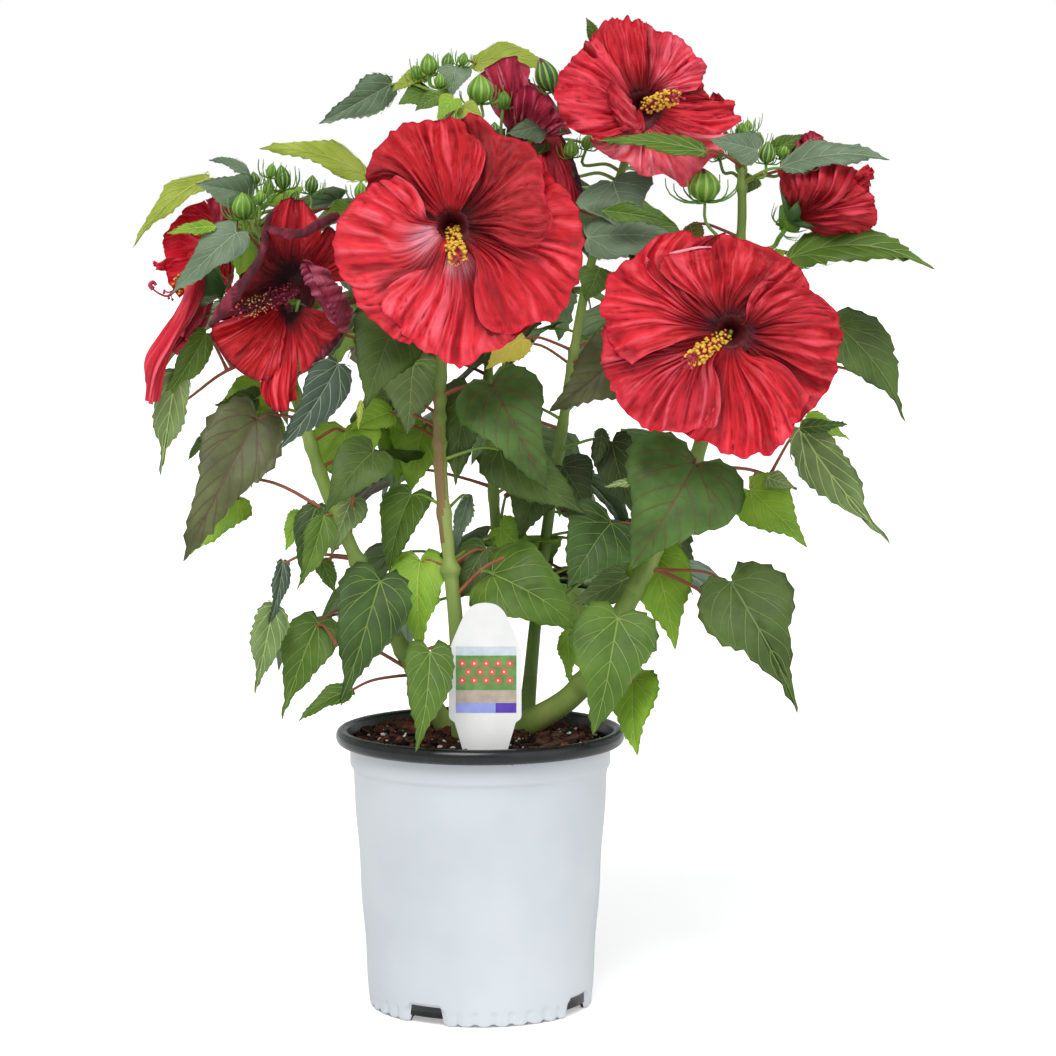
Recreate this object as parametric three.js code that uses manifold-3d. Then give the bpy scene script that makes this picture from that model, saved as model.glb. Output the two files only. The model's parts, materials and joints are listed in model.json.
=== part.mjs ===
// A hardy hibiscus shrub in a nursery pot, with its soil and a plain plant label.
// Millimetres, +Z up, +Y to the back. The origin is the centre of the pot's flat underside.
import * as THREE from 'three';
import { mergeVertices } from 'three/addons/utils/BufferGeometryUtils.js';
import Module from 'manifold-3d';

const wasm = await Module();
wasm.setup();

const GAP = 0.3; // clear space between neighbours

// ---------- named sizes ----------
const POT = {
  height: 221.5, footR: 89, shoulderR: 101.5, shoulderZ: 190, lipR: 115, lipLow: 209.5, wall: 2.2,
  floor: 5, drains: 4, drainWidth: 32, drainHeight: 8, drainTurn: -28.5,
};
const SOIL = { top: 218, edge: 209, flatR: 72 };
const TAG = { width: 56, top: 331, arch: 38, thick: 0.8, spike: 34, y: -86, lean: 0.05 };

// ---------- helpers ----------
const v3 = (p) => new THREE.Vector3(p[0], p[1], p[2]);

function seeded(seed) {
  let s = (seed * 2654435761) >>> 0;
  return () => {
    s = (Math.imul(s ^ (s >>> 15), 2246822519) + 0x9e3779b9) >>> 0;
    return ((s ^ (s >>> 13)) >>> 0) / 4294967296;
  };
}

// a closed geometry as a manifold solid
function solid(geometry) {
  const g = geometry.clone();
  for (const name of Object.keys(g.attributes)) if (name !== 'position') g.deleteAttribute(name);
  const m = mergeVertices(g, 1e-4);
  const idx = [];
  for (let i = 0; i < m.index.count; i += 3) {
    const [a, b, c] = [m.index.getX(i), m.index.getX(i + 1), m.index.getX(i + 2)];
    if (a !== b && b !== c && a !== c) idx.push(a, b, c);
  }
  let s = new wasm.Manifold(new wasm.Mesh({
    numProp: 3, vertProperties: new Float32Array(m.attributes.position.array), triVerts: new Uint32Array(idx),
  }));
  return s;
}

function geometryOf(s) {
  const mesh = s.getMesh();
  const g = new THREE.BufferGeometry();
  const pos = new Float32Array(mesh.numVert * 3);
  for (let i = 0; i < mesh.numVert; i++)
    for (let k = 0; k < 3; k++) pos[3 * i + k] = mesh.vertProperties[i * mesh.numProp + k];
  g.setAttribute('position', new THREE.BufferAttribute(pos, 3));
  g.setIndex(new THREE.BufferAttribute(new Uint32Array(mesh.triVerts), 1));
  g.computeVertexNormals();
  return g;
}

// only the largest body of a cut solid
function largest(s) {
  const parts = s.decompose();
  const body = parts.reduce((a, b) => (Math.abs(b.volume()) > Math.abs(a.volume()) ? b : a));
  return body.simplify ? body.simplify(0.12) : body;
}

// ---------- limbs ----------
// A tapering limb along a smooth curve; a level foot gives it the flat cut at its base.
function limb(points, r0, r1, { sides = 8, steps = 8, flare = 0, level = false, grow = 0 } = {}) {
  const curve = new THREE.CatmullRomCurve3(points.map(v3), false, 'centripetal');
  const pos = [];
  const idx = [];
  const up = new THREE.Vector3(0.31, 0.9, 0.12).normalize();
  for (let i = 0; i <= steps; i++) {
    const t = i / steps;
    const p = curve.getPointAt(t);
    const d = curve.getTangentAt(t);
    if (level && i === 0) d.set(0, 0, 1);
    const a = new THREE.Vector3().crossVectors(d, up).normalize();
    const b = new THREE.Vector3().crossVectors(d, a).normalize();
    const end = i === 0 ? -grow : i === steps ? grow : 0;
    p.addScaledVector(d, level && i === 0 ? -Math.max(grow, 0) : end);
    const r = r0 + (r1 - r0) * t + flare * Math.exp(-t * 22) + grow;
    for (let k = 0; k < sides; k++) {
      const w = (2 * Math.PI * k) / sides;
      const q = p.clone().addScaledVector(a, r * Math.cos(w)).addScaledVector(b, r * Math.sin(w));
      pos.push(q.x, q.y, q.z);
    }
  }
  for (let i = 0; i < steps; i++)
    for (let k = 0; k < sides; k++) {
      const [a, b] = [i * sides + k, i * sides + ((k + 1) % sides)];
      const [c, e] = [a + sides, b + sides];
      idx.push(a, e, b, a, c, e);
    }
  const last = steps * sides;
  for (let k = 1; k < sides - 1; k++) {
    idx.push(0, k, k + 1);
    idx.push(last, last + k + 1, last + k);
  }
  const g = new THREE.BufferGeometry();
  g.setAttribute('position', new THREE.BufferAttribute(new Float32Array(pos), 3));
  g.setIndex(idx);
  let s = solid(g);
  if (s.volume() < 0) {
    const flip = [];
    for (let i = 0; i < idx.length; i += 3) flip.push(idx[i], idx[i + 2], idx[i + 1]);
    g.setIndex(flip);
    s = solid(g);
  }
  return s;
}

// Stems: foot, the turns of the stem on its way up, and the radii at foot and tip.
const Z0 = SOIL.top + GAP;
const STEMS = {
  stem_front: { r: [6.2, 3.6], flare: 2.4, path: [[-14, -35, Z0], [-19, -35, 312], [-31, -25, 445], [-26, -14, 590], [-27, 4, 728]] },
  stem_left: { r: [7.2, 3.2], flare: 2.6, path: [[-26, -2, Z0], [-63, -20, 290], [-116, -40, 407], [-155, -10, 526], [-181, 20, 634]] },
  stem_back: { r: [5.0, 3.0], flare: 2.0, path: [[15, 28, Z0], [13, 50, 350], [6, 70, 503], [18, 100, 652]] },
  stem_centre: { r: [5.4, 3.0], flare: 2.2, path: [[36, 18, Z0], [46, 42, 320], [60, 50, 420], [87, 32, 584], [124, 14, 696]] },
  stem_right: { r: [9.6, 3.2], flare: 2.8, path: [[27, -6, Z0], [76, -17, 253], [111, -20, 314], [172, 0, 439], [203, 4, 590], [206, 0, 665]] },
};
const curveOf = (name) => new THREE.CatmullRomCurve3(STEMS[name].path.map(v3), false, 'centripetal');
function stemAt(name, z) {
  const c = curveOf(name);
  let best = c.getPoint(0);
  for (let i = 0; i <= 400; i++) {
    const p = c.getPoint(i / 400);
    if (Math.abs(p.z - z) < Math.abs(best.z - z)) best = p;
  }
  return [best.x, best.y, best.z];
}

// ---------- masses of leaves ----------
// Each mass: centre, half sizes, roll about the view axis in degrees, seed.
const MASSES = {
  leaves_left_low: [[-118, -48, 297], [56, 34, 60], 12, 3],
  leaves_left_outer: [[-203, -22, 427], [36, 34, 68], 10, 5],
  leaves_left_drooping: [[-241, 4, 478], [22, 20, 56], -24, 7],
  leaves_left_middle: [[-96, -52, 430], [46, 36, 64], 8, 9],
  leaves_left_upper: [[-203, 26, 622], [62, 32, 50], -22, 11],
  leaves_front_low: [[-52, -64, 288], [25, 24, 70], 4, 13],
  leaves_centre_middle: [[24, -44, 366], [52, 38, 58], -14, 15],
  leaves_centre_upper: [[26, 4, 480], [84, 38, 54], 6, 17],
  leaves_right_low: [[106, -66, 288], [40, 30, 72], -14, 19],
  leaves_right_middle: [[140, -44, 394], [74, 38, 60], 12, 21],
  leaves_right_outer_low: [[214, -26, 298], [37, 26, 60], -16, 23],
  leaves_right_outer: [[260, 0, 410], [56, 26, 42], -22, 25],
  leaves_right_edge: [[308, 22, 506], [27, 24, 44], -30, 27],
  leaves_top_left: [[-66, 4, 729], [60, 30, 30], 14, 29],
  leaves_top_middle: [[116, 48, 634], [54, 34, 40], -4, 31],
  leaves_top_right: [[262, 4, 648], [92, 30, 42], -16, 33],
  leaves_back_left_low: [[-96, 92, 330], [58, 48, 56], 10, 35],
  leaves_back_left_upper: [[-112, 120, 560], [64, 54, 66], 0, 37],
  leaves_back_centre_low: [[20, 140, 400], [62, 56, 66], 0, 39],
  leaves_back_centre_upper: [[8, 186, 570], [66, 48, 64], 0, 41],
  leaves_back_right_low: [[128, 92, 350], [60, 50, 60], -10, 43],
  leaves_back_right_upper: [[172, 124, 534], [66, 54, 66], 0, 45],
};

function foliage([centre, half, roll, seed], grow = 0) {
  const rnd = seeded(seed);
  const waves = [];
  for (let i = 0; i < 7; i++) {
    const d = new THREE.Vector3(rnd() * 2 - 1, rnd() * 2 - 1, rnd() * 2 - 1).normalize();
    waves.push([d, 1.6 + rnd() * 2.6, rnd() * 6.28, 0.05 + 0.07 * rnd()]);
  }
  const g = new THREE.IcosahedronGeometry(1, 2);
  g.deleteAttribute('normal');
  g.deleteAttribute('uv');
  const m = mergeVertices(g, 1e-5);
  const p = m.attributes.position;
  const c = Math.cos((roll * Math.PI) / 180);
  const s = Math.sin((roll * Math.PI) / 180);
  for (let i = 0; i < p.count; i++) {
    const n = new THREE.Vector3().fromBufferAttribute(p, i).normalize();
    let f = 0.93;
    for (const [d, k, ph, a] of waves) f += a * Math.sin(k * d.dot(n) * 2 + ph);
    f = Math.min(f, 1.08);
    const hang = n.z < 0 ? 1 + 0.12 * Math.sin(5 * Math.atan2(n.y, n.x) + seed) * -n.z : 1;
    const x = n.x * (half[0] * f + grow);
    const y = n.y * (half[1] * f + grow);
    const z = n.z * (half[2] * f * hang + grow);
    p.setXYZ(i, centre[0] + x * c + z * s, centre[1] + y, centre[2] - x * s + z * c);
  }
  return solid(m);
}

// ---------- large blooms ----------
// Each bloom: centre of its throat, the way it faces, radius, how far its petals cup forward, seed.
const BLOOMS = {
  bloom_front_left: [[-16, -112, 604], [0.0, -1, 0.05], 94, 20, 2],
  bloom_front_right: [[190, -112, 540], [-0.2, -1, -0.08], 93, 18, 3],
  bloom_top: [[127, -24, 712], [0.16, -1, 0.14], 74, 20, 5],
  bloom_rear_dark: [[46, 62, 694], [0.15, -0.55, 0.8], 52, 34, 6],
  bloom_left_fading: [[-142, -44, 562], [-0.45, -1, 0.0], 74, 30, 8],
  bloom_far_left_upper: [[-222, 50, 608], [-1, -0.35, 0.2], 44, 22, 9],
  bloom_far_left_lower: [[-226, -28, 546], [-0.75, -0.7, -0.62], 58, 20, 12],
  bloom_right_closing: [[238, -4, 652], [0.95, -0.4, -0.12], 42, 58, 14],
  bloom_back_left: [[-56, 206, 618], [-0.3, 1, 0.2], 84, 18, 16],
  bloom_back_right: [[158, 182, 566], [0.35, 1, 0.1], 86, 18, 18],
};

function bloom([centre, face, radius, cup, seed], grow = 0) {
  const rnd = seeded(seed);
  const turn = rnd() * 6.28;
  const thick = 3.2;
  const [around, rings] = [15, 2];
  const n = v3(face).normalize();
  const a = new THREE.Vector3().crossVectors(n, new THREE.Vector3(0, 0.12, 1)).normalize();
  const b = new THREE.Vector3().crossVectors(n, a).normalize();
  const pos = [];
  const idx = [];
  const put = (x, y, z) => {
    const q = v3(centre).addScaledVector(a, x).addScaledVector(b, y).addScaledVector(n, z);
    pos.push(q.x, q.y, q.z);
  };
  for (const side of [1, -1]) {
    put(0, 0, side * (thick / 2 + grow));
    for (let i = 1; i <= rings; i++)
      for (let k = 0; k < around; k++) {
        const w = (2 * Math.PI * k) / around;
        const t = i / rings;
        const lobe = 1 - 0.045 * (1 + Math.cos(5 * w + turn)) * t;
        const r = radius * t * lobe + (i === rings ? grow : 0);
        const h = cup * Math.pow(t, 0.8) * (1 - 0.35 * t) + 3 * t * Math.sin(3 * w + turn * 2);
        put(r * Math.cos(w), r * Math.sin(w), h + side * (thick / 2 + grow));
      }
  }
  const half = 1 + rings * around;
  for (const side of [0, 1]) {
    const o = side * half;
    const add = (x, y, z) => (side ? idx.push(x, z, y) : idx.push(x, y, z));
    for (let k = 0; k < around; k++) {
      const k2 = (k + 1) % around;
      add(o, o + 1 + k, o + 1 + k2);
      for (let i = 0; i < rings - 1; i++) {
        const [p, q] = [o + 1 + i * around + k, o + 1 + i * around + k2];
        add(p, p + around, q + around);
        add(p, q + around, q);
      }
    }
  }
  const e = 1 + (rings - 1) * around;
  for (let k = 0; k < around; k++) {
    const k2 = (k + 1) % around;
    idx.push(e + k, half + e + k, half + e + k2, e + k, half + e + k2, e + k2);
  }
  const g = new THREE.BufferGeometry();
  g.setAttribute('position', new THREE.BufferAttribute(new Float32Array(pos), 3));
  g.setIndex(idx);
  let s = solid(g);
  if (s.volume() < 0) {
    const flip = [];
    for (let i = 0; i < idx.length; i += 3) flip.push(idx[i], idx[i + 2], idx[i + 1]);
    g.setIndex(flip);
    s = solid(g);
  }
  return s;
}

// Boughs: the stem and height they leave it at, what they reach, and how far into it (1 = its centre).
const BOUGHS = {
  bough_left_low: ['stem_left', 268, 'leaves_left_low'],
  bough_left_outer: ['stem_left', 392, 'leaves_left_outer'],
  bough_left_drooping: ['stem_left', 520, 'leaves_left_drooping'],
  bough_left_middle: ['stem_left', 372, 'leaves_left_middle'],
  bough_front_low: ['stem_front', 290, 'leaves_front_low'],
  bough_centre_middle: ['stem_front', 330, 'leaves_centre_middle'],
  bough_right_low: ['stem_right', 268, 'leaves_right_low'],
  bough_right_outer_low: ['stem_right', 352, 'leaves_right_outer_low'],
  bough_right_outer: ['stem_right', 430, 'leaves_right_outer'],
  bough_right_edge: ['stem_right', 500, 'leaves_right_edge'],
  bough_back_left_low: ['stem_left', 276, 'leaves_back_left_low'],
  bough_back_left_upper: ['stem_left', 500, 'leaves_back_left_upper'],
  bough_back_centre_low: ['stem_back', 350, 'leaves_back_centre_low'],
  bough_back_centre_upper: ['stem_back', 520, 'leaves_back_centre_upper'],
  bough_back_right_low: ['stem_centre', 300, 'leaves_back_right_low'],
  bough_back_right_upper: ['stem_centre', 470, 'leaves_back_right_upper'],
  bough_bloom_front_left: ['stem_front', 556, 'bloom_front_left'],
  bough_bloom_front_right: ['stem_right', 500, 'bloom_front_right'],
  bough_bloom_left: ['stem_left', 520, 'bloom_left_fading'],
  bough_bloom_back: ['stem_back', 610, 'bloom_back_left'],
};

function bough(name, grow = 0) {
  const [stem, z, target] = BOUGHS[name];
  const from = v3(stemAt(stem, z));
  const flower = target in BLOOMS;
  const to = v3((MASSES[target] || BLOOMS[target])[0]);
  if (flower) to.addScaledVector(v3(BLOOMS[target][1]).normalize(), -6);
  const way = to.clone().sub(from);
  const end = from.clone().addScaledVector(way, flower ? 1 : 0.9);
  const mid = from.clone().addScaledVector(way, 0.5);
  mid.z += way.length() * (flower ? -0.05 : 0.08);
  return limb([from, mid, end].map((p) => [p.x, p.y, p.z]), flower ? 2.6 : 3.0, flower ? 2.0 : 1.6,
    { sides: 5, steps: 2, grow });
}

// ---------- pot, soil and label ----------
const wallR = (z) => POT.footR + ((POT.shoulderR - POT.footR) * z) / POT.shoulderZ;
function potSolid() {
  const w = POT.wall;
  const [h, lo] = [POT.height, POT.lipLow];
  const profile = [
    [0, 0], [58, 0], [61, 3], [77, 3], [80, 0], [POT.footR, 0],
    [wallR(POT.shoulderZ), POT.shoulderZ], [POT.shoulderR + 1.8, POT.shoulderZ + 2.5], [POT.shoulderR + 2.4, lo],
    [112.5, lo], [POT.lipR, lo + 3.2], [POT.lipR, h - 4], [112.5, h - 0.8], [109, h],
    [106.5, h - 1.6], [POT.shoulderR + 2.4 - w, lo], [wallR(POT.shoulderZ) - w, POT.shoulderZ],
    [wallR(POT.floor) - w, POT.floor], [0, POT.floor],
  ];
  let s = solid(new THREE.LatheGeometry(profile.map(([r, z]) => new THREE.Vector2(r, z)), 28).rotateX(Math.PI / 2));
  if (s.volume() < 0) throw new Error('pot inside out');
  for (let i = 0; i < POT.drains; i++) {
    const shape = new THREE.Shape();
    const [hw, hh] = [POT.drainWidth / 2, POT.drainHeight];
    shape.moveTo(-hw, -3);
    shape.lineTo(hw, -3);
    shape.lineTo(hw, hh * 0.35);
    shape.quadraticCurveTo(hw * 0.8, hh, 0, hh);
    shape.quadraticCurveTo(-hw * 0.8, hh, -hw, hh * 0.35);
    shape.closePath();
    const g = new THREE.ExtrudeGeometry(shape, { depth: 16, bevelEnabled: false, curveSegments: 3 });
    g.rotateX(Math.PI / 2).translate(0, -80, 0).rotateZ(((POT.drainTurn + (360 * i) / POT.drains) * Math.PI) / 180);
    s = s.subtract(solid(g));
  }
  return s;
}

function soilSolid() {
  const inner = (z) => wallR(Math.min(z, POT.shoulderZ)) - POT.wall - GAP;
  const profile = [
    [0, POT.floor + GAP], [inner(POT.floor) - 0.3, POT.floor + GAP], [inner(POT.shoulderZ) - 0.2, POT.shoulderZ],
    [inner(POT.shoulderZ) + 1.6, SOIL.edge], [SOIL.flatR + 12, SOIL.top - 2], [SOIL.flatR, SOIL.top], [0, SOIL.top],
  ];
  return solid(new THREE.LatheGeometry(profile.map(([r, z]) => new THREE.Vector2(r, z)), 28).rotateX(Math.PI / 2));
}

function tagSolid(grow = 0) {
  const w = TAG.width / 2 + grow;
  const [top, shoulder, waist, foot] = [TAG.top + grow, TAG.top - 32, 246, 217];
  const neck = TAG.arch / 2 + grow;
  const shape = new THREE.Shape();
  shape.moveTo(-9 - grow, foot - TAG.spike - grow);
  shape.lineTo(9 + grow, foot - TAG.spike - grow);
  shape.lineTo(17.5 + grow, foot);
  shape.lineTo(w, waist);
  shape.lineTo(w, shoulder);
  shape.quadraticCurveTo(w - 6, shoulder + 4, neck + 1.5, shoulder + 12);
  shape.quadraticCurveTo(neck - 1, top - 1, 0, top);
  shape.quadraticCurveTo(-neck + 1, top - 1, -neck - 1.5, shoulder + 12);
  shape.quadraticCurveTo(-w + 6, shoulder + 4, -w, shoulder);
  shape.lineTo(-w, waist);
  shape.lineTo(-17.5 - grow, foot);
  shape.closePath();
  const t = TAG.thick + 2 * grow;
  const g = new THREE.ExtrudeGeometry(shape, { depth: t, bevelEnabled: false, curveSegments: 5 });
  g.translate(0, -foot, -t / 2).rotateX(Math.PI / 2 - TAG.lean).translate(5, TAG.y, foot);
  return solid(g);
}

// ---------- assembly ----------
const material = (color, roughness, side) => new THREE.MeshStandardMaterial({ color, roughness, metalness: 0, ...(side || {}) });
const LOOK = {
  pot: material('#dce2e8', 0.38), soil: material('#2e1e18', 0.95), tag: material('#f2f2f0', 0.4),
  stem: material('#6f8344', 0.6), bough: material('#7c8f4a', 0.6), leaves: material('#4a6b38', 0.55),
  red: material('#c8142b', 0.5), dark: material('#6a1026', 0.55),
};

const group = new THREE.Group();
const done = []; // [solid with its clear space, box]
function clearOf(s) {
  for (const other of done) s = s.subtract(other);
  return s;
}
function place(name, s, look, keepOut) {
  const mesh = new THREE.Mesh(geometryOf(largest(s)), look);
  mesh.name = name;
  group.add(mesh);
  if (keepOut) done.push(keepOut);
}

const tag = tagSolid();
place('pot', potSolid(), LOOK.pot);
place('soil', soilSolid().subtract(tagSolid(GAP)), LOOK.soil);
place('plant_label', tag, LOOK.tag, tagSolid(GAP));

for (const [name, st] of Object.entries(STEMS)) {
  const make = (grow) => limb(st.path, st.r[0], st.r[1], { sides: 7, steps: 7, flare: st.flare, level: true, grow });
  place(name, clearOf(make(0)), LOOK.stem, make(GAP));
}
const stemsDone = done.length;
for (const [name, b] of Object.entries(BLOOMS)) place(name, clearOf(bloom(b)), /dark|fading/.test(name) ? LOOK.dark : LOOK.red, bloom(b, GAP));
for (const name of Object.keys(BOUGHS)) place(name, clearOf(bough(name)), LOOK.bough, bough(name, GAP));
for (const [name, m] of Object.entries(MASSES)) place(name, clearOf(foliage(m)), LOOK.leaves, foliage(m, GAP));

export default group;
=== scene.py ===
# Potted hardy hibiscus: the looks of the plant, its pot, soil and label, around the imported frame.
import bpy, json, math
import numpy as np
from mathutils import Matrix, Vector

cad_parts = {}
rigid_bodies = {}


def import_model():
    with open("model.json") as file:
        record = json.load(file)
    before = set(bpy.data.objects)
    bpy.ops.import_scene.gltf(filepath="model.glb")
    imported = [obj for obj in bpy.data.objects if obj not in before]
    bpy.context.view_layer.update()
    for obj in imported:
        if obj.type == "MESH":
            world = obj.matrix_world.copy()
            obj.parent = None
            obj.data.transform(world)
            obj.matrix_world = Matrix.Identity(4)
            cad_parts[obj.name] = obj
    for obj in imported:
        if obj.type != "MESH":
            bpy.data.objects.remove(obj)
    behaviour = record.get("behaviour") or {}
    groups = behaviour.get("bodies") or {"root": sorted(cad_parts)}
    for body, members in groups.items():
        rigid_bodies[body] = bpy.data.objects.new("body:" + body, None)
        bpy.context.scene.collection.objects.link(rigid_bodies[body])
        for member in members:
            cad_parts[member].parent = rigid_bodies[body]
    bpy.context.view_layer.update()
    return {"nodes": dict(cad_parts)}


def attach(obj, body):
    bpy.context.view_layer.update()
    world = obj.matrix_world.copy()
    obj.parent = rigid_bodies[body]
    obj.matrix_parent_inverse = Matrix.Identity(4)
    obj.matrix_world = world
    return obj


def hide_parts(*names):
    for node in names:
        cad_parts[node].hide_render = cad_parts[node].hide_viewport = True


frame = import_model()
NODES = sorted(frame["nodes"])

# ------------------------------------------------------------------ camera and picture frame
W_IMG = 1056.0
CAM = np.array([0.038, -2.5, 0.624])
TILT = math.radians(5.553)
FPX = 3169.0
RT = np.array([1.0, 0.0, 0.0])
UP = np.array([0.0, math.sin(TILT), math.cos(TILT)])
FW = np.array([0.0, math.cos(TILT), -math.sin(TILT)])


def P(u, v, y=0.0):
    """The point at depth y that shows at u, v of the picture."""
    d = (u - 528) / FPX * RT + (528 - v) / FPX * UP + FW
    return CAM + d * ((y - CAM[1]) / d[1])


def project(p):
    q = np.asarray(p, float) - CAM
    w = q @ FW
    return np.stack([528 + FPX * (q @ RT) / w, 528 - FPX * (q @ UP) / w], -1)


# ------------------------------------------------------------------ small maths
def unit(v):
    v = np.asarray(v, float)
    return v / np.maximum(np.linalg.norm(v, axis=-1, keepdims=True), 1e-12)


def smooth(a, b, x):
    t = np.clip((np.asarray(x, float) - a) / (b - a), 0, 1)
    return t * t * (3 - 2 * t)


def hashed(ix, iy, seed):
    h = (ix.astype(np.int64) * 374761393 + iy.astype(np.int64) * 668265263 + int(seed) * 1274126177) & 0xFFFFFFFF
    h = ((h ^ (h >> 13)) * 1274126177) & 0xFFFFFFFF
    return ((h ^ (h >> 16)) & 0xFFFFFF) / float(0xFFFFFF)


def noise(x, y, seed=0):
    """Smooth value noise in 0..1."""
    x, y = np.broadcast_arrays(np.asarray(x, float), np.asarray(y, float))
    ix, iy = np.floor(x), np.floor(y)
    fx, fy = x - ix, y - iy
    fx = fx * fx * (3 - 2 * fx)
    fy = fy * fy * (3 - 2 * fy)
    a, b = hashed(ix, iy, seed), hashed(ix + 1, iy, seed)
    c, d = hashed(ix, iy + 1, seed), hashed(ix + 1, iy + 1, seed)
    return (a * (1 - fx) + b * fx) * (1 - fy) + (c * (1 - fx) + d * fx) * fy


def spline(points, n, closed=False):
    """Catmull-Rom through the points, evenly spaced by length."""
    p = np.asarray(points, float)
    q = np.vstack([2 * p[0] - p[1], p, 2 * p[-1] - p[-2]])
    out = []
    for i in range(len(p) - 1):
        a, b, c, d = q[i:i + 4]
        t = np.linspace(0, 1, 24, endpoint=False)[:, None]
        out.append(0.5 * (2 * b + (c - a) * t + (2 * a - 5 * b + 4 * c - d) * t ** 2 + (3 * b - a - 3 * c + d) * t ** 3))
    out.append(p[-1:])
    c = np.vstack(out)
    s = np.r_[0, np.cumsum(np.linalg.norm(np.diff(c, axis=0), axis=1))]
    w = np.linspace(0, s[-1], n)
    return np.stack([np.interp(w, s, c[:, k]) for k in range(c.shape[1])], -1)


# ------------------------------------------------------------------ mesh making
class Build:
    def __init__(self):
        self.v, self.q, self.t = [], [], []
        self.qm, self.tm, self.col = [], [], []
        self.quv, self.tuv, self.quv2, self.tuv2 = [], [], [], []
        self.n = 0

    def add(self, v, quads=None, tris=None, mat=0, tmat=None, col=None, uv=None, quv=None, uv2=None):
        v = np.asarray(v, float).reshape(-1, 3)
        k = len(v)
        uv = np.zeros((k, 2)) if uv is None else np.asarray(uv, float).reshape(-1, 2)
        uv2 = np.zeros((k, 2)) if uv2 is None else np.asarray(uv2, float).reshape(-1, 2)
        self.col.append(np.ones((k, 3)) if col is None else np.broadcast_to(np.asarray(col, float), (k, 3)))
        if quads is not None and len(quads):
            quads = np.asarray(quads, int)
            self.q.append(quads + self.n)
            self.qm.append(np.broadcast_to(np.asarray(mat, int), (len(quads),)))
            self.quv.append(uv[quads] if quv is None else quv)
            self.quv2.append(uv2[quads])
        if tris is not None and len(tris):
            tris = np.asarray(tris, int)
            self.t.append(tris + self.n)
            self.tm.append(np.broadcast_to(np.asarray(mat if tmat is None else tmat, int), (len(tris),)))
            self.tuv.append(uv[tris])
            self.tuv2.append(uv2[tris])
        self.v.append(v)
        self.n += k

    def tris(self):
        return 2 * sum(len(x) for x in self.q) + sum(len(x) for x in self.t)

    def make(self, name, mats, smooth_on=True, uv=False, col=False, uv2=False):
        v = np.concatenate(self.v)
        q = np.concatenate(self.q) if self.q else np.zeros((0, 4), int)
        t = np.concatenate(self.t) if self.t else np.zeros((0, 3), int)
        me = bpy.data.meshes.new(name)
        me.vertices.add(len(v))
        me.vertices.foreach_set("co", v.astype(np.float32).ravel())
        loops = np.concatenate([q.ravel(), t.ravel()])
        me.loops.add(len(loops))
        me.loops.foreach_set("vertex_index", loops.astype(np.int32))
        me.polygons.add(len(q) + len(t))
        start = np.concatenate([np.arange(len(q)) * 4, len(q) * 4 + np.arange(len(t)) * 3])
        me.polygons.foreach_set("loop_start", start.astype(np.int32))
        mi = np.concatenate([*(self.qm or [np.zeros(0, int)]), *(self.tm or [np.zeros(0, int)])])
        me.polygons.foreach_set("material_index", mi.astype(np.int32))
        me.polygons.foreach_set("use_smooth", np.full(len(q) + len(t), smooth_on))
        me.update(calc_edges=True)
        for on, nm, a, b in ((uv, "OFBake", self.quv, self.tuv), (uv2, "Place", self.quv2, self.tuv2)):
            if on:
                lay = me.uv_layers.new(name=nm)
                uvs = np.concatenate([np.concatenate(a).reshape(-1, 2) if a else np.zeros((0, 2)),
                                      np.concatenate(b).reshape(-1, 2) if b else np.zeros((0, 2))])
                lay.data.foreach_set("uv", uvs.astype(np.float32).ravel())
        if col:
            c = np.concatenate(self.col)
            att = me.color_attributes.new("Tint", "FLOAT_COLOR", "POINT")
            att.data.foreach_set("color", np.c_[c, np.ones(len(c))].astype(np.float32).ravel())
        for m in mats:
            me.materials.append(m)
        ob = bpy.data.objects.new(name, me)
        bpy.context.scene.collection.objects.link(ob)
        return ob


def grid_quads(rows, cols, wrap=False, off=0, flip=False):
    i, j = np.meshgrid(np.arange(rows - 1), np.arange(cols if wrap else cols - 1), indexing="ij")
    a = i * cols + j
    b = i * cols + (j + 1) % cols
    q = np.stack([a, b, b + cols, a + cols], -1).reshape(-1, 4) + off
    return q[:, ::-1] if flip else q


def frames(c):
    """Steady frames along a curve: tangent, side, other side."""
    t = unit(np.gradient(c, axis=0))
    n = np.zeros_like(c)
    ref = np.array([0.0, 1.0, 0.0]) if abs(t[0][1]) < 0.9 else np.array([1.0, 0, 0])
    n[0] = unit(np.cross(t[0], np.cross(ref, t[0])))
    for i in range(1, len(c)):
        n[i] = unit(n[i - 1] - t[i] * (n[i - 1] @ t[i]))
    return t, n, np.cross(t, n)


def tube(B, c, r, sides=8, mat=0, cap=True, col=None, bump=None):
    """A closed tapering tube along c with radii r."""
    c = np.asarray(c, float)
    r = np.broadcast_to(np.asarray(r, float), (len(c),))
    _, n, b = frames(c)
    w = np.arange(sides) * 2 * math.pi / sides
    rr = r[:, None] * np.ones((1, sides))
    if bump is not None:
        rr = rr * bump(np.arange(len(c))[:, None] / (len(c) - 1.0), w[None, :])
    v = c[:, None] + rr[..., None] * (np.cos(w)[None, :, None] * n[:, None] + np.sin(w)[None, :, None] * b[:, None])
    v = v.reshape(-1, 3)
    q = grid_quads(len(c), sides, True)
    tri = None
    if cap:
        v = np.vstack([v, c[:1], c[-1:]])
        k, k2 = np.arange(sides), (np.arange(sides) + 1) % sides
        e = (len(c) - 1) * sides
        tri = np.vstack([np.stack([np.full(sides, len(v) - 2), k2, k], -1), np.stack([np.full(sides, len(v) - 1), e + k, e + k2], -1)])
    B.add(v, q, tri, mat, col=col)


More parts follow.
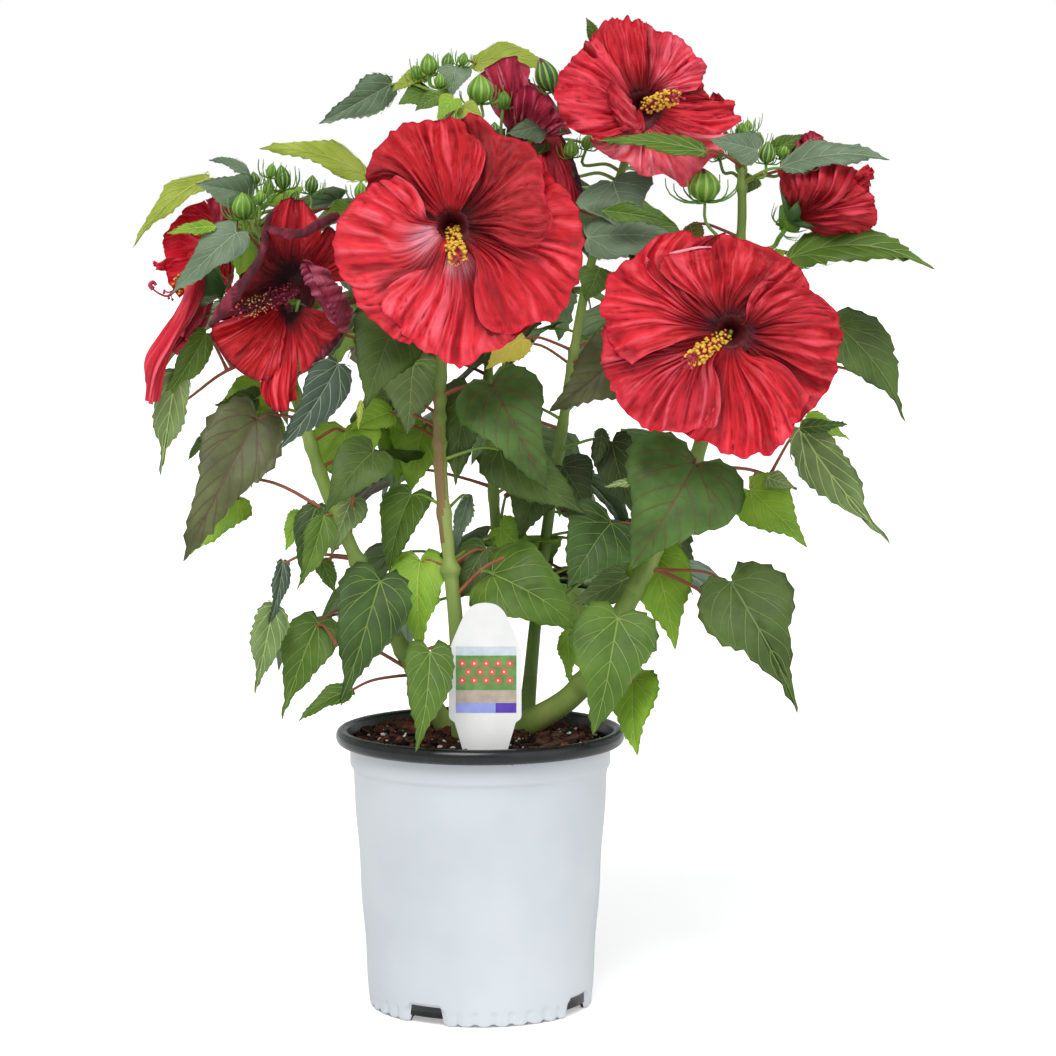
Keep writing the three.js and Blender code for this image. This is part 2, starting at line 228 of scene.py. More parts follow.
def ico(level=1):
    me = bpy.data.meshes.new("tmp")
    import bmesh
    bm = bmesh.new()
    bmesh.ops.create_icosphere(bm, subdivisions=level, radius=1.0)
    bm.to_mesh(me)
    bm.free()
    v = np.array([x.co[:] for x in me.vertices])
    f = np.array([p.vertices[:] for p in me.polygons])
    bpy.data.meshes.remove(me)
    return v, f


ICO1, ICO2 = ico(1), ico(2)


# ------------------------------------------------------------------ materials
def srgb(h):
    h = h.lstrip("#")
    out = []
    for i in (0, 2, 4):
        c = int(h[i:i + 2], 16) / 255.0
        out.append(c / 12.92 if c <= 0.04045 else ((c + 0.055) / 1.055) ** 2.4)
    return (*out, 1.0)


def mix_hex(a, b, t):
    a, b = np.array(srgb(a)), np.array(srgb(b))
    return tuple(a * (1 - t) + b * t)


class Mat:
    def __init__(self, name, rough=0.5, spec=0.5, coat=0.0, sheen=0.0, sheen_tint=None, sss=0.0, color=None):
        self.m = bpy.data.materials.new(name)
        self.m.use_nodes = True
        self.nt = self.m.node_tree
        self.p = self.nt.nodes["Principled BSDF"]
        self.p.inputs["Roughness"].default_value = rough
        self.p.inputs["Specular IOR Level"].default_value = spec
        if coat:
            self.p.inputs["Coat Weight"].default_value = coat
            self.p.inputs["Coat Roughness"].default_value = 0.15
        if sheen:
            self.p.inputs["Sheen Weight"].default_value = sheen
            self.p.inputs["Sheen Roughness"].default_value = 0.45
            if sheen_tint:
                self.p.inputs["Sheen Tint"].default_value = srgb(sheen_tint)
        if color:
            self.p.inputs["Base Color"].default_value = srgb(color)

    def node(self, kind, **kw):
        n = self.nt.nodes.new(kind)
        for k, v in kw.items():
            if k in n.inputs:
                n.inputs[k].default_value = v
            else:
                setattr(n, k, v)
        return n

    def link(self, a, b):
        self.nt.links.new(a, b)

    def coords(self, scale=(1, 1, 1), uvmap=None):
        if uvmap:
            t = self.nt.nodes.new("ShaderNodeUVMap")
            t.uv_map = uvmap
            src = t.outputs["UV"]
        else:
            src = self.nt.nodes.new("ShaderNodeTexCoord").outputs["Object"]
        mp = self.nt.nodes.new("ShaderNodeMapping")
        mp.inputs["Scale"].default_value = scale
        self.link(src, mp.inputs["Vector"])
        return mp.outputs["Vector"]

    def noise(self, scale, detail=3.0, stretch=(1, 1, 1), uvmap=None, rough=0.55):
        n = self.nt.nodes.new("ShaderNodeTexNoise")
        n.inputs["Scale"].default_value = scale
        n.inputs["Detail"].default_value = detail
        n.inputs["Roughness"].default_value = rough
        self.link(self.coords(stretch, uvmap), n.inputs["Vector"])
        return n.outputs["Fac"]

    def ramp(self, fac, stops):
        r = self.nt.nodes.new("ShaderNodeValToRGB")
        el = r.color_ramp.elements
        while len(el) < len(stops):
            el.new(0.5)
        for e, (pos, c) in zip(el, stops):
            e.position = pos
            e.color = srgb(c) if isinstance(c, str) else c
        self.link(fac, r.inputs["Fac"])
        return r.outputs["Color"]

    def base(self, out):
        self.link(out, self.p.inputs["Base Color"])

    def rough(self, fac, lo, hi):
        mr = self.nt.nodes.new("ShaderNodeMapRange")
        mr.inputs["To Min"].default_value = lo
        mr.inputs["To Max"].default_value = hi
        self.link(fac, mr.inputs["Value"])
        self.link(mr.outputs["Result"], self.p.inputs["Roughness"])

    def bump(self, fac, strength, dist):
        b = self.nt.nodes.new("ShaderNodeBump")
        b.inputs["Strength"].default_value = strength
        b.inputs["Distance"].default_value = dist
        self.link(fac, b.inputs["Height"])
        self.link(b.outputs["Normal"], self.p.inputs["Normal"])

    def bump2(self, fac1, d1, fac2, d2, strength=1.0):
        b1 = self.nt.nodes.new("ShaderNodeBump")
        b1.inputs["Strength"].default_value = strength
        b1.inputs["Distance"].default_value = d1
        self.link(fac1, b1.inputs["Height"])
        b2 = self.nt.nodes.new("ShaderNodeBump")
        b2.inputs["Strength"].default_value = strength
        b2.inputs["Distance"].default_value = d2
        self.link(fac2, b2.inputs["Height"])
        self.link(b1.outputs["Normal"], b2.inputs["Normal"])
        self.link(b2.outputs["Normal"], self.p.inputs["Normal"])


def leaf_mat(name, dark, mid, light, rough=0.5, spec=0.4):
    m = Mat(name, rough, spec)
    n = m.noise(38, 4)
    m.base(m.ramp(n, [(0.28, dark), (0.52, mid), (0.78, light)]))
    m.rough(n, rough - 0.07, rough + 0.1)
    m.bump2(m.noise(420, 3), 0.00025, m.noise(1500, 2), 0.0001, 0.6)
    return m.m


LEAF = {
    "d": ("#364a1a", "#496024", "#5c7630"),
    "v": ("#263217", "#34441e", "#46562a"),
    "m": ("#3f5c18", "#507020", "#63822c"),
    # b: bright yellow-green that paints in the glow of leaves lit from behind
    "b": ("#6a9320", "#80aa2a", "#97bd40"),
    "g": ("#566c50", "#6b8164", "#86997e"),
    "p": ("#474c2b", "#5a6138", "#70774c"),
    "y": ("#7f9128", "#94a636", "#aebb54"),
    "Y": ("#d6c63a", "#e4d550", "#efe67c"),
    "u": ("#84996a", "#9aae80", "#b3c49a"),
    "r": ("#5a5a26", "#757233", "#8a8a3c"),
}
LEAF["R"] = ("#374f1c", "#496a29", "#5b7c36")  # dark green with red-brown veins
LEAF["k"] = ("#2b4117", "#38531f", "#496a2c")  # deep green in the shade of the crown
LEAF["s"] = ("#5f7642", "#728a50", "#89a166")  # dull, folded and drying
LEAF["h"] = ("#3c4c3e", "#4c5e4c", "#647664")  # slate green
LEAF_KEYS = list(LEAF)
LM = {k: leaf_mat("leaf_" + {"Y": "yellow", "R": "red_veined"}.get(k, k), *LEAF[k], rough=0.52 if k not in "gp" else 0.46, spec=0.34) for k in LEAF_KEYS}
UNDER = {
    "d": ("#6f8a62", "#7f9970", "#92aa82"), "v": ("#4f6248", "#5f7355", "#718564"), "m": ("#7f9c68", "#90ac78", "#a4bd8b"),
    "b": ("#8fb84a", "#a2c65a", "#b4d372"), "g": ("#8ba38f", "#9db39f", "#b0c3b0"), "p": ("#7d7468", "#8d8474", "#9c9482"),
    "y": ("#98ae46", "#a8bb58", "#bac96e"), "Y": ("#d8cf60", "#e4dc78", "#efe995"), "u": ("#4f7638", "#638a48", "#789f5a"),
    "r": ("#8c8650", "#9c9560", "#aca572"), "R": ("#6f8a62", "#7f9970", "#92aa82"),
    "k": ("#5c7a4c", "#6c8a5a", "#7f9c6c"), "s": ("#84996a", "#9aae80", "#b3c49a"),
    "h": ("#8ba38f", "#9db39f", "#b0c3b0"),
}
UM = {k: leaf_mat("leaf_under_" + {"Y": "yellow", "R": "red_veined"}.get(k, k), *UNDER[k], rough=0.62, spec=0.3) for k in LEAF_KEYS}
VEIN = {k: Mat("vein_" + {"Y": "yellow", "R": "red_veined"}.get(k, k), 0.55, 0.35, color=c).m for k, c in
        dict(d="#687d43", v="#5d7038", k="#70883c", s="#a9bd74", h="#8c9e84", m="#7c9648", b="#a3c053", g="#8fa381", p="#5f4f3a", y="#b6bd5a", Y="#ece28c", u="#b4c48e", r="#a49a5c", R="#6c4c33").items()}


def plant_mat(name, stops, rough, scale, stretch, dist=0.0004, spec=0.4):
    m = Mat(name, rough, spec)
    n = m.noise(scale, 4, stretch)
    m.base(m.ramp(n, stops))
    m.rough(n, rough - 0.08, rough + 0.08)
    m.bump2(m.noise(scale * 6, 3, stretch), dist, m.noise(900, 2), dist * 0.3, 0.8)
    return m.m


STEM_GREEN = plant_mat("stem_green", [(0.3, "#5d7a33"), (0.5, "#7c9444"), (0.66, "#93a658"), (0.8, "#8a6f4c")], 0.5, 30, (1, 1, 0.16))
STEM_OLD = plant_mat("stem_old", [(0.25, "#566b2a"), (0.45, "#6f8838"), (0.64, "#86964a"), (0.82, "#74583a")], 0.62, 34, (1, 1, 0.14), 0.0007)
STEM_RED = plant_mat("stem_red", [(0.28, "#7c8a44"), (0.5, "#8a7448"), (0.72, "#7d5140")], 0.5, 26, (1, 1, 0.2))
PET_RED = plant_mat("stalk_red", [(0.3, "#8c4436"), (0.55, "#9a5a40"), (0.8, "#87703f")], 0.5, 60, (1, 1, 1), 0.0002)
PET_GREEN = plant_mat("stalk_green", [(0.3, "#6f9238"), (0.55, "#86a746"), (0.8, "#9aae5a")], 0.5, 60, (1, 1, 1), 0.0002)
BUD_A = plant_mat("bud_green", [(0.3, "#4f8024"), (0.55, "#67962f"), (0.8, "#7ea840")], 0.45, 90, (1, 1, 1), 0.0002)
BUD_B = plant_mat("bud_rib", [(0.3, "#88ab48"), (0.7, "#a2c05e")], 0.45, 90, (1, 1, 1), 0.0002)
BUD_D = plant_mat("bud_deep", [(0.3, "#35562c"), (0.55, "#456a36"), (0.8, "#5b7f44")], 0.5, 90, (1, 1, 1), 0.0002)
BUD_TIP = plant_mat("bud_tip", [(0.3, "#4a1530"), (0.7, "#6b2340")], 0.45, 90, (1, 1, 1), 0.0002)


def petal_mat(name, rough, sheen, tint):
    m = Mat(name, rough, 0.35, sheen=sheen, sheen_tint=tint)
    a = m.nt.nodes.new("ShaderNodeVertexColor")
    a.layer_name = "Tint"
    m.base(a.outputs["Color"])
    radial = m.noise(1.0, 4, (70, 5, 1), "Place", 0.6)
    crepe = m.noise(520, 3)
    m.rough(radial, rough - 0.08, rough + 0.08)
    m.bump2(radial, 0.0016, crepe, 0.00035, 0.75)
    return m.m


PETAL = petal_mat("petal_crepe", 0.48, 0.14, "#ff7080")
PETAL_PALE = plant_mat("petal_fold", [(0.3, "#e07e8a"), (0.6, "#ee9ca6"), (0.8, "#f6b6be")], 0.5, 200, (1, 1, 1), 0.0002)
PETAL_DARK = petal_mat("petal_fading", 0.5, 0.16, "#c06a80")
COLUMN = plant_mat("column_pink", [(0.3, "#a01c38"), (0.6, "#c23a52"), (0.8, "#d8647a")], 0.5, 200, (1, 1, 1), 0.0002)
COLUMN_D = plant_mat("column_deep", [(0.3, "#4a1020"), (0.6, "#6e1c34"), (0.8, "#8c2f48")], 0.5, 200, (1, 1, 1), 0.0002)
THROAT = plant_mat("throat_dark", [(0.3, "#380810"), (0.6, "#5e0d18"), (0.8, "#7c1422")], 0.6, 200, (1, 1, 1), 0.0002)
ANTHER = plant_mat("anther_yellow", [(0.3, "#d9a52c"), (0.6, "#efc64a"), (0.8, "#f6dc7c")], 0.7, 400, (1, 1, 1), 0.0002)
ANTHER_D = plant_mat("anther_tan", [(0.3, "#b98a52"), (0.6, "#cfa468"), (0.8, "#dcbc88")], 0.7, 400, (1, 1, 1), 0.0002)

pot_m = Mat("pot_white_moulded", 0.36, 0.45)
_n = pot_m.noise(9, 3)
pot_m.base(pot_m.ramp(_n, [(0.3, "#c4cad0"), (0.5, "#cbd1d6"), (0.75, "#d2d7dc")]))
pot_m.rough(pot_m.noise(26, 4), 0.3, 0.46)
pot_m.bump2(pot_m.noise(60, 3, (1, 1, 0.3)), 0.0003, pot_m.noise(1400, 2), 0.00004, 0.5)
POT_W = pot_m.m
lip_m = Mat("pot_black_moulded", 0.24, 0.5)
_n = lip_m.noise(90, 4)
lip_m.base(lip_m.ramp(_n, [(0.3, "#090a0c"), (0.6, "#101215"), (0.85, "#191c20")]))
lip_m.rough(lip_m.noise(40, 4), 0.16, 0.36)
lip_m.bump2(lip_m.noise(50, 3), 0.0003, lip_m.noise(900, 2), 0.00005, 0.5)
POT_B = lip_m.m
soil_m = Mat("soil_mix", 0.95, 0.2)
_n = soil_m.noise(130, 6)
soil_m.base(soil_m.ramp(_n, [(0.3, "#150c09"), (0.48, "#2a1a13"), (0.62, "#3d271c"), (0.78, "#5a3a2a")]))
soil_m.bump2(soil_m.noise(260, 5), 0.003, soil_m.noise(900, 3), 0.001, 1.0)
SOIL = soil_m.m


def grit(name, stops, rough, scale=220):
    m = Mat(name, rough, 0.3)
    n = m.noise(scale, 5)
    m.base(m.ramp(n, stops))
    m.bump2(m.noise(scale * 2.2, 4), 0.0006, m.noise(scale * 6, 2), 0.0002, 0.9)
    return m.m


BARK = [grit("bark_brown", [(0.3, "#2b1a12"), (0.55, "#4b2f22"), (0.8, "#6b4836")], 0.85),
        grit("bark_red", [(0.3, "#40201a"), (0.55, "#6a3528"), (0.8, "#8a5340")], 0.85),
        grit("bark_black", [(0.3, "#120b09"), (0.6, "#241611"), (0.85, "#3a251b")], 0.9)]
PERLITE = grit("perlite", [(0.3, "#cfc7ba"), (0.55, "#e6e0d6"), (0.8, "#f6f2ec")], 0.9)
PRILL = grit("prill_teal", [(0.3, "#0f8f76"), (0.6, "#1fb394"), (0.8, "#4fcfb2")], 0.4)

tag_m = Mat("label_white", 0.32, 0.45)
tag_m.base(tag_m.ramp(tag_m.noise(40, 3), [(0.3, "#dcdddc"), (0.7, "#e6e7e6")]))
tag_m.bump2(tag_m.noise(120, 3), 0.0001, tag_m.noise(1500, 2), 0.00003, 0.5)
TAG_W = tag_m.m


def print_mat(name, stops, rough=0.35):
    m = Mat(name, rough, 0.45)
    m.base(m.ramp(m.noise(150, 3), stops))
    return m.m


ROOT = "root"


def piece(ob, slot, *nodes):
    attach(ob, ROOT)
    if nodes:
        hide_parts(*nodes)
    return ob


rng = np.random.default_rng(20261)

# ------------------------------------------------------------------ pot
FOOT_R, SH_R, SH_Z, LIP_R, LIP_LOW, POT_H, WALL = 0.089, 0.1015, 0.190, 0.115, 0.2095, 0.2215, 0.0022


def wall_r(z):
    return FOOT_R + (SH_R - FOOT_R) * z / SH_Z


def ang_diff(a, b):
    return (a - b + math.pi) % (2 * math.pi) - math.pi


def pot():
    N = 360
    th = np.arange(N) * 2 * math.pi / N - math.pi / 2  # -90 deg is the front
    front = np.degrees((th + math.pi / 2 + math.pi) % (2 * math.pi) - math.pi)
    # notches and flutes round the foot
    notch = np.zeros(N)
    pocket = np.zeros(N)
    flute = np.zeros(N)
    for k in range(4):
        c = -28.5 + 90 * k
        d = np.abs((front - c + 180) % 360 - 180)
        notch = np.maximum(notch, 1 - smooth(8.2, 10.4, d))
        pocket = np.maximum(pocket, 1 - smooth(10.0, 12.5, d))
        e = (front - c + 360) % 90
        inside = (e > 17) & (e < 73)
        flute = np.where(inside, np.maximum(flute, 0.5 + 0.5 * np.cos((e - 45) / 9.3 * 2 * math.pi)), flute)
    edge = 0.0085 * notch + 0.0011 * flute ** 3
    outer = [(z, None) for z in np.r_[np.linspace(0, 0.003, 4), np.linspace(0.0045, 0.016, 10), np.linspace(0.02, 0.186, 34)]]
    B = Build()
    rows = []
    for z, _ in outer:
        f = 1 - smooth(0.0, 0.022, z)
        zz = z + edge * np.clip(1 - z / 0.022, 0, 1)
        r = np.full(N, wall_r(z)) + 0.0004 * math.sin(z * 90)
        top = smooth(0.008, 0.0125, z)
        r = r - 0.0013 * flute ** 2 * (1 - top) * smooth(0, 0.001, z + 0.001)
        r = r - 0.0022 * pocket * (1 - smooth(0.0085, 0.0125, z))
        if z == 0:
            r = r - 0.0006
        rows.append(np.stack([r * np.cos(th), r * np.sin(th), zz], -1))
    for r, z in [(SH_R - 0.0001, SH_Z - 0.001), (SH_R + 0.0004, SH_Z + 0.0006), (SH_R + 0.0016, SH_Z + 0.002), (SH_R + 0.0022, SH_Z + 0.0035),
                 (SH_R + 0.0023, SH_Z + 0.006), (SH_R + 0.0024, LIP_LOW - 0.002), (SH_R + 0.0024, LIP_LOW + 0.002)]:
        rows.append(np.stack([r * np.cos(th), r * np.sin(th), np.full(N, z)], -1))
    v = np.concatenate(rows)
    B.add(v, grid_quads(len(rows), N, True), mat=0)
    # black inside: lip, inner wall, floor, and the underside
    prof = []
    a = np.radians(np.linspace(-88, 90, 15))
    cx, cz, rx, rz = 0.1093, 0.2155, 0.0057, 0.0060
    prof += [(SH_R + 0.0024, LIP_LOW + 0.0022), (SH_R + 0.0032, LIP_LOW + 0.0012)]
    prof += [(cx + rx * math.cos(t) ** (0.8) if math.cos(t) > 0 else cx, cz + rz * math.sin(t)) for t in a]
    prof += [(0.1078, 0.2212), (0.1066, 0.2202), (0.1058, 0.2185), (0.1050, 0.2150), (SH_R + 0.0002, LIP_LOW)]
    prof += [(wall_r(z) - WALL, z) for z in np.linspace(SH_Z, 0.005, 12)]
    prof += [(0.07, 0.005), (0.03, 0.005), (0.0, 0.005)]
    rows2 = []
    for r, z in prof:
        zz = np.full(N, z)
        if z < 0.03 and r > 0.08:
            zz = zz + 0.0
        rows2.append(np.stack([r * np.cos(th), r * np.sin(th), zz], -1))
    v2 = np.concatenate(rows2)
    C = Build()
    C.add(v2, grid_quads(len(rows2), N, True), mat=0)
    under = [(FOOT_R - 0.0006, 0.0, 1), (FOOT_R - 0.0026, 0.0, 1), (FOOT_R - 0.0034, 0.0022, 1), (0.080, 0.0030, 0), (0.061, 0.0030, 0), (0.058, 0.0, 0), (0.02, 0.0, 0), (0.0, 0.0, 0)]
    rows3 = []
    for r, z, k in under:
        zz = z + (edge * (1.0 if z == 0 else 0.9) if k else 0)
        rr = np.full(N, r) - (0.0022 * pocket + 0.0013 * flute ** 2 * 0 if k else 0)
        rows3.append(np.stack([rr * np.cos(th), rr * np.sin(th), np.broadcast_to(zz, (N,))], -1))
    C.add(np.concatenate(rows3), grid_quads(len(rows3), N, True, flip=True), mat=0)
    a = B.make("pot_body", [POT_W])
    b = C.make("pot_lip_and_inside", [POT_B])
    piece(a, "pot", "pot")
    piece(b, "pot")


def soil():
    N, M = 150, 46
    th = np.arange(N) * 2 * math.pi / N
    rows = []
    for i in range(M):
        r = 0.1012 * (i / (M - 1.0)) ** 0.8
        x, y = r * np.cos(th), r * np.sin(th)
        z = 0.2178 - 0.0082 * smooth(0.066, 0.1012, r)
        z = z + 0.0030 * (noise(x / 0.011 + 9, y / 0.011, 1) - 0.5) + 0.0022 * (noise(x / 0.0045, y / 0.0045, 2) - 0.5) + 0.0038 * (noise(x / 0.03, y / 0.03, 4) - 0.5)
        rows.append(np.stack([x, y, np.broadcast_to(z, x.shape)], -1))
    rows.append(np.stack([0.0985 * np.cos(th), 0.0985 * np.sin(th), np.full(N, 0.19)], -1))
    rows.append(np.stack([0.0866 * np.cos(th), 0.0866 * np.sin(th), np.full(N, 0.0054)], -1))
    rows.append(np.stack([0 * np.cos(th), 0 * np.sin(th), np.full(N, 0.0054)], -1))
    v = np.concatenate(rows)
    B = Build()
    B.add(v, grid_quads(len(rows), N, True), mat=0)
    piece(B.make("soil_surface", [SOIL]), "soil", "soil")

    def ground(x, y):
        r = np.hypot(x, y)
        return 0.2178 - 0.0082 * smooth(0.066, 0.1012, r) + 0.0038 * (noise(x / 0.03, y / 0.03, 4) - 0.5)

    C = Build()
    box = np.array([[-1, -1, -1], [1, -1, -1], [1, 1, -1], [-1, 1, -1], [-1, -1, 1], [1, -1, 1], [1, 1, 1], [-1, 1, 1]], float)
    fq = np.array([[0, 3, 2, 1], [4, 5, 6, 7], [0, 1, 5, 4], [1, 2, 6, 5], [2, 3, 7, 6], [3, 0, 4, 7]])
    for i in range(1500):
        r = 0.0985 * math.sqrt(rng.random())
        t = rng.random() * 6.283
        x, y = r * math.cos(t), r * math.sin(t)
        L = rng.choice([0.0022, 0.0035, 0.0055, 0.008], p=[0.35, 0.35, 0.22, 0.08]) * rng.uniform(0.8, 1.3)
        sz = np.array([L, L * rng.uniform(0.25, 0.6), L * rng.uniform(0.12, 0.3)])
        b = box * sz * (1 + 0.35 * (rng.random((8, 3)) - 0.5)) * 0.5 * 2
        b[:4, :2] *= rng.uniform(0.6, 1.0)
        yaw, pit, rol = rng.uniform(0, 6.283), rng.normal(0, 0.28), rng.normal(0, 0.4)
        cy, sy, cp, sp, cr, sr = math.cos(yaw), math.sin(yaw), math.cos(pit), math.sin(pit), math.cos(rol), math.sin(rol)
        R = np.array([[cy, -sy, 0], [sy, cy, 0], [0, 0, 1]]) @ np.array([[cp, 0, sp], [0, 1, 0], [-sp, 0, cp]]) @ np.array([[1, 0, 0], [0, cr, -sr], [0, sr, cr]])
        C.add(b @ R.T + [x, y, float(ground(x, y)) + sz[2] * 0.4 + 0.0004], fq, mat=int(rng.choice([0, 1, 2], p=[0.45, 0.22, 0.33])))
    piece(C.make("soil_bark", BARK, smooth_on=False), "soil")
    D = Build()
    for i in range(330):
        r = 0.0985 * math.sqrt(rng.random())
        t = rng.random() * 6.283
        x, y = r * math.cos(t), r * math.sin(t)
        prill = i % 9 == 0
        s = 0.0013 if prill else rng.choice([0.0007, 0.0012, 0.002], p=[0.5, 0.34, 0.16]) * rng.uniform(0.8, 1.25)
        v, f = ICO1
        w = v * s * (1 if prill else 1 + 0.5 * (rng.random((len(v), 1)) - 0.5)) * (1 if prill else rng.uniform(0.7, 1.1, 3))
        D.add(w + [x, y, float(ground(x, y)) + s * 0.5 + 0.0008], tris=f, mat=1 if prill else 0)
    piece(D.make("soil_perlite", [PERLITE, PRILL]), "soil")


# ------------------------------------------------------------------ plant label
TAGY, TAG_LEAN = -0.086, 0.05


def tag_outline(n=14):
    w, sh, waist, foot = 0.028, 0.2956, 0.2424, 0.217
    p = [[0.0, foot - 0.034], [0.009, foot - 0.034], [0.0172, foot], [0.0235, 0.2386], [w - 0.0008, waist - 0.0010], [w, waist + 0.0012], [w, sh - 0.0012]]
    arch = [[w - 0.0006, sh], [0.0235, 0.3053], [0.0195, 0.3146], [0.0168, 0.3203], [0.0140, 0.3250], [0.0095, 0.3290], [0.0048, 0.3307], [0.0, 0.3312]]
    p += spline(arch, 2 * n).tolist()
    p[-1] = [0.0, 0.3312]
    right = np.array(p)
    left = right[::-1][1:-1] * [-1, 1]
    return np.vstack([right, left])


def tag_place(xz, d):
    """Label plane (x, height) and height above its front face to space."""
    x, z = np.asarray(xz, float).T
    foot = 0.217
    h = z - foot
    bow = 0.0022 * np.cos(x / 0.028 * 1.2) - 0.0022
    ca, sa = math.cos(TAG_LEAN), math.sin(TAG_LEAN)
    yy = TAGY + h * sa - (0.0004 + d) * ca - bow * 0.5
    return np.stack([x + 0.005, yy, foot + h * ca - (0.0004 + d) * sa * 0], -1)


def label():
    out = tag_outline()
    n = len(out)
    cen = np.array([[0.0, 0.26]])
    B = Build()
    f = np.vstack([tag_place(out, 0), tag_place(cen, 0)])
    b = np.vstack([tag_place(out, -0.0008), tag_place(cen, -0.0008)])
    k, k2 = np.arange(n), (np.arange(n) + 1) % n
    tri = np.vstack([np.stack([np.full(n, n), k, k2], -1), np.stack([np.full(n, 2 * n + 1), n + 1 + k2, n + 1 + k], -1)])
    q = np.stack([k, n + 1 + k, n + 1 + k2, k2], -1)
    B.add(np.vstack([f, b]), q, tri, 0)
    ob = B.make("plant_label_plate", [TAG_W], smooth_on=False)
    piece(ob, "label", "plant_label")
    # generic printed panel: plain bands and rows of dots, raised by a hair
    C = Build()

    def rect(x0, x1, z0, z1, d, mat):
        xs, zs = np.linspace(x0, x1, 7), np.linspace(z0, z1, 3)
        g = np.array([[x, z] for z in zs for x in xs])
        a = tag_place(g, d)
        C.add(a, grid_quads(3, 7, flip=False), mat=mat)
    zp = lambda v: 0.3310 - (v - 600) * 0.000764
    xp = lambda u: (u - 486.5) * 0.000764
    x0, x1 = xp(457), xp(518)
    rect(x0, x1, zp(644), zp(653), 0.00012, 3)
    rect(x0, x1, zp(701), zp(653), 0.00010, 0)
    rect(x0, x1, zp(701), zp(688), 0.00014, 4)
    rect(x0, xp(497), zp(711), zp(701), 0.00012, 1)
    rect(xp(497), x1, zp(711), zp(701), 0.00012, 2)
    for r in range(3):
        for c in range(5):
            u = 463.5 + c * 12 + (6 if r % 2 else 0)
            if u > 514:
                continue
            v = 661 + r * 8.6
            for j, (rad, m, dd) in enumerate(((3.6, 5, 0.00022), (1.1, 6, 0.0003))):
                a = np.arange(14) * 2 * math.pi / 14
                ring = np.stack([xp(u) + rad * 0.000764 * np.cos(a), zp(v) + rad * 0.000764 * np.sin(a)], -1)
                pts = np.vstack([tag_place(ring, dd), tag_place(np.array([[xp(u), zp(v)]]), dd)])
                kk, kk2 = np.arange(14), (np.arange(14) + 1) % 14
                C.add(pts, tris=np.stack([np.full(14, 14), kk, kk2], -1), mat=m)
    mats = [print_mat("print_green", [(0.3, "#4f7d3c"), (0.7, "#6f9a52")]), print_mat("print_lilac", [(0.3, "#8a95d8"), (0.7, "#98a2e0")]),
            print_mat("print_violet", [(0.3, "#4a2f9a"), (0.7, "#5a3cae")]), print_mat("print_sky", [(0.3, "#b9c6cf"), (0.7, "#ccd6dc")]),
            print_mat("print_sand", [(0.3, "#a5988a"), (0.7, "#b8ac9e")]), print_mat("print_red", [(0.3, "#cf4146"), (0.7, "#e05a5c")]),
            print_mat("print_cream", [(0.3, "#f0d9a0"), (0.7, "#f7e6ba")])]
    piece(C.make("plant_label_panel", mats, smooth_on=False), "label")


# ------------------------------------------------------------------ stems and boughs
Z0 = 0.2183
STEMS = {
    "stem_front": (6.2, 3.6, 2.4, [[-14, -35, 218.3], [-19, -35, 312], [-31, -25, 445], [-26, -14, 590], [-27, 4, 728]]),
    "stem_left": (7.2, 3.2, 2.6, [[-26, -2, 218.3], [-63, -20, 290], [-116, -40, 407], [-155, -10, 526], [-181, 20, 634]]),
    "stem_back": (5.0, 3.0, 2.0, [[15, 28, 218.3], [13, 50, 350], [6, 70, 503], [18, 100, 652]]),
    "stem_centre": (5.4, 3.0, 2.2, [[36, 18, 218.3], [46, 42, 320], [60, 50, 420], [87, 32, 584], [124, 14, 696]]),
    "stem_right": (9.6, 3.2, 2.8, [[27, -6, 218.3], [76, -17, 253], [111, -20, 314], [172, 0, 439], [203, 4, 590], [206, 0, 665]]),
}
STEM_C = {k: spline(np.array(p) / 1000.0, 200) for k, (_, _, _, p) in STEMS.items()}
BOUGHS = {
    "bough_left_low": ("stem_left", 268, (-118, -48, 297)), "bough_left_outer": ("stem_left", 392, (-203, -22, 427)),
    "bough_left_drooping": ("stem_left", 520, (-241, 4, 478)), "bough_left_middle": ("stem_left", 372, (-96, -52, 430)),
    "bough_front_low": ("stem_front", 290, (-52, -64, 288)), "bough_centre_middle": ("stem_front", 330, (24, -44, 366)),
    "bough_right_low": ("stem_right", 268, (106, -66, 288)), "bough_right_outer_low": ("stem_right", 352, (214, -26, 298)),
    "bough_right_outer": ("stem_right", 430, (260, 0, 410)), "bough_right_edge": ("stem_right", 500, (308, 22, 506)),
    "bough_back_left_low": ("stem_left", 276, (-96, 92, 330)), "bough_back_left_upper": ("stem_left", 500, (-112, 120, 560)),
    "bough_back_centre_low": ("stem_back", 350, (20, 140, 400)), "bough_back_centre_upper": ("stem_back", 520, (8, 186, 570)),
    "bough_back_right_low": ("stem_centre", 300, (128, 92, 350)), "bough_back_right_upper": ("stem_centre", 470, (172, 124, 534)),
    "bough_bloom_front_left": ("stem_front", 556, "bloom_front_left"), "bough_bloom_front_right": ("stem_right", 500, "bloom_front_right"),
    "bough_bloom_left": ("stem_left", 520, "bloom_left_fading"), "bough_bloom_back": ("stem_back", 610, "bloom_back_left"),
}
BLOOM_AT = {
    "bloom_front_left": ((-16, -112, 604), (0.0, -1, 0.05)), "bloom_front_right": ((190, -112, 540), (-0.2, -1, -0.08)),
    "bloom_top": ((127, -24, 712), (0.16, -1, 0.14)), "bloom_rear_dark": ((46, 62, 694), (0.15, -0.55, 0.8)),
    "bloom_left_fading": ((-142, -44, 562), (-0.45, -1, 0.0)), "bloom_far_left_upper": ((-222, 50, 608), (-1, -0.35, 0.2)),
    "bloom_far_left_lower": ((-226, -28, 546), (-0.75, -0.7, -0.62)), "bloom_right_closing": ((238, -4, 652), (0.95, -0.4, -0.12)),
    "bloom_back_left": ((-56, 206, 618), (-0.3, 1, 0.2)), "bloom_back_right": ((158, 182, 566), (0.35, 1, 0.1)),
}
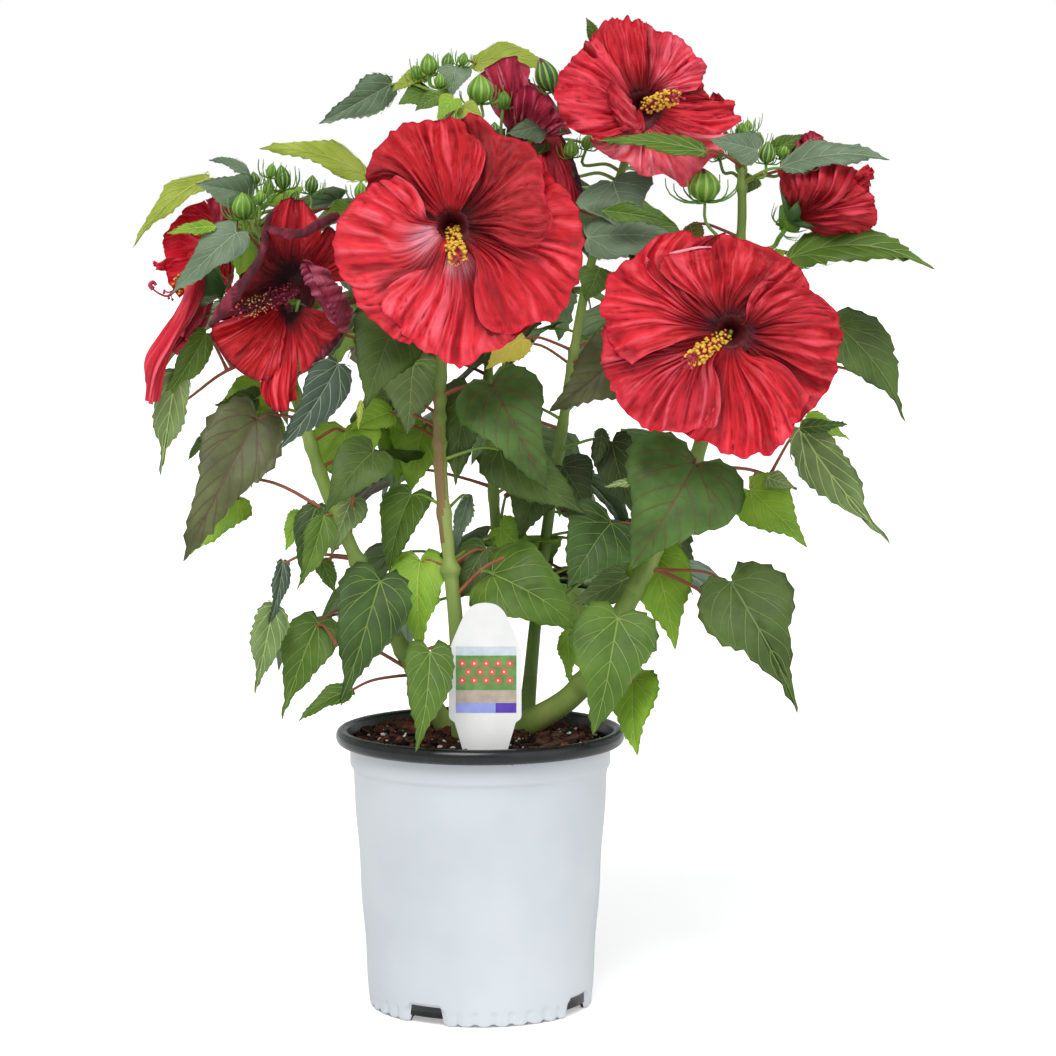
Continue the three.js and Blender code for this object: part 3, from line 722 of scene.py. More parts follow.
MASSES = {
    "leaves_left_low": (-118, -48, 297), "leaves_left_outer": (-203, -22, 427), "leaves_left_drooping": (-241, 4, 478),
    "leaves_left_middle": (-96, -52, 430), "leaves_left_upper": (-203, 26, 622), "leaves_front_low": (-52, -64, 288),
    "leaves_centre_middle": (24, -44, 366), "leaves_centre_upper": (26, 4, 480), "leaves_right_low": (106, -66, 288),
    "leaves_right_middle": (140, -44, 394), "leaves_right_outer_low": (214, -26, 298), "leaves_right_outer": (260, 0, 410),
    "leaves_right_edge": (308, 22, 506), "leaves_top_left": (-66, 4, 729), "leaves_top_middle": (116, 48, 634),
    "leaves_top_right": (262, 4, 648), "leaves_back_left_low": (-96, 92, 330), "leaves_back_left_upper": (-112, 120, 560),
    "leaves_back_centre_low": (20, 140, 400), "leaves_back_centre_upper": (8, 186, 570), "leaves_back_right_low": (128, 92, 350),
    "leaves_back_right_upper": (172, 124, 534),
}
MASS_C = {k: np.array(v) / 1000.0 for k, v in MASSES.items()}


def stem_at(name, z):
    c = STEM_C[name]
    return c[np.argmin(np.abs(c[:, 2] - z / 1000.0))]


BOUGH_C = {}
for _k, (_s, _z, _to) in BOUGHS.items():
    a = stem_at(_s, _z)
    if isinstance(_to, str):
        c0, face = BLOOM_AT[_to]
        b = np.array(c0) / 1000.0 - unit(face) * 0.006
        mid = a + (b - a) * 0.5 - [0, 0, np.linalg.norm(b - a) * 0.05]
        BOUGH_C[_k] = spline([a, mid, b], 40)
    else:
        b = np.array(_to) / 1000.0
        e = a + (b - a) * 0.9
        mid = a + (b - a) * 0.5 + [0, 0, np.linalg.norm(b - a) * 0.08]
        BOUGH_C[_k] = spline([a, mid, e], 40)

NODE_Z = {k: [] for k in STEMS}  # where leaf stalks leave each stem


def stems():
    for name, (r0, r1, flare, _) in STEMS.items():
        c = spline(np.array(STEMS[name][3]) / 1000.0, 170)
        c[0, 2] -= 0.004
        t = np.linspace(0, 1, len(c))
        r = (r0 + (r1 - r0) * t + flare * np.exp(-t * 22)) / 1000.0
        for z in NODE_Z[name]:
            r = r * (1 + 0.16 * np.exp(-((c[:, 2] - z + 0.002) / 0.0035) ** 2) - 0.04 * np.exp(-((c[:, 2] - z - 0.008) / 0.006) ** 2))
        seed = len(name)
        B = Build()
        N = 20
        old = {"stem_front": 0.1, "stem_left": 0.22, "stem_back": 0.05, "stem_centre": 0.08, "stem_right": 0.3}[name]
        _, n, b = frames(c)
        w = np.arange(N) * 2 * math.pi / N
        ww = np.broadcast_to(w, (len(c), N))
        tt = np.broadcast_to(t[:, None], (len(c), N))
        rel = 1 + 0.05 * (noise(ww / 6.283 * 7 + 3, tt * 16, seed) - 0.5) + 0.07 * (noise(ww / 6.283 * 12, tt * 5, seed + 5) - 0.5) + 0.025 * np.cos(5 * ww + tt * 7)
        rr = r[:, None] * rel
        v = c[:, None] + rr[..., None] * (np.cos(w)[None, :, None] * n[:, None] + np.sin(w)[None, :, None] * b[:, None])
        v = np.vstack([v.reshape(-1, 3), c[:1], c[-1:] + [0, 0, 0.001]])
        k, k2 = np.arange(N), (np.arange(N) + 1) % N
        e = (len(c) - 1) * N
        tri = np.vstack([np.stack([np.full(N, len(v) - 2), k2, k], -1), np.stack([np.full(N, len(v) - 1), e + k, e + k2], -1)])
        mt = np.repeat(np.where(t[:-1] < old, 1, 0), N).reshape(-1, N)
        if name == "stem_front":  # the side that the sun has turned red
            side = (np.cos(w)[None, :] * n[:-1, :1] + np.sin(w)[None, :] * b[:-1, :1])
            zz = c[:-1, 2:]
            lim = 0.35 - 0.8 * smooth(0.385, 0.41, zz) * (1 - smooth(0.445, 0.47, zz)) + 0.3 * (noise(zz * 40, side * 2, 3) - 0.5)
            mt = np.where((side < -lim - 0.05) & (zz > 0.372) & (zz < 0.49), 2, mt)
        B.add(v, grid_quads(len(c), N, True), tri, mat=mt.reshape(-1), tmat=0)
        piece(B.make(name + "_bark", [STEM_GREEN, STEM_OLD, STEM_RED]), "stem", name)
    for name, c in BOUGH_C.items():
        B = Build()
        t = np.linspace(0, 1, len(c))
        thick = 0.0019 if "bloom" in name else 0.0017
        tube(B, c, thick - 0.0006 * t + 0.0009 * np.exp(-t * 14), 10, 0, bump=lambda a, w: 1 + 0.08 * np.sin(3 * w + a * 20) * np.sin(a * 40))
        piece(B.make(name + "_twig", [PET_GREEN if "bloom" in name or "back" in name else PET_RED]), "bough", name)


# ------------------------------------------------------------------ leaves
def outline(kind):
    shapes = {
        "heart": [(0, 0.02), (0.045, -0.055), (0.14, -0.105), (0.26, -0.085), (0.365, 0.0), (0.415, 0.12), (0.395, 0.25), (0.335, 0.38), (0.255, 0.52), (0.18, 0.66), (0.10, 0.80), (0.04, 0.91), (0, 1.0)],
        "lobed": [(0, 0.03), (0.05, -0.05), (0.16, -0.10), (0.29, -0.07), (0.40, 0.03), (0.455, 0.16), (0.42, 0.26), (0.39, 0.36), (0.27, 0.46), (0.205, 0.58), (0.15, 0.71), (0.08, 0.85), (0.03, 0.94), (0, 1.0)],
        "ovate": [(0, 0.0), (0.06, -0.025), (0.16, -0.02), (0.27, 0.06), (0.335, 0.18), (0.335, 0.30), (0.29, 0.43), (0.225, 0.57), (0.155, 0.71), (0.085, 0.84), (0.03, 0.94), (0, 1.0)],
        "lance": [(0, 0.0), (0.05, 0.01), (0.11, 0.05), (0.17, 0.14), (0.20, 0.27), (0.19, 0.42), (0.155, 0.57), (0.11, 0.72), (0.065, 0.85), (0.025, 0.94), (0, 1.0)],
    }
    return np.array(shapes[kind], float)


VEINS = [  # in leaf units, right side; the midrib first
    ([(0, 0.0), (0.004, 0.3), (-0.004, 0.6), (0, 0.97)], 1.0, True),
    ([(0, 0.0), (0.11, 0.12), (0.225, 0.26), (0.295, 0.41)], 0.75, False),
    ([(0, 0.0), (0.16, 0.03), (0.30, 0.10), (0.39, 0.20)], 0.6, False),
    ([(0, 0.0), (0.10, -0.045), (0.21, -0.06), (0.30, -0.035)], 0.45, False),
    ([(0, 0.20), (0.10, 0.30), (0.19, 0.42), (0.235, 0.53)], 0.5, False),
    ([(0, 0.37), (0.08, 0.46), (0.15, 0.57), (0.18, 0.655)], 0.42, False),
    ([(0, 0.53), (0.06, 0.61), (0.11, 0.71), (0.128, 0.765)], 0.36, False),
    ([(0, 0.68), (0.04, 0.75), (0.07, 0.835)], 0.28, False),
    ([(0.11, 0.12), (0.21, 0.165), (0.31, 0.225), (0.38, 0.30)], 0.32, False),
    ([(0.165, 0.185), (0.25, 0.25), (0.33, 0.35)], 0.26, False),
    ([(0.16, 0.03), (0.25, 0.02), (0.34, 0.05)], 0.26, False),
]


def vein_lines(kind, xs):
    lines = []
    for pts, w, mid in VEINS:
        p = np.array(pts) * [xs, 1]
        if kind == "lance" and not mid and w < 0.62 and pts[0][1] == 0 and w != 0.5:
            continue
        lines.append((p, w))
        if not mid:
            lines.append((p * [-1, 1], w))
    return lines


def seg_dist(p, a, b):
    ab = b - a
    t = np.clip(((p - a) @ ab) / max(ab @ ab, 1e-12), 0, 1)
    return np.linalg.norm(p - (a + t[..., None] * ab), axis=-1)


SHEETS = {k: Build() for k in MASSES}  # one spray of leaves for each mass
CELLS = {k: 0 for k in MASSES}
CELL_N = 7  # leaves on a side of each sheet's map
MATS = [LM[k] for k in LEAF_KEYS] + [UM[k] for k in LEAF_KEYS] + [VEIN[k] for k in LEAF_KEYS]
FACE_CAM = unit(np.array([0.0, -1.0, 0.32]))
COVER = np.zeros((264, 264), bool)


def mark(p, grow=0):
    q = np.round(project(p) / 4).astype(int)
    ok = (q[:, 0] >= 1) & (q[:, 0] < 263) & (q[:, 1] >= 1) & (q[:, 1] < 263)
    q = q[ok]
    for dx in (-1, 0, 1):
        for dy in (-1, 0, 1):
            COVER[q[:, 1] + dy, q[:, 0] + dx] = True


def covered(p):
    q = np.clip(np.round(project(p) / 4).astype(int), 0, 263)
    return COVER[q[:, 1], q[:, 0]].mean()


LEAF_LOG = []


def leaf(base, tip, width, shade="m", face=None, roll=0.0, kind="heart", fold=0.12, bow=0.10, twist=0.0, wave=0.06, curl=0.0,
         seed=0, detail=1.0, mass=None, quilt=1.0, show=True, side_bend=0.0, teeth=13, drip=0.0, lobes=None):
    base, tip = np.asarray(base, float), np.asarray(tip, float)
    chord = tip - base
    L = np.linalg.norm(chord)
    d = chord / L
    f = FACE_CAM if face is None else unit(face)
    n = unit(f - d * (f @ d))
    s = np.cross(d, n)
    a = math.radians(roll)
    n, s = n * math.cos(a) + s * math.sin(a), s * math.cos(a) - n * math.sin(a)
    r = np.random.default_rng(seed * 7 + 11)
    half = width / 2.0 / L  # in leaf units
    o = outline(kind)
    xs = half / o[:, 0].max()
    N = max(10, int(2 * teeth * (0.8 if detail < 1 else 1)))
    base_edge = spline(o * [xs, 1], 6 * N + 1)
    sides = []
    for _ in range(2):
        at = (np.arange(N + 1) + np.r_[0, r.uniform(-0.33, 0.33, N - 1), 0]) / N * 6 * N
        pts = np.stack([np.interp(at, np.arange(6 * N + 1), base_edge[:, j]) for j in (0, 1)], -1)
        tan = unit(np.gradient(pts, axis=0))
        nor = np.stack([tan[:, 1], -tan[:, 0]], -1)
        k = np.arange(N + 1)
        fade = np.clip(np.minimum(k / 2.5, (N - k) / 3.0), 0, 1)
        amp = 0.0150 * (0.25 + 1.5 * r.random(N + 1) ** 1.4) * fade
        drift = 0.015 * np.sin(k * 0.55 + r.random() * 6.28) * fade
        saw = np.where(k % 2 == 1, 1.0, -0.35)
        sides.append((pts, pts + nor * (amp * saw + drift)[:, None] + tan * (0.010 * (k % 2) * fade)[:, None]))
    right, edge_r = sides[0]
    left, edge_l = sides[1][0][::-1][1:-1] * [-1, 1], sides[1][1][::-1][1:-1] * [-1, 1]
    amp2 = 1 + 0.16 * (r.random() - 0.5)
    S = np.vstack([right, left * [amp2, 1]])
    E = np.vstack([edge_r, edge_l * [amp2, 1]])
    if drip:  # the tip runs out into a thin crinkled point
        def pinch(p):
            k = drip * smooth(0.56, 0.80, p[:, 1])
            x = p[:, 0] * (1 - k) + np.sign(p[:, 0]) * 0.016 * k * np.sqrt(np.clip((1 - p[:, 1]) / 0.2, 0, 1))
            return np.stack([x + 0.012 * k * np.sin(p[:, 1] * 37 + seed), p[:, 1]], -1)
        S, E = pinch(S), pinch(E)
    if lobes is None:
        lobes = ((seed * 53) % 17) / 17.0 * 1.1 - 0.45
    M = len(S)
    cen = np.array([0.0, 0.30])
    rad = np.array([0.14, 0.3, 0.46, 0.62, 0.77, 0.9, 1.0]) if detail >= 1 else np.array([0.25, 0.5, 0.75, 1.0])
    rows = [cen + (S - cen) * t for t in rad[:-1]] + [E]
    flat = np.vstack([cen[None], *rows])
    lines = vein_lines(kind, xs)
    if drip:
        lines = [(np.stack([p[:, 0] * (1 - drip * smooth(0.56, 0.80, p[:, 1])) + 0.012 * drip * smooth(0.56, 0.80, p[:, 1]) * np.sin(p[:, 1] * 37 + seed),
                            p[:, 1]], -1), w) for p, w in lines]

    ph = r.random(6) * 6.283
    L_w = wave * 0.55

    def deform(p, lift=0.0, quilted=True):
        x, y = p[:, 0], p[:, 1]
        yy = np.clip(y, -0.2, 1.05)
        h = 4 * bow * yy * (1 - yy) * np.where(yy < 0, 0.7, 1) - curl * np.clip(yy - 0.6, 0, 1) ** 2 * 3.0
        ax = np.abs(x)
        hw = np.interp(yy, o[:, 1][2:], (o[:, 0] * xs)[2:]) + 1e-3
        e = np.clip(ax / np.maximum(hw, 0.05), 0, 1.1)
        side = np.sign(x)
        h = h + fold * ax * (1 - 0.4 * e) * 1.6 - 0.22 * ax * e ** 2 * (0.4 + 0.6 * abs(fold))
        h = h + L_w * e ** 2 * (np.sin(yy * 9 + ph[0] + side * ph[1]) * 0.6 + np.sin(yy * 17 + ph[2] * side + ph[3]) * 0.4) * hw * 1.6
        h = h + lobes * np.clip(0.10 - yy, 0, 0.3) * ax * 2.6
        if quilted and quilt:
            dist = np.full(len(p), 9.0)
            for line, w in lines:
                if w < 0.36:
                    continue
                for i in range(len(line) - 1):
                    dist = np.minimum(dist, seg_dist(p, line[i], line[i + 1]))
            h = h + quilt * 0.011 * (1 - np.exp(-(dist / 0.035) ** 2)) * (1 - 0.5 * smooth(0.8, 1.0, e))
        xx = x * (1 - 0.12 * abs(fold) * 2) + side_bend * yy * yy
        h = h + lift / L
        tw = twist * yy
        ct, st = np.cos(tw), np.sin(tw)
        X = xx * ct - (h * 0) * st
        H = h + xx * st
        return base + L * (X[:, None] * s + yy[:, None] * d + H[:, None] * n)

    thick = 0.00035
    top = deform(flat, 0.0)
    bot = deform(flat, -thick)
    if mass is None:
        c = base + chord * 0.45
        mass = min(MASS_C, key=lambda m: np.linalg.norm((MASS_C[m] - c) * [1, 0.8, 1]))
    B = SHEETS[mass]
    cell = CELLS[mass]
    CELLS[mass] += 1
    nn = CELL_N
    cx, cy = cell % nn, (cell // nn) % nn
    ext_x = max(np.abs(flat[:, 0]).max(), 0.1)
    u = (flat[:, 0] / ext_x * 0.5 + 0.5)
    vv = (flat[:, 1] + 0.14) / 1.16
    uv_top = np.stack([(cx + 0.03 + 0.44 * u) / nn, (cy + 0.04 + 0.92 * vv) / nn], -1)
    uv_bot = np.stack([(cx + 0.53 + 0.44 * u) / nn, (cy + 0.04 + 0.92 * vv) / nn], -1)
    R = len(rad)
    k, k2 = np.arange(M), (np.arange(M) + 1) % M
    tri = np.stack([np.zeros(M, int), 1 + k2, 1 + k], -1)
    q = grid_quads(R, M, True, off=1)
    si = LEAF_KEYS.index(shade)
    nk = len(LEAF_KEYS)
    # facing: make the top side point along n
    a0, b0, c0 = top[tri[0][0]], top[tri[0][1]], top[tri[0][2]]
    if np.cross(b0 - a0, c0 - a0) @ n < 0:
        tri, q = tri[:, ::-1], q[:, [0, 3, 2, 1]]
        rim_flip = True
    else:
        rim_flip = False
    off = len(top)
    B.add(np.vstack([top, bot]), None, None)
    B.n -= 2 * off
    B.v.pop()
    B.col.pop()
    e0 = 1 + (R - 1) * M
    rim = np.stack([e0 + k, e0 + k2, off + e0 + k2, off + e0 + k], -1)
    if not rim_flip:
        rim = rim[:, ::-1]
    uv_all = np.vstack([uv_top, uv_bot])
    rim_uv = uv_all[np.where(rim >= off, rim - off, rim)]
    qb = q[:, [0, 3, 2, 1]] + off  # the same diagonals underneath
    quads = np.vstack([q, qb, rim])
    quv = np.concatenate([uv_all[q], uv_all[qb], rim_uv])
    qmat = np.r_[np.full(len(q), si), np.full(len(q), nk + si), np.full(M, si)]
    B.add(np.vstack([top, bot]), quads, np.vstack([tri, tri[:, ::-1] + off]), mat=qmat,
          tmat=np.r_[np.full(M, si), np.full(M, nk + si)], uv=uv_all, quv=quv)
    # veins: thin raised ribbons that lie on the blade's own faces
    SV = S - cen
    lev = np.r_[0.0, rad]
    Tg = np.concatenate([np.repeat(top[:1], M, 0)[None], top[1:].reshape(R, M, 3)])
    Fg = np.concatenate([np.repeat(flat[:1], M, 0)[None], flat[1:].reshape(R, M, 2)])

    def weights(A, Bq, Cq, X):
        e, g, h = Bq - A, Cq - A, X - A
        det = e[:, 0] * g[:, 1] - g[:, 0] * e[:, 1]
        det = np.where(np.abs(det) < 1e-14, 1e-14, det)
        wb = (h[:, 0] * g[:, 1] - g[:, 0] * h[:, 1]) / det
        wc = (e[:, 0] * h[:, 1] - h[:, 0] * e[:, 1]) / det
        return np.stack([1 - wb - wc, wb, wc], -1)

    def on_blade(p):
        w = p - cen
        A, Bv = SV[:, None], np.roll(SV, -1, axis=0)[:, None]
        det = A[..., 0] * Bv[..., 1] - A[..., 1] * Bv[..., 0]
        det = np.where(np.abs(det) < 1e-12, 1e-12, det)
        ca = (w[None, :, 0] * Bv[..., 1] - w[None, :, 1] * Bv[..., 0]) / det
        cb = (A[..., 0] * w[None, :, 1] - A[..., 1] * w[None, :, 0]) / det
        good = (ca >= -1e-6) & (cb >= -1e-6)
        tt = np.where(good, ca + cb, 9.0)
        kk = np.argmin(tt, axis=0)
        t = np.clip(tt[kk, np.arange(len(p))], 1e-6, 0.985)
        ri = np.clip(np.searchsorted(lev, t) - 1, 0, R - 1)
        k1 = (kk + 1) % M
        w1 = weights(Fg[ri, kk], Fg[ri + 1, kk], Fg[ri + 1, k1], p)
        w2 = weights(Fg[ri, kk], Fg[ri, k1], Fg[ri + 1, k1], p)
        one = ((w1.min(axis=1) >= w2.min(axis=1)) | (ri == 0))[:, None]
        wt = np.clip(np.where(one, w1, w2), -0.15, 1.15)
        wt[:, 0] = 1 - wt[:, 1] - wt[:, 2]
        c0, c1, c2 = Tg[ri, kk], np.where(one, Tg[ri + 1, kk], Tg[ri, k1]), Tg[ri + 1, k1]
        nv = unit(np.cross(c1 - c0, c2 - c0))
        nv = nv * np.sign(nv @ n + 1e-9)[:, None]
        return c0 * wt[:, :1] + c1 * wt[:, 1:2] + c2 * wt[:, 2:], nv

    for line, w in lines:
        if detail < 1 and w < 0.36:
            continue
        K = 18 if w == 1.0 else 12
        pl = spline(line, K)
        tn = unit(np.gradient(pl, axis=0))
        pn = np.stack([tn[:, 1], -tn[:, 0]], -1)
        ww = (0.00062 * w * (1 - 0.7 * np.linspace(0, 1, K)) + 0.00012) / L * min(1.25, max(0.6, L / 0.1))
        major = w > 0.55
        pts = [pl + pn * ww[:, None], pl, pl - pn * ww[:, None]] if major else [pl + pn * ww[:, None], pl - pn * ww[:, None]]
        base_p, nv = on_blade(np.concatenate(pts))
        nvs = nv.reshape(len(pts), K, 3).mean(axis=0)
        nvs = unit(nvs + np.roll(nvs, 1, 0) * 0.5 + np.roll(nvs, -1, 0) * 0.5)
        nvr = np.tile(nvs, (len(pts), 1))
        for sgn in (1, -1):
            if sgn < 0 and w < 0.32:
                continue
            lift = np.full(len(base_p), 0.00026 if major else 0.0004)
            if major:
                lift[K:2 * K] = 0.00052
            g = base_p + nvr * (lift[:, None] * sgn - (thick if sgn < 0 else 0))
            qq = grid_quads(len(pts), K)
            if (np.cross(g[qq[K // 2][1]] - g[qq[K // 2][0]], g[qq[K // 2][3]] - g[qq[K // 2][0]]) @ nvs[K // 2]) * sgn < 0:
                qq = qq[:, ::-1]
            B.add(g, qq, mat=2 * nk + si)
    if show:
        mark(top)
    LEAF_LOG.append((base, d, n, L, shade))
    return base, d


STALKS = Build()
CURVES = {**{k: STEM_C[k] for k in STEMS}, **BOUGH_C}


def stem_radius(name, i, n):
    if name in STEMS:
        r0, r1, fl, _ = STEMS[name]
        return (r0 + (r1 - r0) * i / n) / 1000.0
    return 0.0014


def stalk(base, d, where=None, r=0.0012, red=None, seed=0, drop=0.012):
    """A leaf's stalk from the nearest limb up to its blade."""
    base = np.asarray(base, float)
    best = None
    for name, c in CURVES.items():
        if where and name != where:
            continue
        if "bloom" in name and not where:
            continue
        dz = base[2] - c[:, 2]
        cost = np.linalg.norm(c - base, axis=1) + 0.35 * np.abs(dz - drop) + (0.01 if name in BOUGH_C else 0) + np.where(dz < -0.02, 0.03, 0)
        i = int(np.argmin(cost))
        if best is None or cost[i] < best[0]:
            best = (cost[i], name, i)
    _, name, i = best
    c = CURVES[name]
    s = c[i]
    if name in STEMS:
        NODE_Z[name].append(s[2])
    way = base - s
    dist = np.linalg.norm(way)
    up = np.array([0, 0, 1.0])
    m1 = s + way * 0.33 + up * dist * 0.05
    m2 = s + way * 0.72 + up * dist * 0.07
    p = spline([s, m1, m2, base + d * 0.003], 14)
    t = np.linspace(0, 1, len(p))
    if red is None:
        red = (seed * 37) % 10 < 6
    tube(STALKS, p, r * (1.15 - 0.25 * t + 0.8 * np.exp(-t * 16)), 7, 0 if red else 1)
    mark(p)


def put(bu, bv, by, tu, tv, ty, w, shade="m", **kw):
    """A leaf placed by where its base and tip show; w is its full width in picture pixels."""
    where = kw.pop("where", None)
    red = kw.pop("red", None)
    pr = kw.pop("pr", 0.0012)
    nostalk = kw.pop("nostalk", False)
    seed = kw.setdefault("seed", len(LEAF_LOG) + 1)
    vr = np.random.default_rng(seed * 13 + 5)
    kw.setdefault("twist", float(vr.uniform(-.22, .22)))
    kw.setdefault("side_bend", float(vr.uniform(-.07, .07)))
    kw["roll"] = kw.get("roll", 0.0) + float(vr.normal(0, 5))
    kw.setdefault("wave", 0.06 + 0.07 * float(vr.random()))
    b, t = P(bu, bv, by), P(tu, tv, ty)
    base, d = leaf(b, t, w * (2.5 + (by + ty) / 2) / FPX * 1.0, shade, **kw)
    if not nostalk:
        stalk(base, d, where, seed=seed, red=red, r=pr)


def front_leaves():
    # upper left
    put(209, 178, .03, 135, 249, .0, 36, "y", roll=24, fold=.3, bow=.12, kind="ovate", wave=.14, drip=.4)
    put(252, 196, .0, 196, 180, -.02, 40, "g", roll=-20, fold=.2, bow=.14, kind="ovate")
    put(250, 176, .02, 208, 159, .0, 22, "g", roll=30, fold=.3, kind="lance", bow=.1)
    put(366, 176, .02, 259, 149, .0, 52, "y", roll=32, fold=.22, bow=.10, kind="ovate", wave=.08)
    put(352, 212, .05, 325, 216, .03, 30, "b", kind="ovate", fold=.2)
    put(236, 233, -.050, 178, 300, -.062, 46, "g", roll=6, twist=.10, side_bend=.10, fold=.16, bow=.10, kind="heart", wave=.10, red=True)
    put(216, 227, -.052, 167, 235, -.060, 15, "b", roll=10, kind="lance", fold=.2, twist=0.0)
    put(250, 222, .03, 238, 282, .02, 50, "b", kind="heart", seed=71)
    put(285, 190, .05, 292, 215, .03, 36, "b", kind="ovate", seed=72)
    put(206, 334, -.02, 158, 402, -.03, 32, "m", roll=-30, fold=.35, bow=.10, kind="ovate", wave=.12)
    put(177, 372, -.027, 161, 476, -.03, 38, "s", roll=-12, fold=.3, bow=.06, kind="ovate", wave=.14, drip=.85, nostalk=True)
    put(206, 334, .02, 186, 372, .01, 24, "v", roll=20, kind="ovate")
    put(262, 392, .02, 212, 428, .0, 52, "b", roll=10, fold=.2, kind="heart", bow=.1)
    put(258, 398, .0, 214, 404, -.02, 34, "d", roll=-40, fold=.3, kind="ovate")
    put(256, 418, -.03, 186, 563, -.05, 82, "p", roll=-4, fold=.18, bow=.12, kind="heart", wave=.12, curl=.12)
    put(240, 497, .02, 192, 556, .0, 46, "b", roll=20, kind="ovate", bow=.1)
    put(268, 415, .03, 264, 470, .02, 38, "b", kind="ovate")
    put(209, 436, .0, 187, 460, -.01, 13, "d", kind="lance", fold=.2, nostalk=True)
    put(338, 364, -.05, 279, 449, -.07, 50, "h", roll=-34, fold=.3, bow=.12, kind="ovate", wave=.1)
    put(398, 322, -.055, 360, 406, -.08, 86, "d", roll=0, fold=.14, bow=.14, kind="heart", curl=.1)
    put(361, 400, -.074, 357, 430, -.082, 6, "y", kind="lance", nostalk=True, twist=0.0)
    put(373, 452, -.05, 324, 514, -.07, 62, "d", roll=-6, fold=.2, bow=.14, kind="heart", curl=.1)
    put(324, 516, -.052, 301, 592, -.06, 32, "m", roll=-16, fold=.4, bow=.08, kind="ovate", wave=.14, drip=.5)
    put(318, 505, -.035, 300, 574, -.045, 36, "k", roll=14, fold=.3, bow=.1, kind="ovate", wave=.12)
    put(300, 512, -.02, 288, 552, -.03, 22, "b", kind="ovate", nostalk=True)
    put(322, 560, -.03, 335, 598, -.035, 20, "m", kind="ovate", fold=.3, drip=.5)
    put(352, 500, -.04, 334, 557, -.05, 40, "s", kind="heart", fold=.12, seed=73)
    put(412, 494, -.01, 388, 574, -.02, 54, "m", roll=12, kind="heart", fold=.28, bow=.12, wave=.14)
    put(345, 428, -.005, 350, 496, -.01, 80, "b", roll=4, fold=.14, kind="heart", where="stem_left", red=True)
    put(392, 412, .0, 350, 432, -.01, 40, "b", roll=10, fold=.3, kind="ovate")
    put(414, 362, .0, 404, 436, -.01, 70, "s", roll=4, fold=.1, kind="heart", bow=.08)
    put(424, 424, .02, 408, 492, .01, 66, "b", kind="heart", seed=76)
    put(392, 424, .03, 396, 484, .02, 46, "b", kind="heart", seed=79)
    put(470, 494, .012, 452, 558, .0, 18, "g", kind="lance", fold=.4)
    # lower left
    put(283, 561, -.03, 270, 628, -.035, 20, "h", roll=-24, fold=.4, bow=.08, kind="ovate", wave=.16, twist=.5, where="stem_left")
    put(274, 606, -.032, 254, 694, -.04, 36, "s", roll=-14, fold=.26, bow=.08, kind="ovate", wave=.16, drip=.5, nostalk=True)
    put(318, 623, -.01, 288, 722, -.02, 56, "m", roll=8, fold=.2, bow=.12, kind="heart", wave=.14, drip=.75, red=True)
    put(380, 581, -.06, 340, 703, -.08, 80, "k", roll=-6, fold=.16, bow=.12, kind="heart", curl=.14, wave=.14, drip=.3)
    put(352, 690, -.03, 297, 719, -.04, 30, "m", roll=30, fold=.3, bow=.08, kind="ovate", where="stem_left", seed=6)
    put(420, 560, -.02, 416, 654, -.04, 56, "b", roll=10, fold=.15, bow=.10, kind="heart")
    put(430, 652, -.095, 422, 753, -.118, 54, "m", roll=-4, fold=.12, bow=.12, kind="heart", curl=.05)
    # middle
    put(492, 384, -.05, 543, 492, -.07, 92, "R", roll=4, fold=.12, bow=.16, kind="heart", curl=.12, wave=.12)
    put(470, 388, -.01, 456, 486, -.02, 58, "d", roll=10, fold=.2, kind="heart", bow=.1)
    put(500, 448, -.03, 582, 520, -.04, 70, "d", roll=12, fold=.16, bow=.14, kind="heart", curl=.1)
    put(524, 337, .03, 484, 368, .01, 34, "Y", roll=-10, kind="ovate", fold=.15)
    put(626, 352, -.02, 548, 410, -.04, 74, "p", roll=-16, fold=.2, bow=.12, kind="heart")
    put(562, 466, .02, 592, 514, .01, 60, "v", roll=6, fold=.1, kind="heart", bow=.1)
    put(612, 442, .0, 632, 520, -.01, 50, "v", roll=16, fold=.3, kind="heart", bow=.1, wave=.14)
    put(602, 428, -.01, 594, 466, -.02, 18, "v", roll=-20, fold=.4, kind="lance", nostalk=True)
    put(611, 523, -.03, 562, 586, -.05, 86, "k", roll=-4, fold=.12, bow=.14, kind="heart", quilt=1.4)
    put(492, 574, -.032, 582, 630, -.040, 92, "m", roll=-8, fold=.14, bow=.14, kind="heart", curl=.08)
    put(640, 481, -.068, 604, 486, -.072, 9, "s", kind="lance", nostalk=True, twist=0.0)
    put(486, 548, -.01, 456, 604, -.02, 48, "d", roll=0, kind="heart", fold=.12)
    put(500, 528, .03, 538, 562, .02, 38, "b", kind="heart", fold=.15)
    put(540, 478, .03, 520, 540, .02, 60, "d", kind="heart", seed=77)
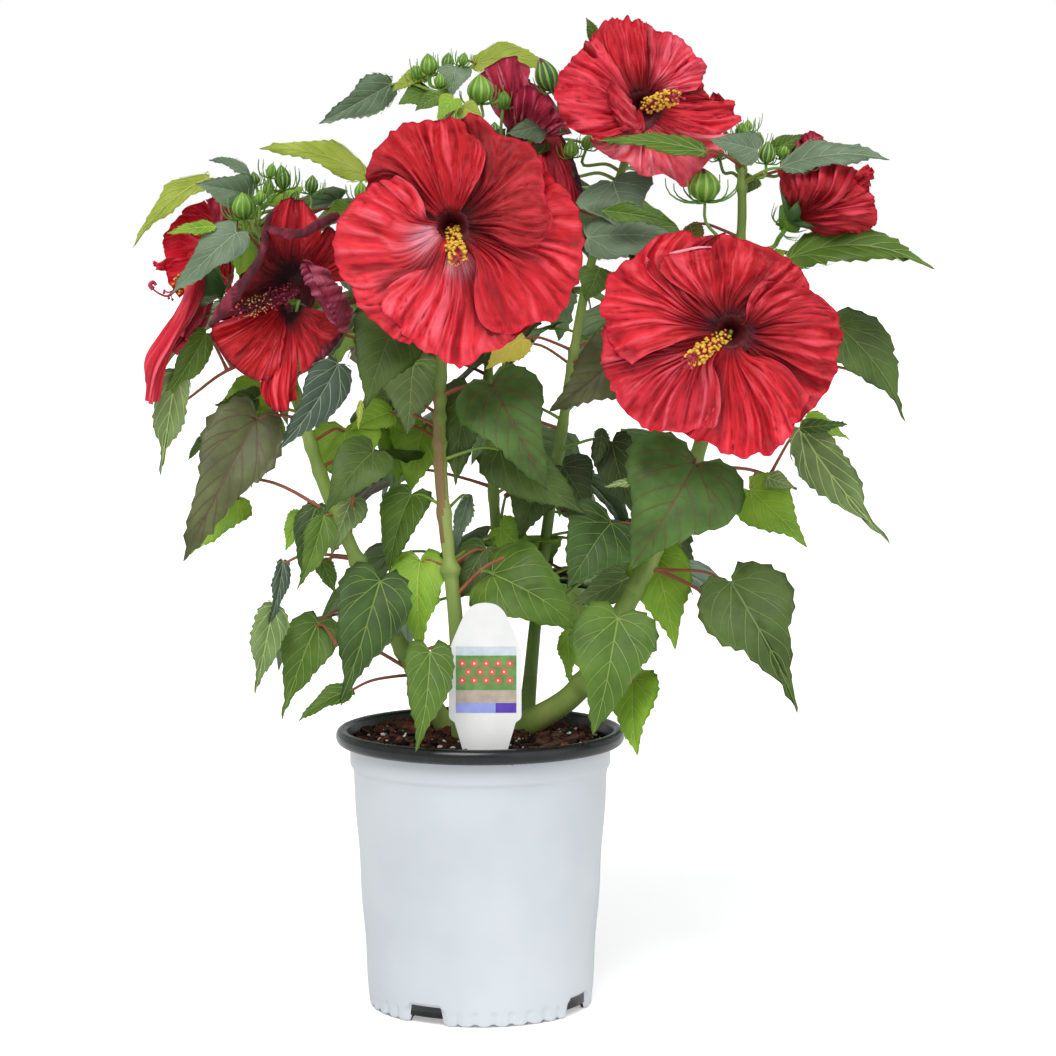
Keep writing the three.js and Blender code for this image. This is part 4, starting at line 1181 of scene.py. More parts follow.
    # right
    put(697, 462, -.06, 634, 573, -.075, 138, "R", roll=-2, fold=.08, bow=.14, kind="lobed", curl=.08, quilt=1.2)
    put(655, 556, -.0, 676, 650, -.02, 66, "b", roll=0, fold=.1, kind="heart", bow=.1)
    put(731, 582, -.04, 797, 714, -.06, 94, "d", roll=4, fold=.12, bow=.16, kind="lobed", curl=.16, where="stem_right", red=True, wave=.12, drip=.75)
    put(618, 618, -.07, 597, 736, -.09, 90, "m", roll=-4, fold=.1, bow=.14, kind="heart", curl=.06)
    put(634, 680, -.05, 641, 755, -.075, 58, "b", roll=14, fold=.12, kind="heart", bow=.12)
    put(568, 632, -.0, 570, 682, -.01, 22, "b", kind="ovate")
    put(636, 574, .02, 567, 608, .01, 44, "s", roll=-14, kind="heart", fold=.1)
    put(750, 490, -.01, 806, 549, -.02, 64, "b", roll=-4, fold=.15, kind="heart", bow=.1, drip=.3)
    put(768, 478, -.015, 794, 490, -.02, 22, "s", roll=-4, fold=.2, kind="ovate")
    put(800, 428, -.01, 884, 549, -.02, 50, "s", roll=10, fold=.24, bow=.14, kind="ovate", wave=.16, curl=.1, drip=.85, side_bend=-.06)
    put(806, 418, .01, 851, 439, .0, 22, "b", kind="ovate", fold=.2, drip=.4, nostalk=True)
    put(800, 428, -.02, 848, 426, -.03, 15, "k", kind="lance", fold=.2, nostalk=True)
    put(838, 326, .02, 909, 420, .01, 74, "d", roll=-14, fold=.16, bow=.12, kind="lobed", wave=.1, drip=.7)
    # top middle
    put(588, 238, -.01, 690, 240, -.03, 56, "g", roll=-14, fold=.16, bow=.10, kind="ovate")
    put(613, 182, -.006, 632, 236, -.022, 84, "g", roll=6, fold=.1, kind="heart", bow=.1, red=True)
    put(602, 211, -.034, 677, 228, -.048, 20, "m", kind="lance", fold=.3, nostalk=True)
    put(600, 268, .03, 588, 302, .02, 40, "m", kind="ovate")
    put(704, 152, -.05, 596, 137, -.066, 27, "m", roll=14, fold=.2, bow=.05, kind="ovate", wave=.06, twist=.1, side_bend=-.05)
    # top left and top
    put(391, 84, .03, 317, 121, .01, 38, "g", roll=-26, fold=.2, bow=.12, kind="ovate")
    put(432, 72, .03, 391, 92, .02, 24, "y", roll=20, fold=.3, kind="lance")
    put(474, 64, .105, 556, 76, .095, 44, "y", roll=-34, fold=.2, bow=.18, kind="ovate")
    put(456, 67, .0, 452, 98, -.01, 36, "g", roll=0, fold=.1, kind="heart")
    put(430, 92, .02, 398, 104, .01, 34, "m", kind="ovate", roll=20)
    put(545, 126, .02, 506, 132, .01, 28, "g", roll=-10, fold=.15, kind="ovate")
    put(597, 44, .03, 587, 17, .02, 14, "m", kind="lance")
    put(454, 99, -.045, 436, 122, -.055, 27, "b", kind="heart", fold=.15)
    put(437, 97, -.04, 416, 112, -.05, 20, "m", kind="ovate", fold=.2)
    put(462, 107, -.04, 482, 121, -.05, 24, "y", kind="ovate", fold=.2)
    # top right
    put(780, 168, -.02, 890, 160, -.04, 38, "g", roll=-30, fold=.25, bow=.12, kind="lance", wave=.08)
    put(812, 168, -.01, 782, 172, -.02, 24, "b", roll=20, kind="ovate")
    put(790, 258, -.01, 935, 273, -.03, 58, "m", roll=-30, fold=.25, bow=.18, kind="ovate", wave=.1)
    put(756, 150, -.05, 708, 136, -.06, 34, "g", roll=-20, fold=.15, kind="heart", bow=.1)
    put(774, 150, .0, 803, 133, .0, 20, "m", roll=20, kind="ovate")
    put(752, 176, .02, 738, 196, .01, 26, "m", kind="ovate")
    put(690, 224, .03, 700, 250, .02, 24, "r", roll=30, kind="lance")
    put(756, 262, .02, 790, 250, .0, 20, "b", kind="ovate")


# ------------------------------------------------------------------ blooms
BLOOM_OBS = {}


def rot_about(v, axis, ang):
    axis = unit(axis)
    return v * math.cos(ang) + np.cross(axis, v) * math.sin(ang) + axis * (axis @ v) * (1 - math.cos(ang))


def lin(hexes):
    return np.array([srgb(h)[:3] for h in hexes])


RICHER = np.array([1.07, 0.66, 0.74])
RED = dict(eye="#35050e", deep="#7c0a16", main="#c4192a", light="#ec5f6c", rim="#d02642", back="#a82236", streak="#6a0811")
DARKRED = dict(eye="#14030a", deep="#4c0a1a", main="#8c1228", light="#b02238", rim="#5a0f24", back="#6a1630", streak="#3c0814")
ROSE = dict(eye="#3a0610", deep="#b02c3e", main="#e05a68", light="#f59aa4", rim="#d83a52", back="#c85064", streak="#98202e")
FADE = dict(eye="#240408", deep="#6a0812", main="#b41220", light="#e04252", rim="#4a0c1c", back="#8a2034", streak="#4c060e")
MAROON = dict(eye="#1c040c", deep="#4c0c20", main="#8a2040", light="#c0607c", rim="#5a1028", back="#96304e", streak="#3a0a18")
BURG = dict(eye="#1c040c", deep="#4c0e22", main="#861a36", light="#c2587a", rim="#50102a", back="#8a2444", streak="#3a0a18")
WINE = dict(eye="#2a0610", deep="#6a1028", main="#a02240", light="#d88098", rim="#62142e", back="#a03a58", streak="#58102a")


def bloom(name, centre, face, R, alpha, colors=RED, seed=1, spin=0.0, ns=80, nt=46, wide=0.92, twirl=5.0, crinkle=1.0, ruffle=1.0,
          petals=5, order=None, mats=None, column=0.062, col_dir=None, col_bend=0.0, painted_sheen=None, stig=1.0, calyx=True, stalk_from=None, anthers=95,
          dark_anther=False, lobes=None, slot="petal", per_petal=None, col_mat=None, up=(0, 0, 1), cell_n=4):
    c = np.asarray(centre, float)
    n = unit(face)
    X = unit(np.cross(np.asarray(up, float), n)) * 1.0
    Y = np.cross(n, X)
    r = np.random.default_rng(seed)
    B = Build()
    pal = {k: np.array(srgb(v)[:3]) for k, v in colors.items()}
    plan = []
    for pi in range(petals):
        pp = dict(R=1.0, alpha=alpha, turn=0.0, wide=wide, twirl=twirl, colors=colors, straight=0.0)
        if per_petal and pi in per_petal:
            pp.update(per_petal[pi])
        plan.append((pp, spin + pi * 2 * math.pi / petals + r.normal(0, 0.03) + pp["turn"]))
    for pi in range(petals):
        if lobes is not None and pi not in lobes:
            continue
        pp, ang0 = plan[pi]
        pal = {k: np.array(srgb(v)[:3]) for k, v in pp["colors"].items()}
        s = np.linspace(-1, 1, ns)[None, :]
        t = (np.linspace(0.0, 1, nt) ** 0.92)[:, None]
        S, T = np.broadcast_to(s, (nt, ns)), np.broadcast_to(t, (nt, ns))
        Rp = R * pp["R"] * (1 + 0.03 * r.normal())
        # edge outline
        edge = 1 - 0.21 * np.abs(S) ** 2.9 - 0.025 * (1 + np.cos(S * 7 + r.random() * 6)) * 0.5 + 0.02 * (noise(S * 5 + 20, 0 * S, seed + pi) - 0.5) * 2
        edge = edge + 0.05 * (noise(S * 6 + 3, 0 * S, seed + pi + 40) - 0.6) + 0.02 * (noise(S * 17 + 3, 0 * S, seed + pi + 41) - 0.5)
        # profile by arc length
        ts = np.linspace(0, 1, 200)
        al = np.radians(np.interp(ts, *zip(*pp["alpha"])))
        rr = np.r_[0, np.cumsum(np.cos(al[:-1]) / 199)]
        hh = np.r_[0, np.cumsum(np.sin(al[:-1]) / 199)]
        TT = np.clip(T * edge, 0, 1)
        rad = np.interp(TT, ts, rr) * Rp
        hgt = np.interp(TT, ts, hh) * Rp
        nr = -np.interp(TT, ts, np.sin(al))
        nh = np.interp(TT, ts, np.cos(al))
        w = Rp * pp["wide"] * TT * (0.42 + 0.58 * smooth(0.02, 0.42, TT))
        th_half = np.clip(w / np.maximum(np.abs(rad), Rp * 0.012), 0, 1.35)
        ang = ang0 + S * th_half
        # relief: folds fanning out, puckers near the edge, ruffled rim
        aa = S * 5.0
        warp = 0.8 * (noise(aa * 1.3 + 7, T * 3.0, seed + pi * 3 + 1) - 0.5)
        f1 = noise(aa * 1.15 + warp * 1.6 + 31, T * 1.5 + 5, seed + pi * 3 + 2)
        f2 = noise(aa * 2.7 + warp * 3, T * 3.2, seed + pi * 3 + 3)
        f3 = noise(aa * 4.6 + warp * 4 + 3, T * 4.5, seed + pi * 3 + 4)
        iso = noise(rad * np.cos(ang) / 0.012 + 50, rad * np.sin(ang) / 0.012 + 50, seed + pi)
        iso2 = noise(rad * np.cos(ang) / 0.0062 + 80, rad * np.sin(ang) / 0.0062 + 50, seed + pi + 9)
        rid1, rid2 = 1 - np.abs(2 * f1 - 1), 1 - np.abs(2 * f2 - 1)
        rid3 = 1 - np.abs(2 * f3 - 1)
        amp = smooth(0.06, 0.5, T)
        bil2, bil3 = np.abs(2 * f2 - 1) ** 0.8, np.abs(2 * f3 - 1) ** 0.8  # round folds with sharp creases between
        rel = (0.0058 * (rid1 - 0.5) + 0.0046 * (bil2 - 0.5) + 0.0019 * (bil3 - 0.5)) * amp
        rel = rel + (0.0034 * (iso - 0.5) + 0.0026 * (1 - np.abs(2 * iso2 - 1) - 0.5)) * smooth(0.45, 0.97, T)
        fold_n = np.clip(0.42 * rid1 + 0.38 * bil2 + 0.2 * bil3, 0, 1)
        sg = 1.0 if pp["twirl"] > 0 else -1.0
        under_lap = 1 - 0.55 * smooth(0.24, 0.5, -S * sg)
        rel = rel * crinkle * (R / 0.09) * under_lap
        ruf = ruffle * (R / 0.09) * smooth(0.55, 1.0, T) ** 1.6 * (0.0058 * np.sin(S * 5.2 + r.random() * 6.28) + 0.0032 * np.sin(S * 11.5 + r.random() * 6.28) + 0.006 * (noise(S * 3.2 + 11, T * 1.5, seed + pi * 7) - 0.5))
        ruf = ruf * under_lap
        tw = pp["twirl"] / 1000.0 * (S * 0.8 + 0.2 * S ** 3) * smooth(0.08, 0.6, T)
        off = rel + ruf + tw
        rad2, hgt2 = rad + nr * off, hgt + nh * off
        pos = c + rad2[..., None] * (np.cos(ang)[..., None] * X + np.sin(ang)[..., None] * Y) + hgt2[..., None] * n
        # colour by place on the petal: the eye and streaks are its own colour; lighter fold ridges are painted
        # highlights, darker fold valleys and creases painted shade
        cm = np.broadcast_to(pal["main"], (nt, ns, 3)).copy()

        def blend(to, k):
            nonlocal cm
            cm = cm * (1 - k[..., None]) + pal[to] * k[..., None]
        blend("light", 0.7 * smooth(0.52, 0.86, fold_n) * smooth(0.2, 0.6, T))
        blend("deep", 0.55 * smooth(0.44, 0.16, fold_n) * smooth(0.2, 0.5, T))
        blend("deep", 0.55 * (1 - bil2) ** 5 * smooth(0.22, 0.5, T))
        blend("deep", 0.4 * (1 - bil3) ** 5 * smooth(0.3, 0.6, T))
        blend("deep", 0.55 * (1 - smooth(0.16, 0.42, T + 0.12 * (f1 - 0.5))))
        # painted shadow: a dark band beside the edge of the neighbouring petal that lies over this one
        qq, qa = plan[(pi - 1) % petals if sg > 0 else (pi + 1) % petals]
        s_max = np.clip(np.clip((1 - T) / 0.21, 0, None) ** (1 / 2.9), 0, 1)
        th_q = np.clip(qq["wide"] * T * (0.42 + 0.58 * smooth(0.02, 0.42, T)) / np.maximum(np.interp(T, ts, rr), 0.012), 0, 1.35)
        dist = ang_diff(ang, qa + sg * s_max * th_q) * sg * np.abs(rad)
        shade_k = np.exp(-(np.clip(dist, 0, None) / (0.0062 * R / 0.1)) ** 1.3) * smooth(0.16, 0.3, T)
        blend("deep", 0.78 * shade_k)
        # painted highlight along this petal's own overlying edge
        blend("light", 0.5 * np.exp(-((1 - S * sg) / 0.045) ** 2) * smooth(0.28, 0.5, T))
        st = smooth(0.55, 0.85, 1 - np.abs(2 * noise(aa * 3.4 + 9, T * 1.2, seed + pi + 60) - 1))
        blend("streak", 0.6 * st * (1 - smooth(0.22, 0.6, T)) * smooth(0.05, 0.15, T))
        blend("eye", 1 - smooth(0.15, 0.29 + 0.08 * f1, T))
        blend("rim", 0.6 * smooth(0.9, 1.0, T))
        # painted sheen: pale pink patches round the eye
        for hd, hw, hs, ho in (painted_sheen or ()):
            k = hs * np.exp(-((ang_diff(ang, hd)) / hw) ** 2) * smooth(0.13, 0.2, T + 0.04 * (f2 - 0.5)) * (1 - smooth(0.22, ho, T + 0.10 * (f2 - 0.5))) * (0.45 + 0.9 * rid3)
            k = np.clip(k, 0, 0.92)
            cm = cm * (1 - k[..., None]) + np.array(srgb("#eed0dc")[:3]) * k[..., None]
        cm = np.clip(cm * RICHER, 0, 1)
        back = cm * 0.45 + pal["back"] * 0.55
        thick = 0.0004
        pos_b = pos - thick * (nr[..., None] * (np.cos(ang)[..., None] * X + np.sin(ang)[..., None] * Y) + nh[..., None] * n)
        v = np.concatenate([pos.reshape(-1, 3), pos_b.reshape(-1, 3)])
        o = nt * ns
        q = grid_quads(nt, ns)
        b = np.concatenate([np.arange(ns), (np.arange(1, nt)) * ns + ns - 1, (nt - 1) * ns + np.arange(ns - 2, -1, -1), np.arange(nt - 2, 0, -1) * ns])
        b2 = np.roll(b, -1)
        rim = np.stack([b, b + o, b2 + o, b2], -1)
        cell = pi
        gx, gy = cell % 3, cell // 3
        uv = np.stack([(S + 1) / 2, T], -1).reshape(-1, 2)
        uvt = (np.array([gx, gy * 2]) + 0.02 + 0.96 * uv) / [3, 4]
        uvb = (np.array([gx, gy * 2 + 1]) + 0.02 + 0.96 * uv) / [3, 4]
        uva = np.vstack([uvt, uvb])
        qf = q[:, [0, 3, 2, 1]]
        quads = np.vstack([qf, q + o, rim])
        quv = np.concatenate([uva[qf], uva[q + o], uva[np.where(rim >= o, rim - o, rim)]])
        place = np.stack([S * (1 + 0 * T) * 0.5 + pi * 3.1, T], -1).reshape(-1, 2)
        B.add(v, quads, mat=0, col=np.concatenate([cm.reshape(-1, 3), back.reshape(-1, 3)]), uv=uva, quv=quv, uv2=np.vstack([place, place]))
        mark(pos.reshape(-1, 3))
    mat = mats or PETAL
    ob = B.make(name + "_petals", [mat], uv=True, col=True, uv2=True)
    piece(ob, slot, name)
    # column with its anthers and stigmas
    C = Build()
    depth = 0.0
    if column:
        cd = unit(n if col_dir is None else col_dir)
        start = c + n * 0.002
        bend = np.asarray(col_bend, float) if not np.isscalar(col_bend) else np.array([0, 0, col_bend])
        cc = spline([start, start + cd * column * 0.5 + bend * 0.35, start + cd * column + bend], 26)
        tt = np.linspace(0, 1, 26)
        tube(C, cc, 0.0030 - 0.0014 * tt + 0.0014 * np.exp(-tt * 10), 12, 0)
        tg, nn, bb = frames(cc)
        v, f = ICO1
        for k in range(anthers):
            u = 0.30 + 0.66 * (k + 0.5) / anthers
            i = int(u * 25)
            w = k * 2.399 + r.normal(0, 0.25)
            o = nn[i] * math.cos(w) + bb[i] * math.sin(w)
            ln = 0.0034 + 0.0026 * r.random()
            a = cc[i] + o * 0.0016
            e = a + unit(o + 0.35 * tg[i]) * ln
            tube(C, np.array([a, (a + e) / 2 + tg[i] * 0.0004, e]), 0.00028, 4, 0, cap=False)
            C.add(v * [0.0014, 0.0014, 0.0012] * r.uniform(0.8, 1.25) + e, tris=f, mat=1)
        for k in range(5):
            w = k * 2 * math.pi / 5 + 0.4
            o = nn[-1] * math.cos(w) + bb[-1] * math.sin(w)
            e = cc[-1] + tg[-1] * 0.007 + o * 0.0055
            tube(C, spline([cc[-1], cc[-1] + tg[-1] * 0.005 + o * 0.0015, e], 6), 0.0005, 6, 0)
            C.add(v * 0.0016 + e, tris=f, mat=2)
    if calyx:
        green_cup(C, c - n * 0.001, -n, R, r, 3)
    if C.n:
        cm = [COLUMN_D if dark_anther else COLUMN, ANTHER_D if dark_anther else ANTHER, COLUMN_D if dark_anther else COLUMN, BUD_A, BUD_B]
        ob2 = C.make(name + "_column", cm)
        piece(ob2, slot)
    return c, n


def scroll(name, pts, radii, colors, seed, turns=1.6, rings=26):
    """A petal edge rolled up on itself like paper, along a line."""
    NL = 90
    c = spline(pts, NL)
    rad = np.interp(np.linspace(0, 1, NL), np.linspace(0, 1, len(radii)), radii)
    _, n, b = frames(c)
    K = 20
    w = np.linspace(0, turns * 2 * math.pi, K)
    t = np.linspace(0, 1, NL)[:, None]
    ww = np.broadcast_to(w, (NL, K))
    tt = np.broadcast_to(t, (NL, K))
    rid = np.abs(2 * noise(tt * rings + ww * 0.9, ww * 0.35 + 3, seed) - 1)
    big = noise(tt * 9 + ww * 0.5, ww * 0.2, seed + 1)
    r = rad[:, None] * (0.5 + 0.5 * ww / w[-1]) * (1 + 0.40 * (rid - 0.5) + 0.42 * (big - 0.5))
    ph = 1.0 + 1.2 * t
    pos = c[:, None] + r[..., None] * (np.cos(ww + ph)[..., None] * n[:, None] + np.sin(ww + ph)[..., None] * b[:, None])
    pal = {k: np.array(srgb(v)[:3]) for k, v in colors.items()}
    # painted highlights on the ridges of the roll and painted shade in its grooves
    k1 = (0.8 * smooth(0.35, 0.9, rid))[..., None]
    k2 = (0.7 * (1 - smooth(0.0, 0.35, rid)))[..., None]
    cm = pal["main"] * (1 - k1) + pal["light"] * k1
    cm = cm * (1 - k2) + pal["deep"] * k2
    nr = unit(pos - c[:, None])
    inner = pos - nr * 0.0004
    o = NL * K
    q = grid_quads(NL, K)
    bb = np.concatenate([np.arange(K), np.arange(1, NL) * K + K - 1, (NL - 1) * K + np.arange(K - 2, -1, -1), np.arange(NL - 2, 0, -1) * K])
    b2 = np.roll(bb, -1)
    rim = np.stack([bb, bb + o, b2 + o, b2], -1)
    B = Build()
    uv = np.stack([ww / w[-1], tt], -1).reshape(-1, 2)
    uva = np.vstack([uv * [0.48, 0.98] + [0.01, 0.01], uv * [0.48, 0.98] + [0.51, 0.01]])
    qf = q[:, [0, 3, 2, 1]]
    quads = np.vstack([qf, q + o, rim])
    quv = np.concatenate([uva[qf], uva[q + o], uva[np.where(rim >= o, rim - o, rim)]])
    place = np.stack([ww * 0.1, tt], -1).reshape(-1, 2)
    # the inner face takes the colour darkened to 0.7: painted shade inside the roll
    B.add(np.concatenate([pos.reshape(-1, 3), inner.reshape(-1, 3)]), quads, mat=0, col=np.vstack([cm.reshape(-1, 3), cm.reshape(-1, 3) * 0.7]), uv=uva, quv=quv, uv2=np.vstack([place, place]))
    mark(pos.reshape(-1, 3))
    piece(B.make(name, [PETAL_DARK], uv=True, col=True, uv2=True), "petal_dark")


def green_cup(C, at, back, R, r, mat=3, size=1.0, lobes=5, fil=10, spread=1.0):
    """Calyx and the ring of narrow bracts behind a bloom; back points away from the petals."""
    back = unit(back)
    X = unit(np.cross(back, [0.3, 0.2, 1.0]))
    Y = np.cross(back, X)
    N, M = 50, 12
    th = np.arange(N) * 2 * math.pi / N
    rows = []
    for i in range(M):
        t = i / (M - 1.0)
        rad = 0.012 * size * (0.25 + 0.75 * math.sin(min(t * 1.25, 1) * math.pi / 2)) + 0.004 * size * t * t
        tipr = np.abs(np.cos(2.5 * th))
        hgt = -0.013 * size * (1 - t) - 0.0 + (t ** 3) * 0.010 * size * (tipr - 0.3)
        rr = rad * (1 + 0.03 * np.cos(10 * th))
        rows.append(at + rr[:, None] * (np.cos(th)[:, None] * X + np.sin(th)[:, None] * Y) - np.asarray(hgt)[..., None] * back * 1.0)
    v = np.concatenate(rows)
    C.add(v, grid_quads(M, N, True), mat=mat)
    base = at + back * 0.013 * size
    for k in range(fil):
        w = k * 2 * math.pi / fil + r.normal(0, 0.1)
        o = math.cos(w) * X + math.sin(w) * Y
        L = (0.020 + 0.006 * r.random()) * size
        p = spline([base + o * 0.002, base + o * L * 0.55 * spread + back * 0.001, base + o * L * 0.95 * spread - back * L * 0.35], 7)
        tube(C, p, np.linspace(0.0008, 0.0002, 7) * size, 5, mat)


FLAT = [(0, 78), (0.10, 66), (0.17, 34), (0.28, 12), (0.5, 2), (0.75, -6), (1.0, -18)]


ROLL = [(0, 76), (0.12, 62), (0.25, 38), (0.45, 22), (0.70, 14), (0.79, 95), (0.87, 190), (0.95, 290), (1.0, 340)]


def catmull(G, n):
    """Catmull-Rom across the second axis of a grid of points, evenly in index."""
    K = G.shape[1]
    E = np.concatenate([2 * G[:, :1] - G[:, 1:2], G, 2 * G[:, -1:] - G[:, -2:-1]], 1)
    x = np.linspace(0, K - 1, n)
    i = np.clip(np.floor(x).astype(int), 0, K - 2)
    t = (x - i)[None, :, None]
    a, b, c, d = E[:, i], E[:, i + 1], E[:, i + 2], E[:, i + 3]
    return 0.5 * (2 * b + (c - a) * t + (2 * a - 5 * b + 4 * c - d) * t ** 2 + (3 * b - a - 3 * c + d) * t ** 3)


def sheet(B, cell, lines, colors, seed, ns=54, nt=36, relief=1.0, freq=1.0, eye=0.22, dark=(), ruffle=1.0, face=(0, -1, 0), funnel=None, over=0.0, lap=None, painted_sheen=(),
          nibble=0.0, spread=None):
    """One petal laid through lines that run from its base to its rim; dark = places (s, t, size, strength) given
    painted shade.
    funnel = (throat u, throat v, depth of the throat, rise, lean in x, lean in z); over = the side that lies on the
    next petal, with a painted highlight along that edge;
    lap = the edge of the petal that lies on this one, beside which a shadow is painted."""
    s = np.linspace(-1, 1, ns)[None, :]
    t = np.linspace(0, 1, nt)[:, None]
    rows = []
    if funnel:
        tu, tv, ty, rise, lx, lz = funnel

        def laid(line):
            q = np.array([[a, b, 0.0] for a, b in line])
            o = np.array([tu, tv, 0.0])
            first = o + unit(q[0] - o) * 3.0
            q[-1] = q[-1] + unit(q[-1] - q[-2]) * 2.6
            c = spline([first] + list(q), nt)
            k = np.r_[0, np.cumsum(np.linalg.norm(np.diff(c, axis=0), axis=1))]
            k = k / 0.5e2
            y = ty - rise * smooth(0, 0.34, k) - 0.15 * rise * smooth(0.3, 1.2, k) + 0.006 * smooth(1.2, 2.2, k)
            y = y + lx * (c[:, 0] - tu) * 0.00076 - lz * (c[:, 1] - tv) * 0.00076
            return np.array([P(a, b, d) for (a, b, _), d in zip(c, y)])
        e0, e1 = (spread if spread is not None else ((14, 0) if over > 0 else (0, 14)))

        def turned(line, deg):
            k = math.radians(deg)
            return [(tu + (a - tu) * math.cos(k) - (b - tv) * math.sin(k), tv + (a - tu) * math.sin(k) + (b - tv) * math.cos(k)) for a, b in line]
        ends = [np.array(lines[0][-2]) - [tu, tv], np.array(lines[1][-2]) - [tu, tv], np.array(lines[-1][-2]) - [tu, tv]]
        way = math.copysign(1, ends[0][0] * ends[1][1] - ends[0][1] * ends[1][0])  # +1: the lines run the way the angle grows
        full = list(lines)
        if e0:
            full = [turned(lines[0], -way * e0)] + full
        if e1:
            full = full + [turned(lines[-1], way * e1)]
        for line in full:
            rows.append(laid(line))
        lap3 = laid(lap) if lap is not None else None
    else:
        lap3 = None
        for line in lines:
            pts, y = [], 0.0
            for q in line:
                y = q[2] if len(q) > 2 else y
                pts.append(P(q[0], q[1], y))
            rows.append(spline(pts, nt))
    pos = catmull(np.stack(rows, 1), ns)
    if nibble:
        e = nibble * (0.030 * noise(s * 7 + 3, 0 * s, seed + 40) + 0.022 * noise(s * 19 + 3, 0 * s, seed + 41))
        x = t * (1 - e) * (nt - 1)
        i = np.clip(np.floor(x).astype(int), 0, nt - 2)
        j = np.broadcast_to(np.arange(ns)[None, :], i.shape)
        k = (x - i)[..., None]
        pos = pos[i, j] * (1 - k) + pos[i + 1, j] * k
    S, T = np.broadcast_to(s, (nt, ns)), np.broadcast_to(t, (nt, ns))
    nv = unit(np.cross(np.gradient(pos, axis=1), np.gradient(pos, axis=0)))
    if (nv @ unit(face)).mean() < 0:
        nv = -nv
        turned = True
    else:
        turned = False
    width = np.linalg.norm(np.diff(pos[-1], axis=0), axis=1).sum()
    aa = S * 5.0 * freq * min(1.4, max(0.4, width / 0.10))
    warp = 0.8 * (noise(aa * 1.3 + 7, T * 3.0, seed + 1) - 0.5)
    f1 = noise(aa * 1.3 + warp * 1.6 + 31, T * 1.3 + 5, seed + 2)
    f2 = noise(aa * 2.8 + warp * 3, T * 2.6, seed + 3)
    f3 = noise(aa * 5.2 + warp * 4 + 3, T * 4.0, seed + 4)
    rid1, bil2, bil3 = 1 - np.abs(2 * f1 - 1), np.abs(2 * f2 - 1) ** 0.8, np.abs(2 * f3 - 1) ** 0.8
    amp = smooth(0.05, 0.35, T)
    off = relief * (0.0040 * (rid1 - 0.5) + 0.0029 * (bil2 - 0.5) + 0.0009 * (bil3 - 0.5)) * amp
    off = off + over * 0.0046 * S * smooth(0.12, 0.5, T)
    if funnel:
        iso = noise(pos[..., 0] / 0.012 + 50, pos[..., 2] / 0.012 + 50, seed)
        iso2 = noise(pos[..., 0] / 0.0062 + 80, pos[..., 2] / 0.0062 + 50, seed + 9)
        off = off + relief * (0.0030 * (iso - 0.5) + 0.0022 * (1 - np.abs(2 * iso2 - 1) - 0.5)) * smooth(0.5, 0.97, T)
    off = off + ruffle * 0.0022 * smooth(0.7, 1, T) * np.sin(S * 9 * freq + seed) + ruffle * 0.0016 * smooth(0.8, 1, T) * (noise(S * 9, T * 3, seed + 9) - 0.5) * 2
    pos = pos + nv * off[..., None]
    fold_n = np.clip(0.42 * rid1 + 0.38 * bil2 + 0.2 * bil3, 0, 1)
    pal = {k: np.array(srgb(v)[:3]) for k, v in colors.items()}
    cm = np.broadcast_to(pal["main"], (nt, ns, 3)).copy()

    def blend(to, k):
        nonlocal cm
        cm = cm * (1 - k[..., None]) + pal[to] * k[..., None]
    # painted highlights on the fold ridges, painted shade in the fold valleys and creases
    blend("light", 0.85 * smooth(0.5, 0.82, fold_n) * smooth(0.18, 0.55, T))
    blend("deep", 0.6 * smooth(0.46, 0.16, fold_n) * smooth(0.15, 0.5, T))
    blend("deep", 0.45 * (1 - bil2) ** 5 * smooth(0.1, 0.4, T))
    blend("deep", 0.22 * (1 - bil3) ** 5 * smooth(0.2, 0.5, T))
    st = smooth(0.55, 0.85, 1 - np.abs(2 * noise(aa * 3.4 + 9, T * 1.2, seed + 60) - 1))
    blend("streak", 0.42 * st * (1 - smooth(0.25, 0.65, T)))
    if eye:
        blend("deep", 0.6 * (1 - smooth(eye, eye * 2.2, T + 0.1 * (f1 - 0.5))))
        blend("eye", 1 - smooth(eye * 0.45, eye * 1.1 + 0.08 * f1, T))
    blend("rim", 0.7 * smooth(0.94, 1.0, T))
    # painted highlight along the edge that lies on the next petal
    if over:
        blend("light", 0.45 * np.exp(-((1 - S * over) / 0.04) ** 2) * smooth(0.3, 0.55, T))
    # painted shadow beside the edge of the petal that lies on this one
    if lap3 is not None:
        dd = np.full((nt, ns), 1.0)
        for a, b in zip(lap3[:-1], lap3[1:]):
            a2, ab = a[[0, 2]], (b - a)[[0, 2]]
            w = pos[..., [0, 2]] - a2
            h = np.clip((w @ ab) / max(ab @ ab, 1e-12), 0, 1)
            dd = np.minimum(dd, np.linalg.norm(w - h[..., None] * ab, axis=-1))
        blend("deep", 0.85 * np.exp(-(dd / 0.0050) ** 1.3) * smooth(0.12, 0.25, T))
    # painted sheen: pale pink patches near the eye
    for hs, ht, hds, hdt, hk in painted_sheen:
        k = hk * np.exp(-((S - hs) / hds) ** 2 - ((T - ht) / hdt) ** 2) * (0.5 + 0.7 * st)
        k = np.clip(k, 0, 0.92)
        cm = cm * (1 - k[..., None]) + np.array(srgb("#e8ccd8")[:3]) * k[..., None]
